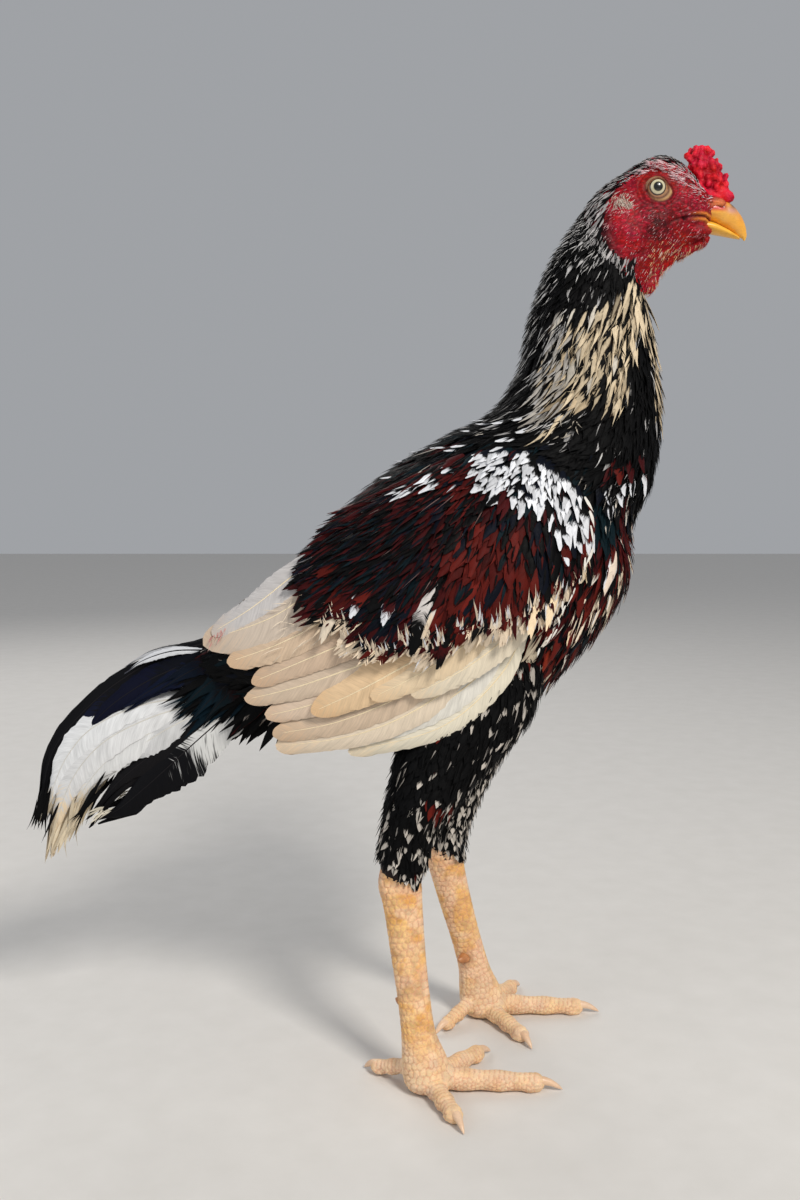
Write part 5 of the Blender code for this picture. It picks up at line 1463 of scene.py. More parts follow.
# Zones of the coat as outlines seen from the side, (x, z).
CREAM_SIDE = ((0.1402, 0.4900), (0.1310, 0.4840), (0.1137, 0.4744), (0.1004, 0.4669), (0.0925, 0.4481),
              (0.0890, 0.4348), (0.0886, 0.4177), (0.0992, 0.4170), (0.1088, 0.4205), (0.1240, 0.4260),
              (0.1320, 0.4158), (0.1384, 0.4310), (0.1399, 0.4537), (0.1446, 0.4613), (0.1440, 0.4800))
CREAM_FRONT = ((0.1400, 0.4920), (0.1560, 0.4940), (0.1600, 0.4748), (0.1640, 0.4498), (0.1650, 0.4210),
               (0.1595, 0.4190), (0.1575, 0.4362), (0.1555, 0.4556), (0.1475, 0.4672))
GREY_SIDE = ((0.1040, 0.4780), (0.0920, 0.4720), (0.0840, 0.4480), (0.0800, 0.4080), (0.0930, 0.4060), (0.0980, 0.4480))
TAN_THROAT = ((0.1350, 0.5140), (0.1530, 0.5060), (0.1535, 0.4916), (0.1428, 0.4916), (0.1387, 0.5011))
BREAST_MAROON = ((0.1260, 0.4010), (0.1490, 0.4040), (0.1600, 0.3890), (0.1530, 0.3774), (0.1343, 0.3717), (0.1246, 0.3774))
BREAST_WHITE = ((0.1240, 0.3790), (0.1530, 0.3860), (0.1530, 0.3774), (0.1440, 0.3659), (0.1385, 0.3540), (0.1240, 0.3540))
BREAST_TEAL = ((0.1149, 0.3560), (0.1298, 0.3600), (0.1320, 0.3400), (0.1200, 0.3290), (0.1149, 0.3400))


def turn_of(b):
    """Degrees round the body from the back, 0 to 180."""
    return np.degrees(np.abs((b + math.pi) % (2 * math.pi) - math.pi))


def nape_keep(p, a, b):
    return ~((p[:, 2] > 0.484) & (turn_of(b) > 143))


def neck_coat(material):
    """Hackles: short and fine behind the head, long and pointed lower down, cream ones at the side and front."""
    coat = Coat()
    rng = np.random.default_rng(21)
    bottom = 0.44
    points = 7

    def spacing(p, a, b):
        return np.interp(p[:, 2], (0.39, 0.43, 0.50, 0.545), (0.0038, 0.0034, 0.0025, 0.0019))

    a, b, p = scatter(BODY, (0.0, -math.pi), (bottom, math.pi), spacing, 31, 60000, nape_keep)
    n = len(a)
    z, turn = p[:, 2], turn_of(b)
    nape = step_up(100, 40, turn)
    length = np.interp(z, (0.38, 0.42, 0.47, 0.51, 0.545), (0.021, 0.028, 0.026, 0.018, 0.012)) * rng.uniform(0.75, 1.2, n)
    half = np.interp(z, (0.38, 0.43, 0.50, 0.545), (0.0034, 0.0031, 0.0021, 0.0013)) * rng.uniform(0.7, 1.25, n)
    rise = np.interp(z, (0.38, 0.45, 0.50, 0.545), (0.0048, 0.0042, 0.0036, 0.0026)) + 0.0020 * nape * step_up(0.44, 0.48, z)
    rise = rise * rng.uniform(0.6, 1.25, n)
    swing = rng.normal(0, 0.10, n) + 0.10 * noise(p, 0.02, 73)
    # The hackles at the sides sweep back towards the nape as they run down.
    sweep = 0.32 * np.sin(np.radians(turn)) * np.sign(np.sin(b)) * step_up(0.53, 0.47, z)
    path = lay(BODY, a, b, with_grain, swing - sweep, length, rise, points, curl=rng.normal(0, 0.12, n))
    seen = path[0][:, 4]
    sx, sz = seen[:, 0], seen[:, 2]
    cream = np.maximum(zone(sx, sz, CREAM_SIDE) * step_up(30, 50, turn), zone(sx, sz, CREAM_FRONT) * step_up(95, 110, turn))
    grey = zone(sx, sz, GREY_SIDE, 0.004) * step_up(30, 50, turn)
    tan = zone(sx, sz, TAN_THROAT) * step_up(60, 80, turn)
    high = step_up(0.495, 0.525, sz)
    draw = rng.random(n)
    pale_edge = 0.06 + 0.75 * grey + 0.34 * high + 0.16 * np.maximum(noise(p, 0.014, 72), 0)
    is_cream = draw < 0.45 * cream + 0.55 * tan
    is_edged = ~is_cream & (rng.random(n) < pale_edge * (1 - 0.8 * cream))
    warm = rng.random((n, 1))
    base = np.where(is_cream[:, None], srgb(190, 170, 140) * (0.5 + 0.4 * warm), BLACK)
    tip = np.where(is_cream[:, None], BLACK, srgb(186, 184, 183) * (1 - 0.4 * warm))
    one_side = rng.random(n) < 0.7
    edge = np.where(is_edged & one_side, rng.uniform(0.5, 0.75, n), np.where(is_cream & (warm[:, 0] < 0.4), 0.7, 2.0))
    tip_start = np.where(is_edged & ~one_side, 0.55, 2.0)
    shape = leaf(points, 0.45, 0.0, 0.45)
    look = look_of(rng, base, tip, tip_start, edge, 0.10, length, loft_uv(a / bottom, b))
    coat.slim(path, half[:, None] * shape[None], 0.00042, (0.22 * half)[:, None] * shape[None], look)
    cream_hackles(coat, rng, bottom)
    barbs = Coat()
    neck_streaks(barbs, rng, bottom)
    for piece, name in ((coat, "hackles"), (barbs, "hackle_barbs")):
        piece.build(name, material)


def cream_hackles(coat, rng, bottom):
    """Long pointed pale hackles, with dark gaps between them."""
    reach = 0.028

    def keep(p, a, b):
        turn = turn_of(b)
        ahead = p + BODY.along(a, b) * reach * 0.62
        x, z = ahead[:, 0] - 0.004 * np.sin(np.radians(turn)), ahead[:, 2]
        side = np.maximum(zone(x, z, CREAM_SIDE), zone(x, z, GREY_SIDE, 0.002)) * step_up(30, 50, turn)
        front = zone(x, z, CREAM_FRONT) * step_up(95, 110, turn)
        return np.maximum(side, front) > 0.5

    a, b, p = scatter(BODY, (0.0, -math.pi), (bottom, math.pi), lambda p, a, b: 0.0050, 33, 40000, keep)
    n = len(a)
    turn = turn_of(b)
    length = reach * rng.uniform(0.8, 1.35, n)
    half = rng.uniform(0.0017, 0.0032, n)
    sweep = 0.22 * np.sin(np.radians(turn)) * np.sign(np.sin(b))
    path = lay(BODY, a, b, with_grain, rng.normal(0, 0.09, n) - sweep, length, 0.0058 * rng.uniform(0.8, 1.2, n), 9,
               curl=rng.normal(0, 0.12, n))
    warm = rng.random((n, 1))
    base = srgb(222, 203, 172) * (0.52 + 0.43 * warm)
    base = np.where(rng.random((n, 1)) < 0.16, srgb(214, 206, 192) * (0.6 + 0.3 * warm), base)
    back = path[0][:, 5, 0] < 0.102
    base = np.where(back[:, None] & (warm < 0.7), srgb(176, 170, 162) * (0.7 + 0.3 * warm), base)
    edge = np.where(rng.random(n) < 0.55, rng.uniform(0.45, 0.8, n), 2.0)
    dark = np.where(rng.random((n, 1)) < 0.5, srgb(60, 48, 38), BLACK)
    look = look_of(rng, base, dark, np.where(rng.random(n) < 0.2, 0.8, 2.0), edge, 0.08, length, loft_uv(a / bottom, b), 0.10)
    shape = leaf(9, 0.40, 0.0, 0.40)
    coat.broad(path, half[:, None] * shape[None] + 0.00012, 0.0004, (0.22 * half)[:, None] * shape[None], 5, look,
               round_tip=0.05, tooth=0.05, fray=0.22)


def neck_streaks(coat, rng, bottom):
    """Fine loose barbs, many of them pale, and a frizzled patch over the wing's shoulder."""
    a, b, p = scatter(BODY, (0.0, -math.pi), (bottom, math.pi), lambda p, a, b: 0.0026, 32, 40000, nape_keep)
    n = len(a)
    z, turn = p[:, 2], turn_of(b)
    nape = step_up(100, 40, turn)
    length = np.interp(z, (0.38, 0.47, 0.545), (0.024, 0.019, 0.009)) * rng.uniform(0.6, 1.2, n)
    rise = 0.0052 * rng.uniform(0.7, 1.2, n) * np.interp(z, (0.45, 0.54), (1, 0.6)) + 0.0022 * nape * step_up(0.44, 0.48, z)
    path = lay(BODY, a, b, with_grain, rng.normal(0, 0.18, n) - 0.3 * np.sin(b) * step_up(0.53, 0.47, z), length,
               rise, 6, curl=rng.normal(0, 0.25, n))
    seen = path[0][:, 3]
    sx, sz = seen[:, 0], seen[:, 2]
    cream = np.maximum(zone(sx, sz, CREAM_SIDE) * step_up(30, 50, turn), zone(sx, sz, CREAM_FRONT) * step_up(95, 110, turn))
    grey = zone(sx, sz, GREY_SIDE, 0.004) * step_up(30, 50, turn)
    high = step_up(0.490, 0.520, sz)
    edge_on = step_up(46, 20, turn) * step_up(0.43, 0.46, sz)
    share = 0.12 * step_up(0.415, 0.445, sz) + 0.03 + 0.60 * grey + 0.30 * high + 0.30 * edge_on + 0.12 * noise(p, 0.012, 75)
    pale = rng.random((n, 1)) < (share * (1 - cream) + 0.5 * cream)[:, None]
    tone = np.where((cream > 0.5)[:, None], srgb(222, 202, 168), srgb(204, 202, 200)) * rng.uniform(0.55, 1.0, (n, 1))
    base = np.where(pale, tone, BLACK)
    look = look_of(rng, base, base, 2.0, 2.0, 0.1, length, loft_uv(a / bottom, b), 0.1)
    half = np.where(pale[:, 0], rng.uniform(0.00028, 0.00060, n), 0.0007)
    coat.slim(path, half[:, None] * leaf(6, 0.4, 0.0, 0.6)[None], 0.0003, 0.00005, look)
    for side in (-1, 1):
        n = 16
        x, z = rng.uniform(0.088, 0.106, n), rng.uniform(0.404, 0.420, n)
        a, b = body_place(x, z, side)
        length = rng.uniform(0.007, 0.013, n)
        path = lay(BODY, a, b, with_grain, side * rng.uniform(-0.5, 0.1, n), length, 0.0085 * rng.uniform(0.8, 1.1, n), 7,
                   curl=rng.normal(0, 0.5, n))
        tone = np.where(rng.random((n, 1)) < 0.6, srgb(204, 194, 178), srgb(40, 38, 40)) * rng.uniform(0.6, 1.0, (n, 1))
        look = look_of(rng, tone, tone, 2.0, 2.0, 0.1, length, loft_uv(a / bottom, b), 0.1)
        coat.slim(path, 0.0004 * leaf(7, 0.4, 0.0, 0.6)[None], 0.0003, 0.0, look)


def body_place(x, z, side):
    """Where on the body's loft a place seen from the side lies."""
    a, b = np.meshgrid(np.linspace(0, 1, 260), np.linspace(0.03, math.pi - 0.03, 130), indexing="ij")
    grid = BODY.raw(a, b)
    flat = np.stack([grid[..., 0], grid[..., 2]], -1).reshape(-1, 2)
    best = [int(np.argmin(np.hypot(flat[:, 0] - u, flat[:, 1] - v))) for u, v in zip(x, z)]
    return a.reshape(-1)[best], -side * b.reshape(-1)[best]


def single(coat, surface, start, way, length, half, high, look, points=12, tooth=0.05, full=0.5, tip=0.5, curl=0.0):
    """One feather laid from a place on a surface, pointing the given way as seen from the side."""
    a, b = start
    turn = math.radians(way)
    flat = np.array([math.cos(turn), 0.0, math.sin(turn)])
    path = lay(surface, a, b, lambda s, a, b: np.tile(flat, (len(a), 1)), 0.0, length, high, points, curl=curl)
    coat.broad(path, half * leaf(points, full, tip, 0.45)[None], 0.00045, 0.2 * half, 9, look, round_tip=0.9 * half / length,
               tooth=tooth, fray=0.08)


def trunk_marks(rng, p, seen, b):
    """Colours of breast, belly, back and rump, read where each feather shows."""
    n = len(p)
    x, z = seen[:, 0], seen[:, 2]
    turn = turn_of(b)
    lumps = noise(p, 0.014, 81)
    fore = step_up(0.015, 0.05, x)
    breast = step_up(70, 95, turn) * step_up(0.235, 0.255, z) * fore
    back = step_up(75, 50, turn)
    belly = step_up(0.262, 0.235, z)
    teal = zone(x, z, BREAST_TEAL) * step_up(60, 80, turn)
    high_red = zone(x, z, BREAST_MAROON, 0.004) * step_up(60, 80, turn)
    white = zone(x, z, BREAST_WHITE, 0.003) * step_up(60, 80, turn)
    low = step_up(0.362, 0.348, z)
    maroon = breast * low * (0.48 + 0.30 * lumps) + 0.75 * high_red + 0.16 * back * step_up(0.05, 0.0, x)
    maroon = maroon * (1 - teal)
    cream = breast * low * (0.04 + 0.10 * step_up(125, 150, turn) * step_up(0.335, 0.31, z)) + belly * 0.05 * (x > 0.02)
    black = np.clip(1 - maroon - cream, 0.10, 1)
    rust = maroon * breast * (0.30 + 0.35 * step_up(130, 155, turn))
    base, choice = pick(rng, np.stack([black, np.maximum(maroon - rust, 0), rust, cream], 1), [BLACK, MAROON, RUST, srgb(222, 206, 180) * 0.85])
    # Painted sheen: a quarter of the black feathers get a blue or green-blue sheen in their colour, and the black ones
    # in the teal patch get a green-blue one.
    sheen = (choice == 0) & (rng.random(n) < 0.25)
    base = np.where(sheen[:, None], np.where(rng.random((n, 1)) < 0.5, BLUE_BLACK, TEAL_BLACK), base)
    base = np.where(((teal > 0.4) & (choice == 0))[:, None], srgb(8, 27, 33), base)
    tip = np.tile(BLACK, (n, 1))
    tip_start, edge = np.full(n, 2.0), np.full(n, 2.0)
    pale_mark = (choice != 3) & (rng.random(n) < 0.10 * breast * low + 0.03 * back + 0.16 * belly * (x > 0.0) + 0.35 * white)
    tip = np.where(pale_mark[:, None], srgb(214, 206, 194), tip)
    half_mark = rng.random(n) < 0.4
    tip_start = np.where(pale_mark & half_mark, rng.uniform(0.62, 0.8, n), tip_start)
    edge = np.where(pale_mark & ~half_mark, rng.uniform(0.55, 0.75, n), edge)
    dark_tip = ((choice == 1) | (choice == 2)) & (rng.random(n) < 0.5)
    tip_start = np.where(dark_tip & ~pale_mark, rng.uniform(0.75, 0.9, n), tip_start)
    edge = np.where(dark_tip & ~pale_mark & half_mark, 0.7, edge)
    return base, tip, tip_start, edge, choice


def under_wing(p):
    """1 where the closed wing hides the body."""
    x, z = p[:, 0], p[:, 2]
    middle = np.array([0.020, 0.322])
    along = (x - middle[0]) * 0.912 + (z - middle[1]) * 0.410
    off = -(x - middle[0]) * 0.410 + (z - middle[1]) * 0.912
    return (np.hypot(along / 0.078, off / 0.034) < 1) & (np.abs(p[:, 1]) > 0.03)


# Feathers of the breast laid one by one: root (x, z), way, length, half width, colour, tip colour, where the edge
# starts.
BREAST_FEATHERS = (
    ((0.1520, 0.3890), 262, 0.020, 0.0040, WHITE, WHITE, 2.0), ((0.1430, 0.3840), 255, 0.017, 0.0042, BLACK, WHITE, 0.45),
    ((0.1350, 0.3830), 262, 0.014, 0.0038, WHITE, WHITE, 2.0), ((0.1345, 0.3740), 258, 0.013, 0.0036, WHITE, CREAM, 2.0),
    ((0.1290, 0.3680), 245, 0.016, 0.0042, BLACK, WHITE, 0.50), ((0.1250, 0.3760), 262, 0.013, 0.0030, BLACK, WHITE, 0.5),
    ((0.1350, 0.3400), 232, 0.034, 0.0058, srgb(226, 208, 190), WHITE, 0.7), ((0.1340, 0.3140), 228, 0.018, 0.0020, srgb(226, 208, 186), WHITE, 0.8),
    ((0.1270, 0.3060), 228, 0.020, 0.0018, srgb(226, 208, 186), WHITE, 0.8), ((0.1180, 0.3000), 236, 0.022, 0.0016, srgb(226, 208, 186), WHITE, 2.0),
    ((0.1100, 0.2900), 236, 0.017, 0.0042, RUST, CREAM, 0.7), ((0.1010, 0.2860), 240, 0.020, 0.0046, RUST, BLACK, 0.8),
    ((0.0960, 0.2780), 238, 0.018, 0.0046, srgb(120, 40, 24), RUST, 0.7), ((0.1120, 0.3140), 248, 0.018, 0.0048, RUST, BLACK, 0.7),
    ((0.1140, 0.3320), 258, 0.018, 0.0046, BLACK, CREAM, 0.75), ((0.1400, 0.3940), 258, 0.018, 0.0050, MAROON, BLACK, 0.75),
    ((0.1330, 0.3900), 252, 0.016, 0.0048, RUST, MAROON, 0.7), ((0.1470, 0.4010), 262, 0.018, 0.0048, MAROON, BLACK, 0.8),
)


# Pale flecks along the back: root (x, z), way, length, half width.
BACK_FLECKS = (
    ((0.0600, 0.4170), 216, 0.014, 0.0020), ((0.0500, 0.4110), 222, 0.013, 0.0018), ((0.0560, 0.4200), 205, 0.012, 0.0016),
    ((0.0690, 0.4180), 218, 0.015, 0.0020), ((0.0300, 0.4020), 220, 0.012, 0.0017), ((0.0060, 0.3930), 218, 0.010, 0.0016),
    ((-0.0030, 0.3830), 220, 0.010, 0.0016), ((0.0460, 0.4030), 212, 0.016, 0.0022), ((0.0730, 0.4070), 214, 0.018, 0.0024),
    ((0.0680, 0.4010), 218, 0.016, 0.0022), ((0.0810, 0.4120), 222, 0.014, 0.0020), ((0.0160, 0.3990), 216, 0.010, 0.0014),
    ((0.0780, 0.4190), 226, 0.012, 0.0016), ((0.0560, 0.3980), 210, 0.014, 0.0018), ((0.0380, 0.4000), 216, 0.012, 0.0016),
)


def trunk_coat(material):
    """Feathers of breast, flanks, belly, vent and back."""
    rng = np.random.default_rng(22)
    breast, back, barbs = Coat(), Coat(), Coat()
    start = 0.40

    def spacing(p, a, b):
        return np.interp(p[:, 0] + 0.3 * (p[:, 2] - 0.3), (-0.10, 0.0, 0.12), (0.0048, 0.0046, 0.0056))

    a, b, p = scatter(BODY, (start, -math.pi), (0.985, math.pi), spacing, 41, 60000, lambda p, a, b: ~under_wing(p))
    n = len(a)
    turn = turn_of(b)
    x, z = p[:, 0], p[:, 2]
    top = turn < 62
    vent = (x < -0.01) & (z < 0.27)
    length = np.where(top, 0.026, 0.0225) * rng.uniform(0.8, 1.2, n)
    half = np.where(top, 0.0030, 0.0047) * rng.uniform(0.75, 1.2, n)
    rear = step_up(-0.02, -0.09, x)
    rise = np.where(vent, 0.0065, 0.0042) * rng.uniform(0.7, 1.25, n) * (1 - 0.4 * rear * top)
    swing = rng.normal(0, 0.10, n)
    points = 6
    for part, coat in ((top, back), (~top, breast)):
        path = lay(BODY, a[part], b[part], with_grain, swing[part], length[part], rise[part], points,
                   curl=rng.normal(0, 0.10, part.sum()))
        base, tip, tip_start, edge, _ = trunk_marks(rng, p[part], path[0][:, 4], b[part])
        look = look_of(rng, base, tip, tip_start, edge, 0.07, length[part], loft_uv((a[part] - start) / (1 - start), b[part]))
        if coat is breast:
            shape = leaf(points, 0.45, 0.28, 0.35)
            coat.broad(path, half[part][:, None] * shape[None], 0.0004, (0.22 * half[part])[:, None] * shape[None], 5,
                       look, round_tip=0.16, tooth=0.09, fray=0.25)
        else:
            shape = leaf(points, 0.45, 0.05, 0.45)
            coat.slim(path, half[part][:, None] * shape[None], 0.0004, (0.22 * half[part])[:, None] * shape[None], look)
    # Loose fine barbs: hair-like on the back, down at the belly and vent.
    a, b, p = scatter(BODY, (start, -math.pi), (0.985, math.pi), lambda p, a, b: 0.0040, 42, 60000,
                      lambda p, a, b: ~under_wing(p))
    turn = turn_of(b)
    n = len(a)
    top = turn < 66
    length = np.where(top, 0.030, 0.015) * rng.uniform(0.7, 1.2, n)
    light = rng.random(n) < np.where(top, 0.05, 0.03)
    rear = step_up(-0.02, -0.09, p[:, 0])
    for part, coat in ((top, back), (~top, barbs)):
        path = lay(BODY, a[part], b[part], with_grain, rng.normal(0, 0.22, part.sum()), length[part],
                   0.0054 * rng.uniform(0.6, 1.2, part.sum()) * (1 - 0.4 * rear[part]), 6, curl=rng.normal(0, 0.2, part.sum()))
        base, tip, tip_start, edge, choice = trunk_marks(rng, p[part], path[0][:, 4], b[part])
        base = np.where((choice == 3)[:, None], BLACK, base)
        base = np.where(light[part][:, None], srgb(176, 168, 158), base)
        look = look_of(rng, base, tip, 2.0, 2.0, 0.1, length[part], loft_uv((a[part] - start) / (1 - start), b[part]))
        width = np.where(top[part], 0.0010, 0.0007)[:, None]
        coat.slim(path, width * leaf(6, 0.4, 0.0, 0.6)[None], 0.0003, 0.00006, look)
    for side in (-1, 1):
        for (x, z), way, length, half, base, tip, edge in BREAST_FEATHERS:
            place = body_place([x], [z], side)
            look = look_of(rng, base, tip, 2.0, edge, 0.1, np.array([length]), loft_uv((place[0] - start) / (1 - start), place[1]), 0.05)
            single(breast, BODY, place, way, length, half, 0.0068, look)
        for (x, z), way, length, half in BACK_FLECKS:
            place = body_place([x], [z], side)
            look = look_of(rng, BLACK, WHITE, 0.35, 2.0, 0.1, np.array([length]), loft_uv((place[0] - start) / (1 - start), place[1]), 0.05)
            single(back, BODY, place, way, length, half, 0.0064, look, points=8)
        front_lines(breast, rng, side, start)
    vent_coat(breast, rng)
    one = breast.build("breast_feathers", material)
    two = back.build("back_feathers", material)
    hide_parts("saddle")
    barbs.build("breast_barbs", material)


def front_lines(coat, rng, side, start):
    """Long fine barbs, rust and cream, that follow the breast's front contour."""
    n = 90
    x, z = rng.uniform(0.118, 0.150, n), rng.uniform(0.285, 0.372, n)
    ok = x > 0.128 + 0.30 * (z - 0.300)
    a, b = body_place(x[ok], z[ok], side)
    n = len(a)
    length = rng.uniform(0.018, 0.034, n)
    path = lay(BODY, a, b, with_grain, rng.normal(0, 0.08, n) - 0.12 * side, length, 0.0062 * rng.uniform(0.8, 1.15, n), 9,
               curl=rng.normal(0, 0.10, n))
    shade = rng.random((n, 1))
    base = np.where(shade < 0.22, srgb(214, 196, 176), np.where(shade < 0.60, RUST * 0.8, BLACK))
    look = look_of(rng, base, base, 2.0, 2.0, 0.1, length, loft_uv((a - start) / (1 - start), b), 0.1)
    coat.slim(path, rng.uniform(0.0004, 0.0010, n)[:, None] * leaf(9, 0.4, 0.0, 0.6)[None], 0.0003, 0.00005, look)
    n = 12
    a, b = body_place(rng.uniform(0.102, 0.123, n), rng.uniform(0.290, 0.312, n), side)
    length = rng.uniform(0.010, 0.019, n)
    path = lay(BODY, a, b, with_grain, rng.normal(0, 0.10, n), length, 0.0070 * rng.uniform(0.8, 1.1, n), 8,
               curl=rng.normal(0, 0.12, n))
    look = look_of(rng, srgb(226, 210, 188), CREAM, 2.0, 2.0, 0.1, length, loft_uv((a - start) / (1 - start), b), 0.1)
    coat.slim(path, rng.uniform(0.0004, 0.0009, n)[:, None] * leaf(8, 0.4, 0.0, 0.6)[None], 0.0003, 0.00005, look)


def vent_coat(coat, rng):
    """Loose black feathers that hang down and back from the vent."""
    n = 130
    side = np.where(rng.random(n) < 0.5, -1.0, 1.0)
    x, z = rng.uniform(-0.096, -0.055, n), rng.uniform(0.228, 0.252, n)
    y = side * rng.uniform(0.002, 0.020, n)
    turn = np.radians(rng.uniform(208, 236, n))
    length = rng.uniform(0.018, 0.030, n)
    share = np.linspace(0, 1, 7)[None]
    centre = np.stack([x[:, None] + np.cos(turn)[:, None] * length[:, None] * share,
                       y[:, None] + side[:, None] * 0.003 * share,
                       z[:, None] + np.sin(turn)[:, None] * length[:, None] * share - 0.002 * share ** 2], -1)
    normal = np.stack([np.full(n, -0.25), 0.9 * side, np.full(n, -0.2)], -1)
    path = framed(centre, np.repeat(normal[:, None], 7, 1))
    base = np.where(rng.random((n, 1)) < 0.15, MAROON, BLACK)
    uv = np.stack([0.90 + 0.08 * rng.random(n), rng.random(n)], -1)
    look = look_of(rng, base, srgb(150, 140, 132), np.where(rng.random(n) < 0.15, 0.7, 2.0), 2.0, 0.1, length, uv)
    coat.slim(path, rng.uniform(0.0012, 0.0034, n)[:, None] * leaf(7, 0.5, 0.1, 0.4)[None], 0.0004, 0.0004, look)


def thigh_marks(rng, p, side):
    """Black with white flecks, thicker towards the hock, and a few red-brown ones."""
    n = len(p)
    x, z = p[:, 0], p[:, 2]
    lumps = noise(p, 0.011, 91)
    fleck = 0.06 + 0.34 * step_up(0.182, 0.150, z) + 0.20 * np.maximum(lumps, 0) + 0.10 * step_up(0.045, 0.07, x)
    if side == 1:
        fleck = fleck + 0.08
    white = rng.random(n) < fleck
    red = ~white & (rng.random(n) < 0.006 + 0.5 * step_up(0.252, 0.270, z) * step_up(0.05, 0.07, x)
                    + 1.6 * np.exp(-(((x - 0.0245) / 0.0045) ** 2 + ((z - 0.1760) / 0.0040) ** 2)))
    base = np.tile(BLACK, (n, 1)) * (1 + 0.5 * (side == 1))
    base = np.where(red[:, None], RUST, base)
    tip = np.where(white[:, None], srgb(204, 196, 186) * rng.uniform(0.7, 1.0, (n, 1)), BLACK)
    tip_start = np.where(white, rng.uniform(0.48, 0.75, n), 2.0)
    edge = np.where(white & (rng.random(n) < 0.35), 0.55, 2.0)
    return base, tip, tip_start, edge


# Where the thighs' feathers end over the hocks: x, z.
THIGH_HEM = {-1: ((-0.0180, -0.0141, 0.0000, 0.0090, 0.0130, 0.0190, 0.0240), (0.1470, 0.1449, 0.1342, 0.1250, 0.1240, 0.1400, 0.1560)),
             1: ((0.0150, 0.0300, 0.0387, 0.0450, 0.0520), (0.1330, 0.1260, 0.1198, 0.1104, 0.1150))}


def thigh_coat(material):
    """Short feathers down both thighs, ending in points over the hocks."""
    for side, word in ((-1, "right"), (1, "left")):
        rng = np.random.default_rng(23 + side)
        coat = Coat()
        surface = THIGH[side]
        hem = THIGH_HEM[side]
        for layer, (gap, long, wide, up) in enumerate(((0.0031, 0.0125, 0.0025, 0.0030), (0.0034, 0.0120, 0.0006, 0.0042))):
            a, b, p = scatter(surface, (0.0, -math.pi), (0.95, math.pi), lambda p, a, b: gap, 51 + layer, 26000,
                              lambda p, a, b: (p[:, 2] < 0.285) & (p[:, 2] > np.interp(p[:, 0], *hem) + 0.0085))
            n = len(a)
            low = step_up(0.165, 0.135, p[:, 2])
            length = long * (1 - 0.15 * low) * rng.uniform(0.8, 1.25, n) * np.interp(p[:, 2], (0.2, 0.28), (1.0, 1.5))
            half = wide * rng.uniform(0.75, 1.2, n) * (1 - 0.25 * low) * np.interp(p[:, 2], (0.2, 0.28), (1.0, 1.3))
            path = lay(surface, a, b, with_grain, rng.normal(0, 0.14, n), length, up * rng.uniform(0.6, 1.2, n), 6,
                       curl=rng.normal(0, 0.12, n))
            base, tip, tip_start, edge = thigh_marks(rng, path[0][:, 4], side)
            shape = leaf(6, 0.5, 0.25, 0.45) if layer == 0 else leaf(6, 0.4, 0.0, 0.6)
            if layer:
                pale = rng.random((n, 1)) < (0.10 if side == -1 else 0.25)
                base = np.where(pale, srgb(150, 144, 138), base)
                tip_start = np.full(n, 2.0)
            look = look_of(rng, base, tip, tip_start, edge, 0.06, length, loft_uv(a, b))
            coat.slim(path, half[:, None] * shape[None], 0.00035, (0.2 * half)[:, None] * shape[None], look)
        obj = coat.build(f"thigh_feathers_{word}", material)




# Wings

# Tips of the lowest coverts, and the outlines that the coverts and their markings keep to, (x, z).
COVERT_EDGE = ((-0.0662, 0.3200), (-0.0577, 0.2974), (-0.0473, 0.2927), (-0.0357, 0.2990), (-0.0277, 0.2811),
               (-0.0116, 0.2788), (0.0023, 0.2830), (0.0115, 0.2850), (0.0220, 0.2788), (0.0346, 0.2890),
               (0.0508, 0.2915), (0.0692, 0.2950), (0.0790, 0.3010), (0.0922, 0.3110), (0.1080, 0.3313))
COVERT_TOP = ((0.1130, 0.3600), (0.1060, 0.3770), (0.0929, 0.3910), (0.0754, 0.3985), (0.0584, 0.4000),
              (0.0411, 0.3960), (0.0176, 0.3860), (-0.0059, 0.3740), (-0.0295, 0.3640), (-0.0380, 0.3590),
              (-0.0490, 0.3474), (-0.0600, 0.3320))
WHITE_PATCH = ((0.0400, 0.3914), (0.0494, 0.3975), (0.0619, 0.4015), (0.0762, 0.4010), (0.0930, 0.3940),
               (0.1060, 0.3842), (0.1130, 0.3699), (0.1150, 0.3483), (0.1125, 0.3320), (0.1042, 0.3320),
               (0.0910, 0.3395), (0.0775, 0.3485), (0.0685, 0.3555), (0.0625, 0.3635), (0.0505, 0.3672),
               (0.0395, 0.3745))
WHITE_SPOTS = ((-0.0150, 0.3662), (0.0023, 0.3760), (0.0220, 0.3785), (0.0130, 0.3685), (-0.0046, 0.3635))
RUST_BOX = ((0.0228, 0.3504), (0.0479, 0.3504), (0.0868, 0.3413), (0.0920, 0.3120), (0.0758, 0.3000),
            (0.0483, 0.2900), (0.0230, 0.3000))
RUST_TOP = ((0.0023, 0.3800), (0.0343, 0.3850), (0.0481, 0.3731), (0.0437, 0.3548), (0.0207, 0.3548), (0.0023, 0.3663))
DARK_MIDDLE = ((-0.0504, 0.3481), (-0.0229, 0.3595), (0.0206, 0.3481), (0.0253, 0.3090), (-0.0069, 0.2997),
               (-0.0345, 0.3182), (-0.0528, 0.3274))
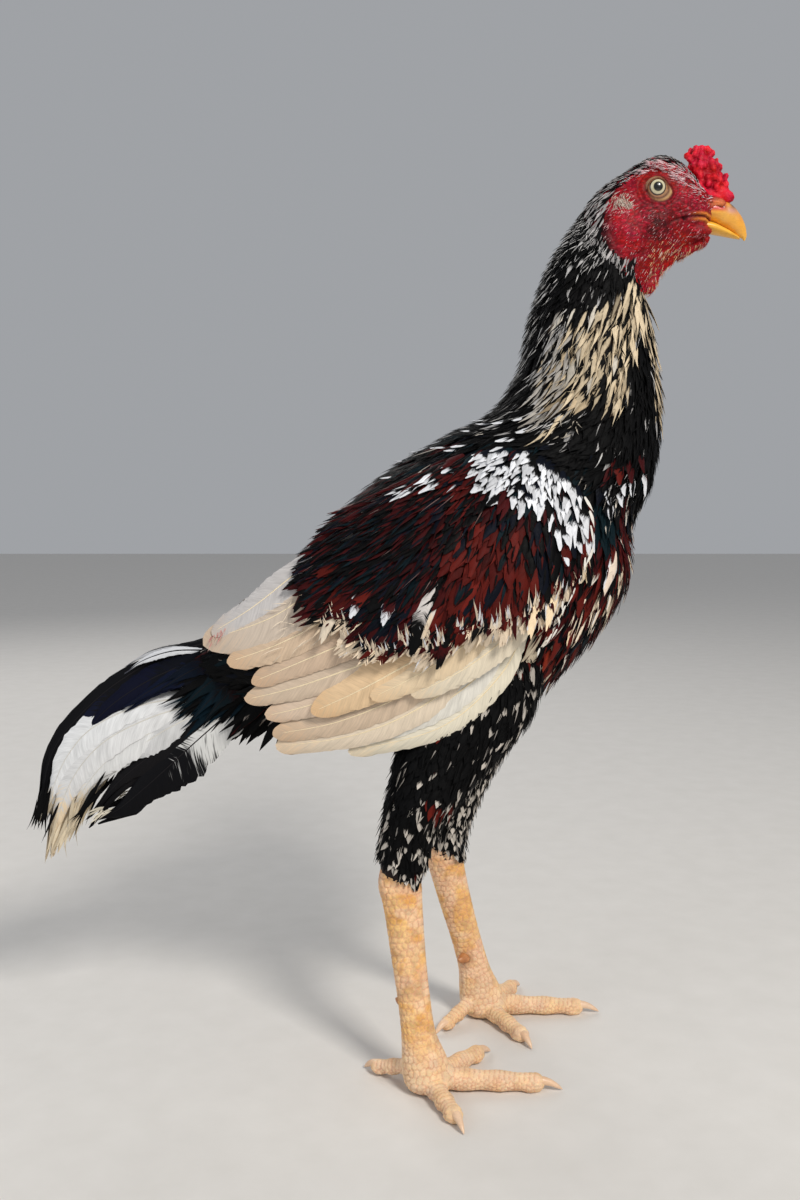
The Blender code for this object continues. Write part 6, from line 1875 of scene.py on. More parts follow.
# Flight feathers from the top down: line from root to tip (x, z), depths under the wing's face, half width, colour.
FLIGHT = (
    (((-0.030, 0.3480), (-0.062, 0.3235), (-0.090, 0.3015), (-0.1160, 0.2850)), (.0020, .0002, .0000, .0000), .0125,
     (196, 192, 190)),
    (((-0.020, 0.3350), (-0.050, 0.3150), (-0.080, 0.2955), (-0.1225, 0.2800)), (.0030, .0012, .0010, .0010), .0195,
     (201, 186, 170)),
    (((-0.016, 0.312), (-0.044, 0.297), (-0.074, 0.281), (-0.106, 0.2685)), (.0040, .0026, .0022, .0022), .0118,
     (208, 184, 158)),
    (((-0.006, 0.298), (-0.030, 0.285), (-0.060, 0.271), (-0.091, 0.2570)), (.0060, .0042, .0038, .0038), .0100,
     (204, 180, 156)),
    (((-0.004, 0.278), (-0.034, 0.266), (-0.066, 0.254), (-0.096, 0.2455)), (.0080, .0058, .0054, .0054), .0092,
     (208, 188, 166)),
    (((0.000, 0.266), (-0.030, 0.254), (-0.058, 0.243), (-0.084, 0.2355)), (.0100, .0078, .0072, .0072), .0092,
     (216, 194, 172)),
    (((0.034, 0.290), (0.002, 0.270), (-0.026, 0.254), (-0.054, 0.2400)), (.0060, .0045, .0042, .0042), .0132,
     (224, 194, 156)),
    (((0.066, 0.300), (0.040, 0.284), (0.012, 0.266), (-0.018, 0.2500)), (.0050, .0040, .0038, .0038), .0110,
     (226, 204, 172)),
    (((0.040, 0.276), (0.002, 0.252), (-0.038, 0.234), (-0.080, 0.2235)), (.0110, .0092, .0088, .0088), .0100,
     (208, 186, 162)),
    (((0.052, 0.276), (0.016, 0.246), (-0.026, 0.226), (-0.079, 0.2150)), (.0130, .0112, .0108, .0108), .0096,
     (224, 208, 186)),
    (((0.090, 0.306), (0.066, 0.288), (0.038, 0.268), (0.006, 0.2520)), (.0070, .0058, .0056, .0056), .0104,
     (224, 212, 190)),
    (((0.072, 0.292), (0.046, 0.260), (0.008, 0.236), (-0.040, 0.2190)), (.0150, .0130, .0126, .0126), .0100,
     (226, 222, 212)),
    (((0.084, 0.296), (0.064, 0.262), (0.026, 0.230), (-0.034, 0.2125)), (.0170, .0148, .0144, .0144), .0090,
     (226, 218, 198)),
)


def wing_flow(surface, a, b):
    """The coverts lie back along the wing at its rear and hang down at its front edge."""
    turn = 213 + 50 * step_up(-0.07, 0.115, a) - 10 * step_up(0.34, 0.40, b)
    turn = np.radians(turn)
    return np.stack([np.cos(turn), np.zeros_like(a), np.sin(turn)], -1)


def covert_marks(rng, p):
    """White-spotted shoulder, dark red and black coverts."""
    n = len(p)
    x, z = p[:, 0], p[:, 2]
    lumps = noise(p, 0.011, 101)
    patch = zone(x, z, WHITE_PATCH, 0.0030)
    spots = zone(x, z, WHITE_SPOTS, 0.0020)
    rust = np.maximum(zone(x, z, RUST_BOX, 0.004), 0.6 * zone(x, z, RUST_TOP, 0.006))
    dark_zone = zone(x, z, DARK_MIDDLE, 0.006)
    white = np.clip(0.82 * patch + 0.50 * spots + 0.03 * step_up(0.36, 0.38, z), 0, 0.9)
    red_share = np.clip(0.38 + 0.30 * lumps + 0.24 * rust - 0.22 * dark_zone, 0.06, 0.85) * (1 - 0.9 * patch)
    is_white = rng.random(n) < white
    is_red = rng.random(n) < red_share
    shade = rng.random((n, 1))
    red = MAROON * (0.65 + 0.5 * shade)
    red = red + (RUST * (0.75 + 0.4 * shade) - red) * (rust * (0.5 + 0.5 * shade[:, 0]))[:, None]
    # Painted sheen: some black coverts get a blue or green-blue sheen in their colour.
    dark = np.where(rng.random((n, 1)) < 0.30, BLUE_BLACK, BLACK)
    dark = np.where(rng.random((n, 1)) < 0.15, TEAL_BLACK, dark)
    base = np.where(is_red[:, None] & ~is_white[:, None], red, dark)
    tip = np.tile(srgb(236, 238, 243), (n, 1)) * rng.uniform(0.64, 1.0, (n, 1))
    tip_start = np.where(is_white, rng.uniform(0.34, 0.66, n), 2.0)
    edge = np.full(n, 2.0)
    # A narrow dark edge on some red feathers, a red one on some black feathers.
    swap = ~is_white & (rng.random(n) < 0.6)
    tip = np.where(swap[:, None], np.where(is_red[:, None], BLACK, MAROON), tip)
    edge = np.where(swap, rng.uniform(0.35, 0.85, n), edge)
    return base, tip, tip_start, edge, is_white


def reach_inside(a, b, length):
    """Feather lengths cut back so that the tips stay inside the coverts' outline."""
    outline = tuple((x, z + 0.003) for x, z in COVERT_EDGE) + COVERT_TOP
    way = wing_flow(WING, a, b)
    best = np.zeros_like(length)
    for share in np.linspace(0.35, 1.0, 9):
        tip_x, tip_z = a + way[:, 0] * length * share, b + way[:, 2] * length * share
        best = np.where(zone(tip_x, tip_z, outline, 0.0004) > 0.5, length * share, best)
    return best


def bold_place(a, above):
    """1 where the coverts are large and hang in clear rows, at the front of the wing's lower part."""
    return step_up(-0.005, 0.025, a) * step_up(0.060, 0.035, above)


def covert_coat(coat, rng):
    """Lesser and median coverts over the whole face of the wing."""
    outline = COVERT_EDGE + COVERT_TOP
    low_x, low_z = zip(*COVERT_EDGE)

    def keep(p, a, b):
        return zone(a, b, outline, 0.0008) > 0.5

    def spacing(p, a, b):
        above = b - np.interp(a, low_x, low_z)
        gap = np.interp(above, (0.0, 0.03, 0.07), (0.0054, 0.0048, 0.0042)) + 0.0016 * bold_place(a, above)
        return gap * (1 - 0.22 * zone(a, b, WHITE_PATCH, 0.002))

    a, b, p = scatter(WING, (-0.075, 0.26), (0.115, 0.41), spacing, 61, 50000, keep)
    above = b - np.interp(a, low_x, low_z)
    n = len(a)
    silky = step_up(0.040, 0.005, a) * step_up(0.0, 0.03, above)
    bold = bold_place(a, above)
    length = np.interp(above, (0.0, 0.03, 0.08), (0.020, 0.019, 0.0150)) * rng.uniform(0.85, 1.2, n) * (1 + 0.35 * silky + 0.35 * bold)
    length = reach_inside(a, b, length)
    ok = length > 0.006
    a, b, p, above, silky, bold, length = (v[ok] for v in (a, b, p, above, silky, bold, length))
    n = len(a)
    half = np.interp(above, (0.0, 0.03, 0.08), (0.0058, 0.0050, 0.0038)) * rng.uniform(0.75, 1.2, n) * (1 - 0.52 * silky + 0.18 * bold - 0.30 * zone(a, b, WHITE_PATCH, 0.002))
    rise = (0.0034 + 0.0012 * rng.random(n)) * np.interp(length, (0.008, 0.02), (0.6, 1.0))
    points = 6
    path = lay(WING, a, b, wing_flow, rng.normal(0, 0.09, n), length, rise, points, curl=rng.normal(0, 0.10, n))
    base, tip, tip_start, edge, _ = covert_marks(rng, path[0][:, 4])
    shape = leaf(points, 0.48, 0.38, 0.35)
    look = look_of(rng, base, tip, tip_start, edge, 0.07, length, wing_uv(a, b))
    coat.broad(path, half[:, None] * shape[None], 0.0004, (0.20 * half)[:, None] * shape[None], 5, look,
               round_tip=0.20, tooth=0.07, fray=0.20)


def covert_wisps(coat, rng):
    """Narrow loose strands that break up the red and black coverts."""
    outline = COVERT_EDGE + COVERT_TOP

    def keep(p, a, b):
        return (zone(a, b, outline, 0.0008) > 0.5) & (zone(a, b, WHITE_PATCH) < 0.5)

    a, b, p = scatter(WING, (-0.075, 0.27), (0.115, 0.41), lambda p, a, b: np.interp(a, (0.0, 0.08), (0.0032, 0.0054)),
                      62, 50000, keep)
    length = reach_inside(a, b, rng.uniform(0.012, 0.024, len(a)))
    ok = length > 0.006
    a, b, length = a[ok], b[ok], length[ok]
    n = len(a)
    path = lay(WING, a, b, wing_flow, rng.normal(0, 0.14, n), length, 0.0050 * rng.uniform(0.8, 1.15, n), 6,
               curl=rng.normal(0, 0.18, n))
    base, tip, tip_start, edge, is_white = covert_marks(rng, path[0][:, 4])
    light = rng.random(n) < 0.04
    base = np.where(light[:, None], srgb(120, 96, 92), base)
    half = np.where(light, 0.0003, rng.uniform(0.0006, 0.0014, n))
    shape = leaf(6, 0.4, 0.0, 0.55)
    look = look_of(rng, base, tip, tip_start, 2.0, 0.1, length, wing_uv(a, b))
    coat.slim(path, half[:, None] * shape[None], 0.0003, (0.15 * half)[:, None] * shape[None], look)


# Feathers of the wing laid one by one: root (x, z), way, length, half width, colour, tip colour, tip and edge start.
WING_FEATHERS = (
    ((0.0215, 0.3240), 252, 0.048, 0.0062, srgb(206, 200, 196), BLACK, 0.54, 2.0),
    ((0.0240, 0.3190), 250, 0.034, 0.0030, srgb(214, 206, 198), srgb(214, 196, 172), 0.6, 2.0),
    ((-0.0190, 0.3180), 250, 0.022, 0.0050, MAROON, WHITE, 0.74, 0.8),
    ((-0.0020, 0.3160), 252, 0.023, 0.0050, MAROON, WHITE, 0.74, 0.8),
    ((-0.0330, 0.3150), 252, 0.034, 0.0050, srgb(214, 200, 180), srgb(60, 56, 56), 2.0, 0.85),
    ((-0.0500, 0.3180), 244, 0.022, 0.0055, BLACK, srgb(70, 20, 20), 2.0, 0.6),
    ((0.0330, 0.3050), 250, 0.036, 0.0050, MAROON, BLACK, 0.80, 2.0),
    ((0.0820, 0.3240), 254, 0.036, 0.0050, CREAM, WHITE, 2.0, 0.8),
    ((0.0930, 0.3270), 250, 0.036, 0.0046, CREAM, WHITE, 2.0, 0.8),
    ((0.1080, 0.3570), 258, 0.014, 0.0034, BLACK, WHITE, 0.5, 2.0),
    ((0.0960, 0.3520), 262, 0.013, 0.0034, BLACK, WHITE, 0.5, 2.0),
    ((0.0960, 0.3400), 262, 0.012, 0.0032, BLACK, WHITE, 0.55, 2.0),
    ((0.1040, 0.3470), 260, 0.012, 0.0032, BLACK, WHITE, 0.5, 2.0),
    ((0.0520, 0.3790), 236, 0.016, 0.0040, BLACK, WHITE, 0.55, 2.0),
    ((0.0600, 0.3710), 232, 0.015, 0.0040, BLACK, WHITE, 2.0, 0.62),
)


def great_coverts(coat, rng):
    """The lowest coverts row by row, with torn pale tips that show under the red ones."""
    line = np.array(COVERT_EDGE)
    rows = ((26, -0.0090, 0.030, 0.0052, 0.0), (28, -0.0035, 0.032, 0.0058, 0.0004), (25, 0.0010, 0.034, 0.0068, 0.0010),
            (24, 0.0085, 0.030, 0.0064, 0.0016), (22, 0.0160, 0.026, 0.0060, 0.0022))
    for row, (count, up, long, wide, high) in enumerate(rows):
        share = (np.arange(count) + 0.5) / count + rng.normal(0, 0.006, count)
        tips = spline(line, share)
        turn = wing_flow(WING, tips[:, 0], tips[:, 1])
        flat = np.stack([turn[:, 0], turn[:, 2]], -1)
        wave = 0.0085 * noise(np.stack([tips[:, 0], 0 * tips[:, 0], 0 * tips[:, 0]], -1), 0.013, 131) if row > 1 else 0.0
        tips = tips - flat * (up + wave + rng.normal(0, 0.0028, count))[:, None]
        length = long * rng.uniform(0.9, 1.1, count)
        roots = tips - flat * length[:, None]
        a, b = roots[:, 0], roots[:, 1]
        ok = (a < 0.112) & ((row > 1) | ((tips[:, 0] > -0.045) & (tips[:, 0] < 0.094)))
        a, b, length, tips = a[ok], b[ok], length[ok], tips[ok]
        n = len(a)
        x = tips[:, 0]
        shade = rng.random((n, 1))
        if row < 2:
            base = srgb(232, 212, 186) * (0.74 + 0.20 * shade)
            tip, tip_start, edge = WHITE, np.full(n, 2.0), np.where(shade[:, 0] < 0.5, 0.75, 2.0)
            tooth = 0.16
        else:
            red = rng.random(n) < np.where((x > 0.02) | (x < -0.045), 0.72, 0.45)
            # Painted sheen: some of the black coverts are blue-black.
            base = np.where(red[:, None], RUST * (0.55 + 0.45 * shade), np.where(shade < 0.6, BLACK, BLUE_BLACK))
            tip, tip_start, edge = PEACH, rng.uniform(0.90, 1.06, n) + 0.3 * (row > 2), np.full(n, 2.0)
            tooth = 0.14
        half = wide * rng.uniform(0.9, 1.15, n)
        points, columns = 9, 9
        path = lay(WING, a, b, wing_flow, rng.normal(0, 0.06, n), length, 0.0022 + high, points, curl=rng.normal(0, 0.05, n))
        shape = leaf(points, 0.5, 0.55, 0.5)
        look = look_of(rng, base, tip, tip_start, edge, 0.05, length, wing_uv(a, b))
        coat.broad(path, half[:, None] * shape[None], 0.00045, (0.20 * half)[:, None] * shape[None], columns, look,
                   round_tip=0.16, tooth=tooth, fray=0.10)
    covert_points(coat, rng, line)
    pale_flames(coat, rng, line)
    edge_barbs(coat, rng)
    for (x, z), way, long, half, base, tip, start, edge in WING_FEATHERS:
        look = look_of(rng, base, tip, start, edge, 0.10, np.array([long]), wing_uv(np.array([x]), np.array([z])), 0.0)
        single(coat, WING, ([x], [z]), way, long, half, 0.0058 + 0.0014 * (half > 0.0055), look, tooth=0.08 if half > 0.0045 else 0.03, curl=0.05)


# The pale line down the wing's front edge, (x, z).
FRONT_LINE = ((0.1086, 0.3674), (0.1123, 0.3547), (0.1114, 0.3385), (0.1052, 0.3246), (0.1007, 0.3140),
              (0.0933, 0.3023), (0.0922, 0.2947), (0.0848, 0.2847), (0.0784, 0.2759))


def edge_barbs(coat, rng):
    """Long thin white barbs end to end down the wing's front edge."""
    line = np.array(FRONT_LINE)
    for i in range(13):
        first = 0.92 * (i + rng.uniform(-0.4, 0.4)) / 12
        last = min(first + rng.uniform(0.05, 0.12), 1.0)
        wide = rng.uniform(0.0006, 0.0011) * (1.3 - 0.7 * max(first, 0))
        part = spline(line, np.linspace(max(first, 0), last, 14))
        part = part + np.array([1.0, 0.0]) * np.linspace(rng.normal(-0.0016, 0.0010), rng.normal(0, 0.0006), 14)[:, None]
        path = drawn(part, (-0.0046,) * 14, 22, WING)
        length = float(np.linalg.norm(np.diff(part, axis=0), axis=1).sum())
        look = look_of(rng, srgb(228, 224, 216), WHITE, 2.0, 2.0, 0.1, np.array([length]), wing_uv(part[:1, 0], part[:1, 1]), 0.0)
        coat.slim(path, wide * leaf(22, 0.4, 0.0, 0.6)[None], 0.0003, 0.0001, look)


def pale_flames(coat, rng, line):
    """Cream barbs of the flight feathers' roots that lick up between the lowest coverts."""
    groups = 24
    share = np.repeat((np.arange(groups) + rng.uniform(-0.4, 0.4, groups) + 0.5) / groups, 6)
    tall = np.repeat(rng.uniform(0.35, 1.0, groups), 6)
    root = spline(line, share) + np.stack([rng.normal(0, 0.0021, len(share)), rng.normal(-0.0052, 0.0014, len(share))], -1)
    ok = (root[:, 0] > -0.046) & (root[:, 0] < 0.100)
    root, tall = root[ok], tall[ok]
    n = len(root)
    length = (0.0045 + 0.0175 * tall) * rng.uniform(0.6, 1.1, n) * np.interp(root[:, 0], (-0.04, 0.05), (0.8, 1.1))
    path = lay(WING, root[:, 0], root[:, 1], up_wing, rng.normal(0, 0.10, n), length, 0.0062 * rng.uniform(0.85, 1.1, n), 9,
               curl=rng.normal(0, 0.10, n))
    base = srgb(236, 218, 194) * (0.74 + 0.22 * rng.random((n, 1)))
    look = look_of(rng, base, WHITE, np.where(rng.random(n) < 0.3, 0.6, 2.0), 2.0, 0.2, length, wing_uv(root[:, 0], root[:, 1]), 0.06)
    half = rng.uniform(0.0010, 0.0022, n)
    coat.slim(path, half[:, None] * leaf(9, 0.10, 0.0, 0.9)[None], 0.0003, (0.1 * half)[:, None], look)


def up_wing(surface, a, b):
    return np.stack([np.full_like(a, -0.17), np.zeros_like(a), np.full_like(a, 0.98)], -1)


def covert_points(coat, rng, line):
    """Ragged points of dark and pale barbs that hang past the lowest coverts."""
    for pale, count, past in ((True, 110, 0.0050), (False, 90, 0.0045)):
        tips = spline(line, rng.random(count))
        ok = (tips[:, 0] > -0.056) if pale else (tips[:, 0] > -0.07)
        tips = tips[ok]
        n = len(tips)
        turn = wing_flow(WING, tips[:, 0], tips[:, 1])
        flat = np.stack([turn[:, 0], turn[:, 2]], -1)
        length = rng.uniform(0.010, 0.020, n)
        roots = tips + flat * (past * rng.uniform(-0.6, 1.6, n) - length)[:, None]
        path = lay(WING, roots[:, 0], roots[:, 1], wing_flow, rng.normal(0, 0.16, n), length, 0.0042 + 0.0012 * (not pale), 7,
                   curl=rng.normal(0, 0.2, n))
        shade = rng.random((n, 1))
        dark = np.where(shade < 0.6, MAROON * (0.7 + 0.6 * shade), BLACK)
        base = PEACH * (0.62 + 0.34 * shade) if pale else dark
        look = look_of(rng, base, BLACK, 2.0, 2.0, 0.1, length, wing_uv(roots[:, 0], roots[:, 1]))
        half = rng.uniform(0.0004, 0.0012, n) if pale else rng.uniform(0.0012, 0.0032, n)
        coat.slim(path, half[:, None] * leaf(7, 0.35, 0.2, 0.8)[None], 0.0003, (0.15 * half)[:, None], look)


def drawn(line, depths, points, surface):
    """A feather's path along a line on a surface, at depths under it."""
    share = np.linspace(0, 1, points)
    flat = spline(line, share)
    deep = spline(np.array(depths)[:, None], share)[:, 0]
    centre = surface.at(flat[:, 0], flat[:, 1], -deep)
    normal = surface.normal(flat[:, 0], flat[:, 1])
    return framed(centre[None], normal[None])


def framed(centre, normal):
    ahead = unit(np.gradient(centre, axis=1))
    side = unit(np.cross(normal, ahead))
    return centre, np.cross(ahead, side), side, ahead


def shaft(coat, path, reach, tone, uv, rng, wide=0.00075, share=0.96):
    """The pale quill that runs down the middle of a vane."""
    centre, normal, side, ahead = path
    k = centre.shape[1]
    last = int(k * share)
    cut = tuple(x[:, :last] for x in path)
    raised = (cut[0] + cut[1] * 0.00030, cut[1], cut[2], cut[3])
    taper = np.linspace(1, 0.25, last)[None]
    look = look_of(rng, tone, tone, 2.0, 2.0, 0.1, np.array([reach]), uv, 0.0)
    coat.slim(raised, wide * taper, 0.0008 * taper, 0.0, look)


def flight_coat(coat, rng):
    for i, (line, depths, half, tone) in enumerate(FLIGHT):
        points = 46
        path = drawn(np.array(line), depths, points, WING)
        reach = float(np.linalg.norm(np.diff(path[0][0], axis=0), axis=1).sum())
        uv = wing_uv(np.array([line[0][0]]), np.array([line[0][1]]))
        tip = srgb(*tone) * np.array([0.96, 0.88, 0.80])
        look = look_of(rng, srgb(*tone), tip, 0.90, 2.0, 0.12, np.array([reach]), uv, 0.0)
        shape = leaf(points, 0.42, 0.66, 0.42)
        width = half * shape * (1 + 0.025 * RNG.normal(0, 1, points))
        coat.broad(path, width[None], 0.0005, 0.16 * half, 11, look, round_tip=0.9 * half / reach, tooth=0.006, fray=0.035)
        shaft(coat, path, reach, srgb(250, 232, 196), uv, rng, 0.0006)
    # Loose cream barbs over the uppermost feathers
    n = 26
    x = rng.uniform(-0.075, -0.035, n)
    z = 0.322 + 0.55 * (x + 0.035) + rng.uniform(-0.028, 0.006, n)
    path = lay(WING, x, z, wing_flow, rng.normal(0, 0.5, n), rng.uniform(0.008, 0.02, n), 0.0030, 6, curl=rng.normal(0, 0.5, n))
    reach = np.full(n, 0.015)
    look = look_of(rng, srgb(222, 206, 184), srgb(222, 206, 184), 2.0, 2.0, 0.1, reach, wing_uv(x, z))
    coat.slim(path, 0.00026 * leaf(6, 0.4, 0.0, 0.6)[None], 0.0002, 0.0, look)
    # Pinkish barbs near the tip of the uppermost feather
    n = 14
    x = rng.uniform(-0.116, -0.106, n)
    z = 0.2865 + 0.55 * (x + 0.108) + rng.uniform(-0.003, 0.004, n)
    path = lay(WING, x, z, wing_flow, 0.7 + rng.normal(0, 0.08, n), 0.007, 0.0008, 5)
    look = look_of(rng, srgb(196, 132, 128), srgb(214, 180, 168), 0.6, 2.0, 0.2, np.full(n, 0.007), wing_uv(x, z))
    coat.slim(path, 0.00035 * leaf(5, 0.4, 0.0, 0.6)[None], 0.0002, 0.0, look)


def wing_coats(covert_material, flight_material):
    for side, word in ((-1, "right"), (1, "left")):
        rng = np.random.default_rng(70 + side)
        coverts, flights = Coat(), Coat()
        flight_coat(flights, rng)
        covert_coat(coverts, rng)
        great_coverts(coverts, rng)
        covert_wisps(coverts, rng)
        one = coverts.build(f"wing_coverts_{word}", covert_material, mirrored=side == 1)
        two = flights.build(f"flight_feathers_{word}", flight_material, mirrored=side == 1)
        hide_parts(f"wing_{word}")


# Tail

INK = (13, 13, 16)
TAIL = (
    # line (x, z), distances from the middle plane, half width, colour, tip colour, where the tip colour starts, roll
    # The blue and green-blue colours and tips of the black feathers are a painted sheen.
    (((-.0960, .2440), (-.1080, .2320), (-.1300, .2125), (-.1470, .1970), (-.1628, .1828), (-.1810, .1680),
      (-.1955, .1615)), (.010, .0150, .0185, .0190, .0185, .0175, .0150), .0178, (214, 214, 212), INK, 0.36, 0.30),
    (((-.1000, .2500), (-.1240, .2300), (-.1530, .2080), (-.1800, .1860), (-.2010, .1610)),
     (.010, .0150, .0165, .0150, .0120), .0096, (20, 19, 21), INK, 0.8, 0.34),
    (((-.1250, .2320), (-.1500, .2195), (-.1720, .2050), (-.1880, .1930)),
     (.0140, .0160, .0158, .0150), .0100, (202, 202, 202), (206, 196, 178), 0.86, 0.36),
    (((-.1300, .2300), (-.1580, .2185), (-.1820, .2040), (-.2000, .1850), (-.2140, .1600)),
     (.0130, .0150, .0150, .0135, .0105), .0104, (212, 212, 211), (208, 190, 160), 0.84, 0.40),
    (((-.1300, .2360), (-.1600, .2270), (-.1900, .2110), (-.2100, .1880), (-.2215, .1600), (-.2265, .1345)),
     (.0120, .0135, .0135, .0120, .0098, .0075), .0112, (214, 214, 214), (222, 202, 172), 0.72, 0.44),
    (((-.1397, .2400), (-.1700, .2335), (-.1980, .2195), (-.2150, .2000), (-.2260, .1760), (-.2330, .1600)),
     (.0105, .0112, .0108, .0098, .0080, .0062), .0104, (216, 217, 218), (216, 202, 178), 0.82, 0.46),
    (((-.1000, .2760), (-.1450, .2620), (-.1780, .2440), (-.2030, .2210), (-.2190, .1970), (-.2260, .1760)),
     (.0055, .0078, .0080, .0074, .0060, .0045), .0096, INK, (16, 20, 40), 0.5, 0.5),
    (((-.1020, .2800), (-.1500, .2665), (-.1780, .2510), (-.1985, .2350), (-.2190, .2130), (-.2290, .1930),
      (-.2335, .1660)), (.0036, .0045, .0046, .0044, .0038, .0032, .0026), .0068, INK, INK, 2.0, 0.5),
    (((-.1020, .2790), (-.1560, .2640), (-.2000, .2330), (-.2250, .2000), (-.2330, .1750), (-.2400, .1545)),
     (.0026, .0030, .0032, .0030, .0024, .0018), .0052, INK, INK, 2.0, 0.5),
    (((-.0980, .2740), (-.1300, .2640), (-.1620, .2500), (-.1900, .2300), (-.2080, .2060)),
     (.0085, .0115, .0118, .0108, .0090), .0094, (10, 12, 20), (10, 13, 32), 0.45, 0.46),
    (((-.0960, .2700), (-.1220, .2620), (-.1500, .2500), (-.1760, .2340)),
     (.0100, .0145, .0150, .0138), .0080, (10, 12, 18), (11, 18, 38), 0.55, 0.42),
    (((-.1230, .2700), (-.1450, .2695), (-.1640, .2635), (-.1770, .2545)),
     (.0080, .0086, .0084, .0076), .0030, (206, 208, 212), (90, 92, 104), 0.85, 0.5),
    (((-.0920, .2680), (-.1080, .2600), (-.1260, .2460), (-.1430, .2300)),
     (.0130, .0180, .0190, .0172), .0066, (9, 17, 22), (9, 25, 32), 0.5, 0.40),
    (((-.0900, .2640), (-.1040, .2540), (-.1200, .2400), (-.1330, .2250)),
     (.0140, .0195, .0210, .0195), .0062, (11, 10, 12), (9, 28, 38), 0.55, 0.38),
    (((-.0900, .2600), (-.1020, .2500), (-.1140, .2380), (-.1240, .2260)),
     (.0145, .0205, .0220, .0210), .0060, (28, 9, 10), (9, 22, 28), 0.5, 0.36),
    (((-.0940, .2720), (-.1140, .2660), (-.1360, .2560), (-.1560, .2430)),
     (.0110, .0158, .0170, .0156), .0058, (30, 9, 10), (9, 18, 32), 0.5, 0.42),
)


def tail_path(line, away, roll, points):
    share = np.linspace(0, 1, points)
    flat = spline(line, share)
    out = spline(np.array(away)[:, None], share)[:, 0]
    centre = np.stack([flat[:, 0], -out, flat[:, 1]], -1)
    normal = np.tile([0.0, -math.cos(roll), math.sin(roll)], (points, 1))
    return framed(centre[None], normal[None])


def tail_coat(material):
    coat = Coat()
    rng = np.random.default_rng(80)
    points = 40
    for line, away, half, tone, tip, start, roll in TAIL:
        line = np.array(line)
        for copy in range(3):
            drift = np.linspace(0, 1, len(line))[:, None] * rng.normal(0, 0.0022, 2) * (copy > 0)
            own = line + drift
            out = np.maximum(np.array(away) - 0.0011 * copy, 0.0008)
            path = tail_path(own, out, roll + 0.05 * copy, points)
            reach = float(np.linalg.norm(np.diff(path[0][0], axis=0), axis=1).sum())
            uv = np.array([[0.1 + 0.8 * rng.random(), 0.1 + 0.8 * rng.random()]])
            # Painted shade: each copy that lies further under the first is darker.
            under = 1 - 0.16 * copy
            look = look_of(rng, srgb(*tone) * under, srgb(*tip) * under, start, 2.0, 0.05, np.array([reach]), uv, 0.03)
            narrow = 1 - 0.18 * copy
            shape = leaf(points, 0.42, 0.16 if half > 0.0075 else 0.06, 0.5)
            width = narrow * half * shape * (1 + 0.03 * rng.normal(0, 1, points))
            coat.broad(path, width[None], 0.0005, 0.14 * half, 9, look, round_tip=1.2 * half / reach, tooth=0.02, fray=0.07)
            if copy == 0:
                pale = srgb(*tone).mean() > 0.3
                quill = srgb(214, 211, 203) if pale and half < 0.015 else srgb(30, 28, 30)
                shaft(coat, path, reach, quill if half > 0.005 else srgb(30, 30, 34), uv, rng, 0.0005)
    tail_ends(coat, rng)
    # Loose barbs along the upper edge and narrow coverts over the roots
    n = 150
    x = rng.uniform(-0.108, -0.088, n)
    z = 0.262 + rng.uniform(-0.016, 0.020, n)
    out = 0.012 + 0.004 * rng.random(n) - 0.010 * step_up(0.262, 0.282, z)
    turn = np.radians(rng.normal(212, 9, n) + 12 * step_up(0.255, 0.245, z))
    length = rng.uniform(0.025, 0.055, n)
    share = np.linspace(0, 1, 8)[None]
    px = x[:, None] + np.cos(turn)[:, None] * length[:, None] * share
    pz = z[:, None] + np.sin(turn)[:, None] * length[:, None] * share - 0.10 * length[:, None] * share ** 2
    py = -(out[:, None] + 0.006 * share * (1 - 0.6 * share))
    centre = np.stack([px, py, pz], -1)
    normal = np.tile([0.0, -0.9, 0.42], (n, 8, 1))
    path = framed(centre, normal)
    choice = rng.random((n, 1))
    # Painted sheen: some of these black barbs are teal-black or blue-black, and some have a green-blue sheen at the
    # tip.
    base = np.where(choice < 0.6, BLACK, np.where(choice < 0.78, TEAL_BLACK, np.where(choice < 0.9, BLUE_BLACK, srgb(60, 20, 22))))
    tip = np.where(rng.random((n, 1)) < 0.35, srgb(9, 28, 38), BLACK)
    uv = np.stack([0.1 + 0.8 * rng.random(n), 0.1 + 0.8 * rng.random(n)], -1)
    look = look_of(rng, base, tip, 0.4, 2.0, 0.2, length, uv)
    coat.slim(path, rng.uniform(0.0010, 0.0030, n)[:, None] * leaf(8, 0.5, 0.0, 0.4)[None], 0.0004, 0.0004, look)
    both(coat)
    obj = coat.build("tail_feathers", material)
    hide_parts("tail")
    return obj


# The tail's ragged end seen from the side: x, z.
TAIL_ENDS = ((-0.2398, -0.2334, -0.2306, -0.2262, -0.2195, -0.2140, -0.2086, -0.2046),
             (0.1559, 0.1526, 0.1393, 0.1339, 0.1393, 0.1492, 0.1579, 0.1645))


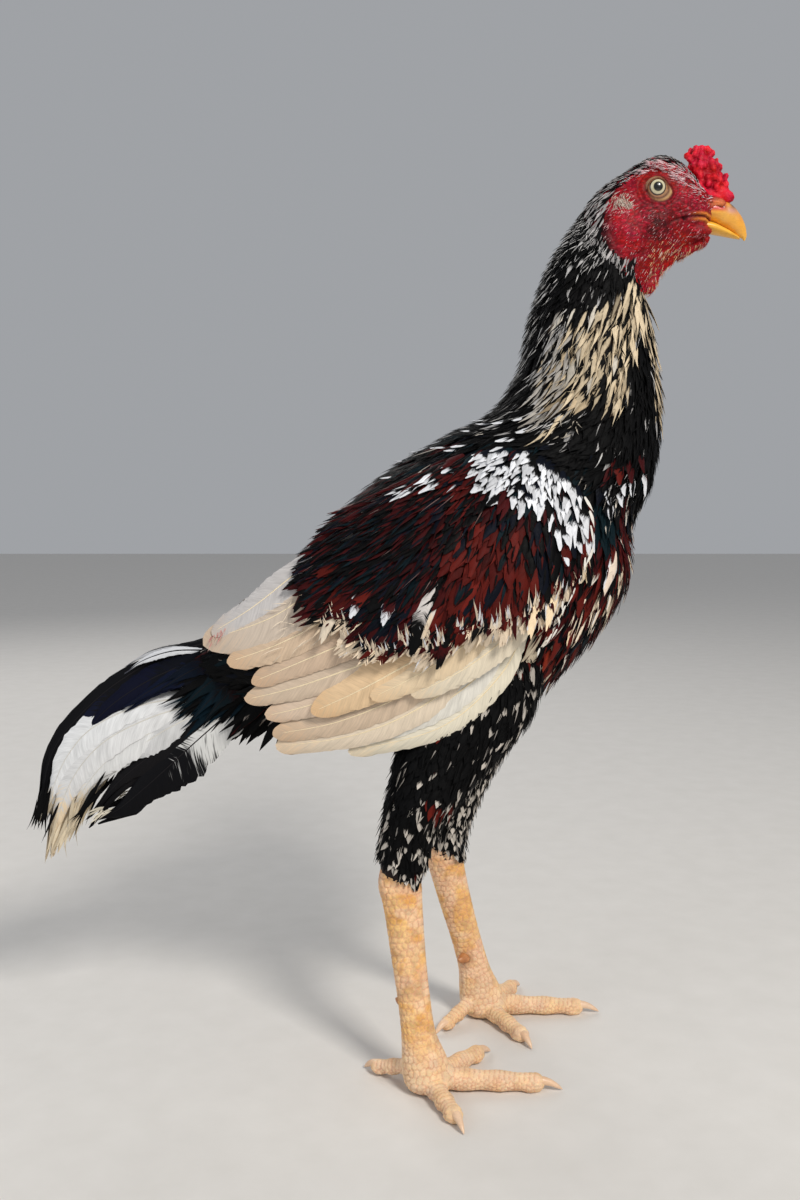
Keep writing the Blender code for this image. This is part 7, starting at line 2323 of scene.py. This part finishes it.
def tail_ends(coat, rng):
    """Frayed ends of the tail: cream strands at the tip, dark ones behind, a pale patch on the black feather."""
    n = 44
    share = rng.random(n)
    tip_x = -0.2385 + 0.0340 * share
    tip_z = np.interp(tip_x, *TAIL_ENDS) + rng.normal(0, 0.0020, n)
    turn = np.radians(rng.normal(259, 4, n) - 20 * share)
    length = rng.uniform(0.018, 0.034, n)
    flat = np.stack([np.cos(turn), np.sin(turn)], -1)
    x, z = tip_x - flat[:, 0] * length, tip_z - flat[:, 1] * length
    out = 0.0090 + 0.0075 * share
    dark = rng.random(n) < np.where((share < 0.24) | (share > 0.88), 0.95, 0.02)
    tone = np.where(dark[:, None], BLACK, srgb(222, 206, 178) * (0.8 + 0.2 * rng.random((n, 1))))
    strands(coat, rng, x, z, out, flat, length, tone, rng.uniform(0.0005, 0.0013, n))
    n = 10
    x, z = rng.uniform(-0.1890, -0.1820, n), rng.uniform(0.1685, 0.1725, n)
    turn = np.radians(rng.normal(212, 9, n))
    strands(coat, rng, x, z, np.full(n, 0.0218), np.stack([np.cos(turn), np.sin(turn)], -1), rng.uniform(0.008, 0.016, n),
            np.tile(srgb(212, 204, 186), (n, 1)), rng.uniform(0.0003, 0.0007, n))


def strands(coat, rng, x, z, out, flat, length, tone, half):
    """Thin separate barbs on the tail, at a distance from the middle plane."""
    n = len(x)
    share = np.linspace(0, 1, 7)[None]
    bend = rng.normal(0, 0.12, n)[:, None] * share ** 2
    px = x[:, None] + length[:, None] * (flat[:, :1] * share - flat[:, 1:] * bend)
    pz = z[:, None] + length[:, None] * (flat[:, 1:] * share + flat[:, :1] * bend)
    centre = np.stack([px, -np.repeat(out[:, None], 7, 1), pz], -1)
    path = framed(centre, np.tile([0.0, -0.95, 0.3], (n, 7, 1)))
    uv = np.stack([0.1 + 0.8 * rng.random(n), 0.1 + 0.8 * rng.random(n)], -1)
    look = look_of(rng, tone, tone, 2.0, 2.0, 0.1, length, uv)
    coat.slim(path, half[:, None] * leaf(7, 0.4, 0.0, 0.6)[None], 0.0003, 0.0001, look)


def both(coat):
    """Adds the other side's copy of all that a coat holds."""
    verts = [v * np.array([1, -1, 1]) for v in coat.verts]
    tris = [t[:, ::-1] + coat.count for t in coat.tris]
    coat.verts += verts
    coat.tris += tris
    coat.rim += list(coat.rim)
    for store in (coat.base, coat.tip, coat.place, coat.mark, coat.uv):
        store += list(store)
    coat.count *= 2


# Head feathers

HEAD_MIDDLE = np.array([0.155, 0.0, 0.545])
FACE_TURNS = (0, 15, 27, 45, 60, 76, 92, 101, 111, 135, 149, 166, 184, 202, 227, 244, 252, 258, 263, 268, 280, 360)
FACE_REACH = (.10, .06, .0301, .0285, .0286, .0287, .0256, .0235, .0224, .0218, .0232, .0262, .0291, .0332, .0379,
              .0361, .0319, .0469, .0528, .0545, .10, .10)


def feathered(p):
    """1 where the head is feathered, 0 on the bare face, from places seen from the side."""
    dx, dz = p[:, 0] - HEAD_MIDDLE[0], p[:, 2] - HEAD_MIDDLE[2]
    turn = np.degrees(np.arctan2(dz, dx)) % 360
    reach = np.interp(turn, FACE_TURNS, FACE_REACH) + 0.0012 * noise(p, 0.004, 111)
    return step_up(-0.0012, 0.0012, np.hypot(dx, dz) - reach)


def against_grain(surface, a, b):
    return -surface.along(a, b)


def crown_coat(coat, rng):
    """Small feathers that lie back over the skull and run down into the hackles."""
    def keep(p, a, b):
        return (feathered(p) > 0.4) & (comb_measure(p) > 1.12) & ~((p[:, 2] < 0.512) & (p[:, 0] > 0.145))

    def spacing(p, a, b):
        return np.interp(p[:, 0], (0.11, 0.15, 0.18), (0.0017, 0.0012, 0.0009))

    a, b, p = scatter(HEAD, (0.02, -math.pi), (0.93, math.pi), spacing, 91, 42000, keep)
    n = len(a)
    x = p[:, 0]
    draw = rng.random((n, 1))
    pale_share = np.interp(x, (0.11, 0.15, 0.175), (0.42, 0.30, 0.45))
    pale = draw[:, 0] < pale_share
    base = np.where(pale[:, None], srgb(176, 172, 172) * (1 - 0.5 * rng.random((n, 1))), BLACK)
    tip = np.where(rng.random((n, 1)) < 0.5, srgb(190, 188, 188), BLACK)
    edge = np.where(~pale & (rng.random(n) < 0.35), rng.uniform(0.45, 0.7, n), 2.0)
    length = np.interp(x, (0.11, 0.15, 0.18), (0.0105, 0.0070, 0.0035)) * rng.uniform(0.75, 1.25, n)
    half = np.interp(x, (0.11, 0.15, 0.18), (0.00095, 0.00060, 0.00032)) * rng.uniform(0.7, 1.25, n)
    rise = np.interp(x, (0.11, 0.15, 0.18), (0.0018, 0.0009, 0.0006)) * rng.uniform(0.6, 1.4, n)
    path = lay(HEAD, a, b, against_grain, rng.normal(0, 0.13, n), length, rise, 6, curl=rng.normal(0, 0.15, n))
    look = look_of(rng, base, tip, 2.0, edge, 0.1, length, head_uv(p))
    coat.slim(path, half[:, None] * leaf(6, 0.4, 0.0, 0.5)[None], 0.0003, (0.2 * half)[:, None], look)


def head_uv(p):
    x, y, z = p.T
    lon = np.arctan2(y, x - HEAD_MIDDLE[0]) / (2 * math.pi) % 1.0
    lat = np.arctan2(z - HEAD_MIDDLE[2], np.hypot(x - HEAD_MIDDLE[0], y)) / math.pi + 0.5
    return np.stack([0.02 + 0.96 * lon, 0.02 + 0.96 * lat], -1)


def face_coat(coat, rng, skin):
    """Bristles of face, brow and throat, and the pale tufts over the ears."""
    verts, quads, _ = skin
    n_all = normals(verts, quads)
    area = np.linalg.norm(np.cross(verts[quads[:, 2]] - verts[quads[:, 0]], verts[quads[:, 3]] - verts[quads[:, 1]]), axis=1)
    count = 60000
    which = rng.choice(len(quads), count, p=area / area.sum())
    s, t = rng.random((count, 1)), rng.random((count, 1))
    q = quads[which]
    p = ((verts[q[:, 0]] * (1 - s) + verts[q[:, 1]] * s) * (1 - t) + (verts[q[:, 3]] * (1 - s) + verts[q[:, 2]] * s) * t)
    normal = unit(n_all[q].mean(1))
    x, y, z = p.T
    turn, eye = eye_polar(x, z)
    off_eye = (eye > np.interp(turn, PALE_TURNS, PALE_REACH) + 0.0012) | (np.abs(y) < 0.010)
    comb = comb_measure(p) < 1.34
    beakish = (x > 0.194) | ((x > 0.186) & (z < 0.5400) & (z > 0.5300))
    mouth, _ = nearest_on_line(np.stack([x, z], -1), MOUTH_LINE)
    tuft = np.exp(-(((x - 0.1352) / 0.0070) ** 2 + ((z - 0.5475) / 0.0060) ** 2)) * (np.abs(y) > 0.010)
    throat = step_up(0.530, 0.518, z) * step_up(0.148, 0.158, x)
    brow = step_up(0.5590, 0.5665, z + 0.60 * np.maximum(x - 0.163, 0)) * (x > 0.128)
    lobe = np.hypot(x - LOBE[0], z - LOBE[1]) < 0.0135
    lore = (x > 0.163) & (z > 0.539)
    want = 0.105 + 0.50 * tuft + 0.05 * throat + 0.24 * brow - 0.030 * lobe - 0.025 * lore * (1 - brow)
    want = want * off_eye * ~comb * ~beakish * (1 - feathered(p)) * np.where(mouth < 0.0020, 0.1, 1.0)
    want = want * (eye > 0.0105 + 0.003 * (1 - brow))
    keep = rng.random(count) < want
    p, normal, tuft, throat, brow = (v[keep] for v in (p, normal, tuft, throat, brow))
    n = len(p)
    x, y, z = p.T
    way = unit(p - np.array([0.208, 0.0, 0.553]))
    way = way + np.array([0.25, 0, -0.75]) * (step_up(0.550, 0.525, z) * 0.7 + 0.5 * throat)[:, None]
    way = way * (1 - tuft)[:, None] + np.array([0.52, 0.0, -0.86]) * tuft[:, None]
    way = way + (0.14 - 0.06 * brow)[:, None] * rng.normal(0, 1, (n, 3))
    way = unit(way - dot(way, normal) * normal)
    length = (0.0031 + 0.0042 * tuft + 0.0018 * throat + 0.0024 * brow) * rng.uniform(0.7, 1.3, n)
    half = 0.00013 + 0.00008 * tuft + 0.00003 * brow + 0.00002 * throat
    lift = (0.0006 + 0.0010 * tuft + 0.0004 * throat + 0.0006 * brow) * rng.uniform(0.6, 1.3, n)
    share = np.linspace(0, 1, 5)
    up = lift[:, None] * (share - 0.35 * share ** 2)[None] - 0.0003 - (length[:, None] * share[None]) ** 2 / 0.044
    centre = p[:, None] + way[:, None] * (length[:, None] * share[None])[..., None] + normal[:, None] * up[..., None]
    path = framed(centre, np.repeat(normal[:, None], 5, 1))
    draw = rng.random((n, 1))
    pale = np.where(draw < 0.50, srgb(214, 160, 162), srgb(186, 92, 104))
    pale = np.where(draw > 0.88, srgb(226, 200, 200), pale)
    pale = np.where((throat > 0.4)[:, None] & (draw < 0.75), srgb(222, 176, 136), pale)
    mixed = (tuft > 0.30)[:, None] & (rng.random((n, 1)) < 0.85)
    pale = np.where(mixed, srgb(226, 208, 192) * (1 - 0.5 * draw), pale)
    front = step_up(0.166, 0.176, x)[:, None]
    on_brow = (brow > 0.5)[:, None]
    dark_hair = rng.random((n, 1)) < 0.10 + 0.15 * front
    pale = np.where(on_brow, np.where(dark_hair, srgb(36, 24, 28), srgb(228, 196, 200)), pale)
    look = look_of(rng, pale, pale, 2.0, 2.0, 0.1, length, head_uv(p))
    coat.slim(path, half[:, None] * leaf(5, 0.35, 0.0, 0.6)[None], (0.9 * half)[:, None], 0.00004, look)


def head_coat(material, skin):
    coat = Coat()
    rng = np.random.default_rng(90)
    crown_coat(coat, rng)
    face_coat(coat, rng, skin)
    obj = coat.build("head_bristles", material)
    return obj


def build_coat(parts):
    plain = feather_material("plumage")
    silky = feather_material("hackle_plumage", 0.50, 0.0, 1900.0, 5.0, 0.60)
    pale = feather_material("flight_plumage", 0.55, 0.0, 1300.0, 14.0, 0.45)
    neck_coat(silky)
    trunk_coat(plain)
    thigh_coat(plain)
    wing_coats(plain, pale)
    tail_coat(feather_material("tail_plumage", 0.45, 0.0, 1300.0, 11.0, 0.45))
    head_coat(silky, parts[0])


# Stage

def build_stage():
    material = floor_material()
    mesh = bpy.data.meshes.new("floor")
    mesh.from_pydata([(-4, -4, 0), (4, -4, 0), (4, 6, 0), (-4, 6, 0)], [], [(0, 1, 2, 3)])
    mesh.materials.append(material)
    floor = bpy.data.objects.new("floor", mesh)
    bpy.context.scene.collection.objects.link(floor)
    scene = bpy.context.scene
    camera = bpy.data.cameras.new("camera")
    camera.lens = 34.5
    camera.sensor_width = 36.0
    camera.clip_start = 0.01
    viewer = bpy.data.objects.new("camera", camera)
    viewer.location = (SHIFT[0], SHIFT[1] - 0.737, 0.372)
    viewer.rotation_euler = (math.radians(90 - 5.464), 0, 0)
    scene.collection.objects.link(viewer)
    scene.camera = viewer
    world = bpy.data.worlds.new("studio")
    world.use_nodes = True
    world.node_tree.nodes["Background"].inputs["Color"].default_value = (0.92, 0.95, 1.0, 1.0)
    world.node_tree.nodes["Background"].inputs["Strength"].default_value = 0.38
    scene.world = world
    for name, place, size, power, tint in (
            ("key", (0.9, -1.5, 1.7), 0.50, 37.0, (1.0, 0.96, 0.90)),
            ("fill", (-1.6, -1.2, 1.0), 1.4, 7.0, (0.93, 0.96, 1.0)),
            ("back", (-0.8, 1.6, 1.6), 1.2, 12.0, (1.0, 0.98, 0.95))):
        light = bpy.data.lights.new(name, "AREA")
        light.size = size
        light.energy = power
        light.color = tint
        lamp = bpy.data.objects.new(name, light)
        lamp.location = place
        way = np.array((0.03, 0.0, 0.30)) - np.array(place)
        lamp.rotation_euler = (math.acos(-way[2] / np.linalg.norm(way)), 0, math.atan2(way[1], way[0]) - math.pi / 2)
        scene.collection.objects.link(lamp)
    scene.view_settings.view_transform = "Standard"


def main():
    skin = skin_material()
    horn = horn_material("horn")
    _, parts = build_skin(skin)
    build_beak(horn)
    build_eyes(eye_material())
    build_claws(horn_material("claw_horn", 0.35))
    build_coat(parts)
    build_stage()


main()
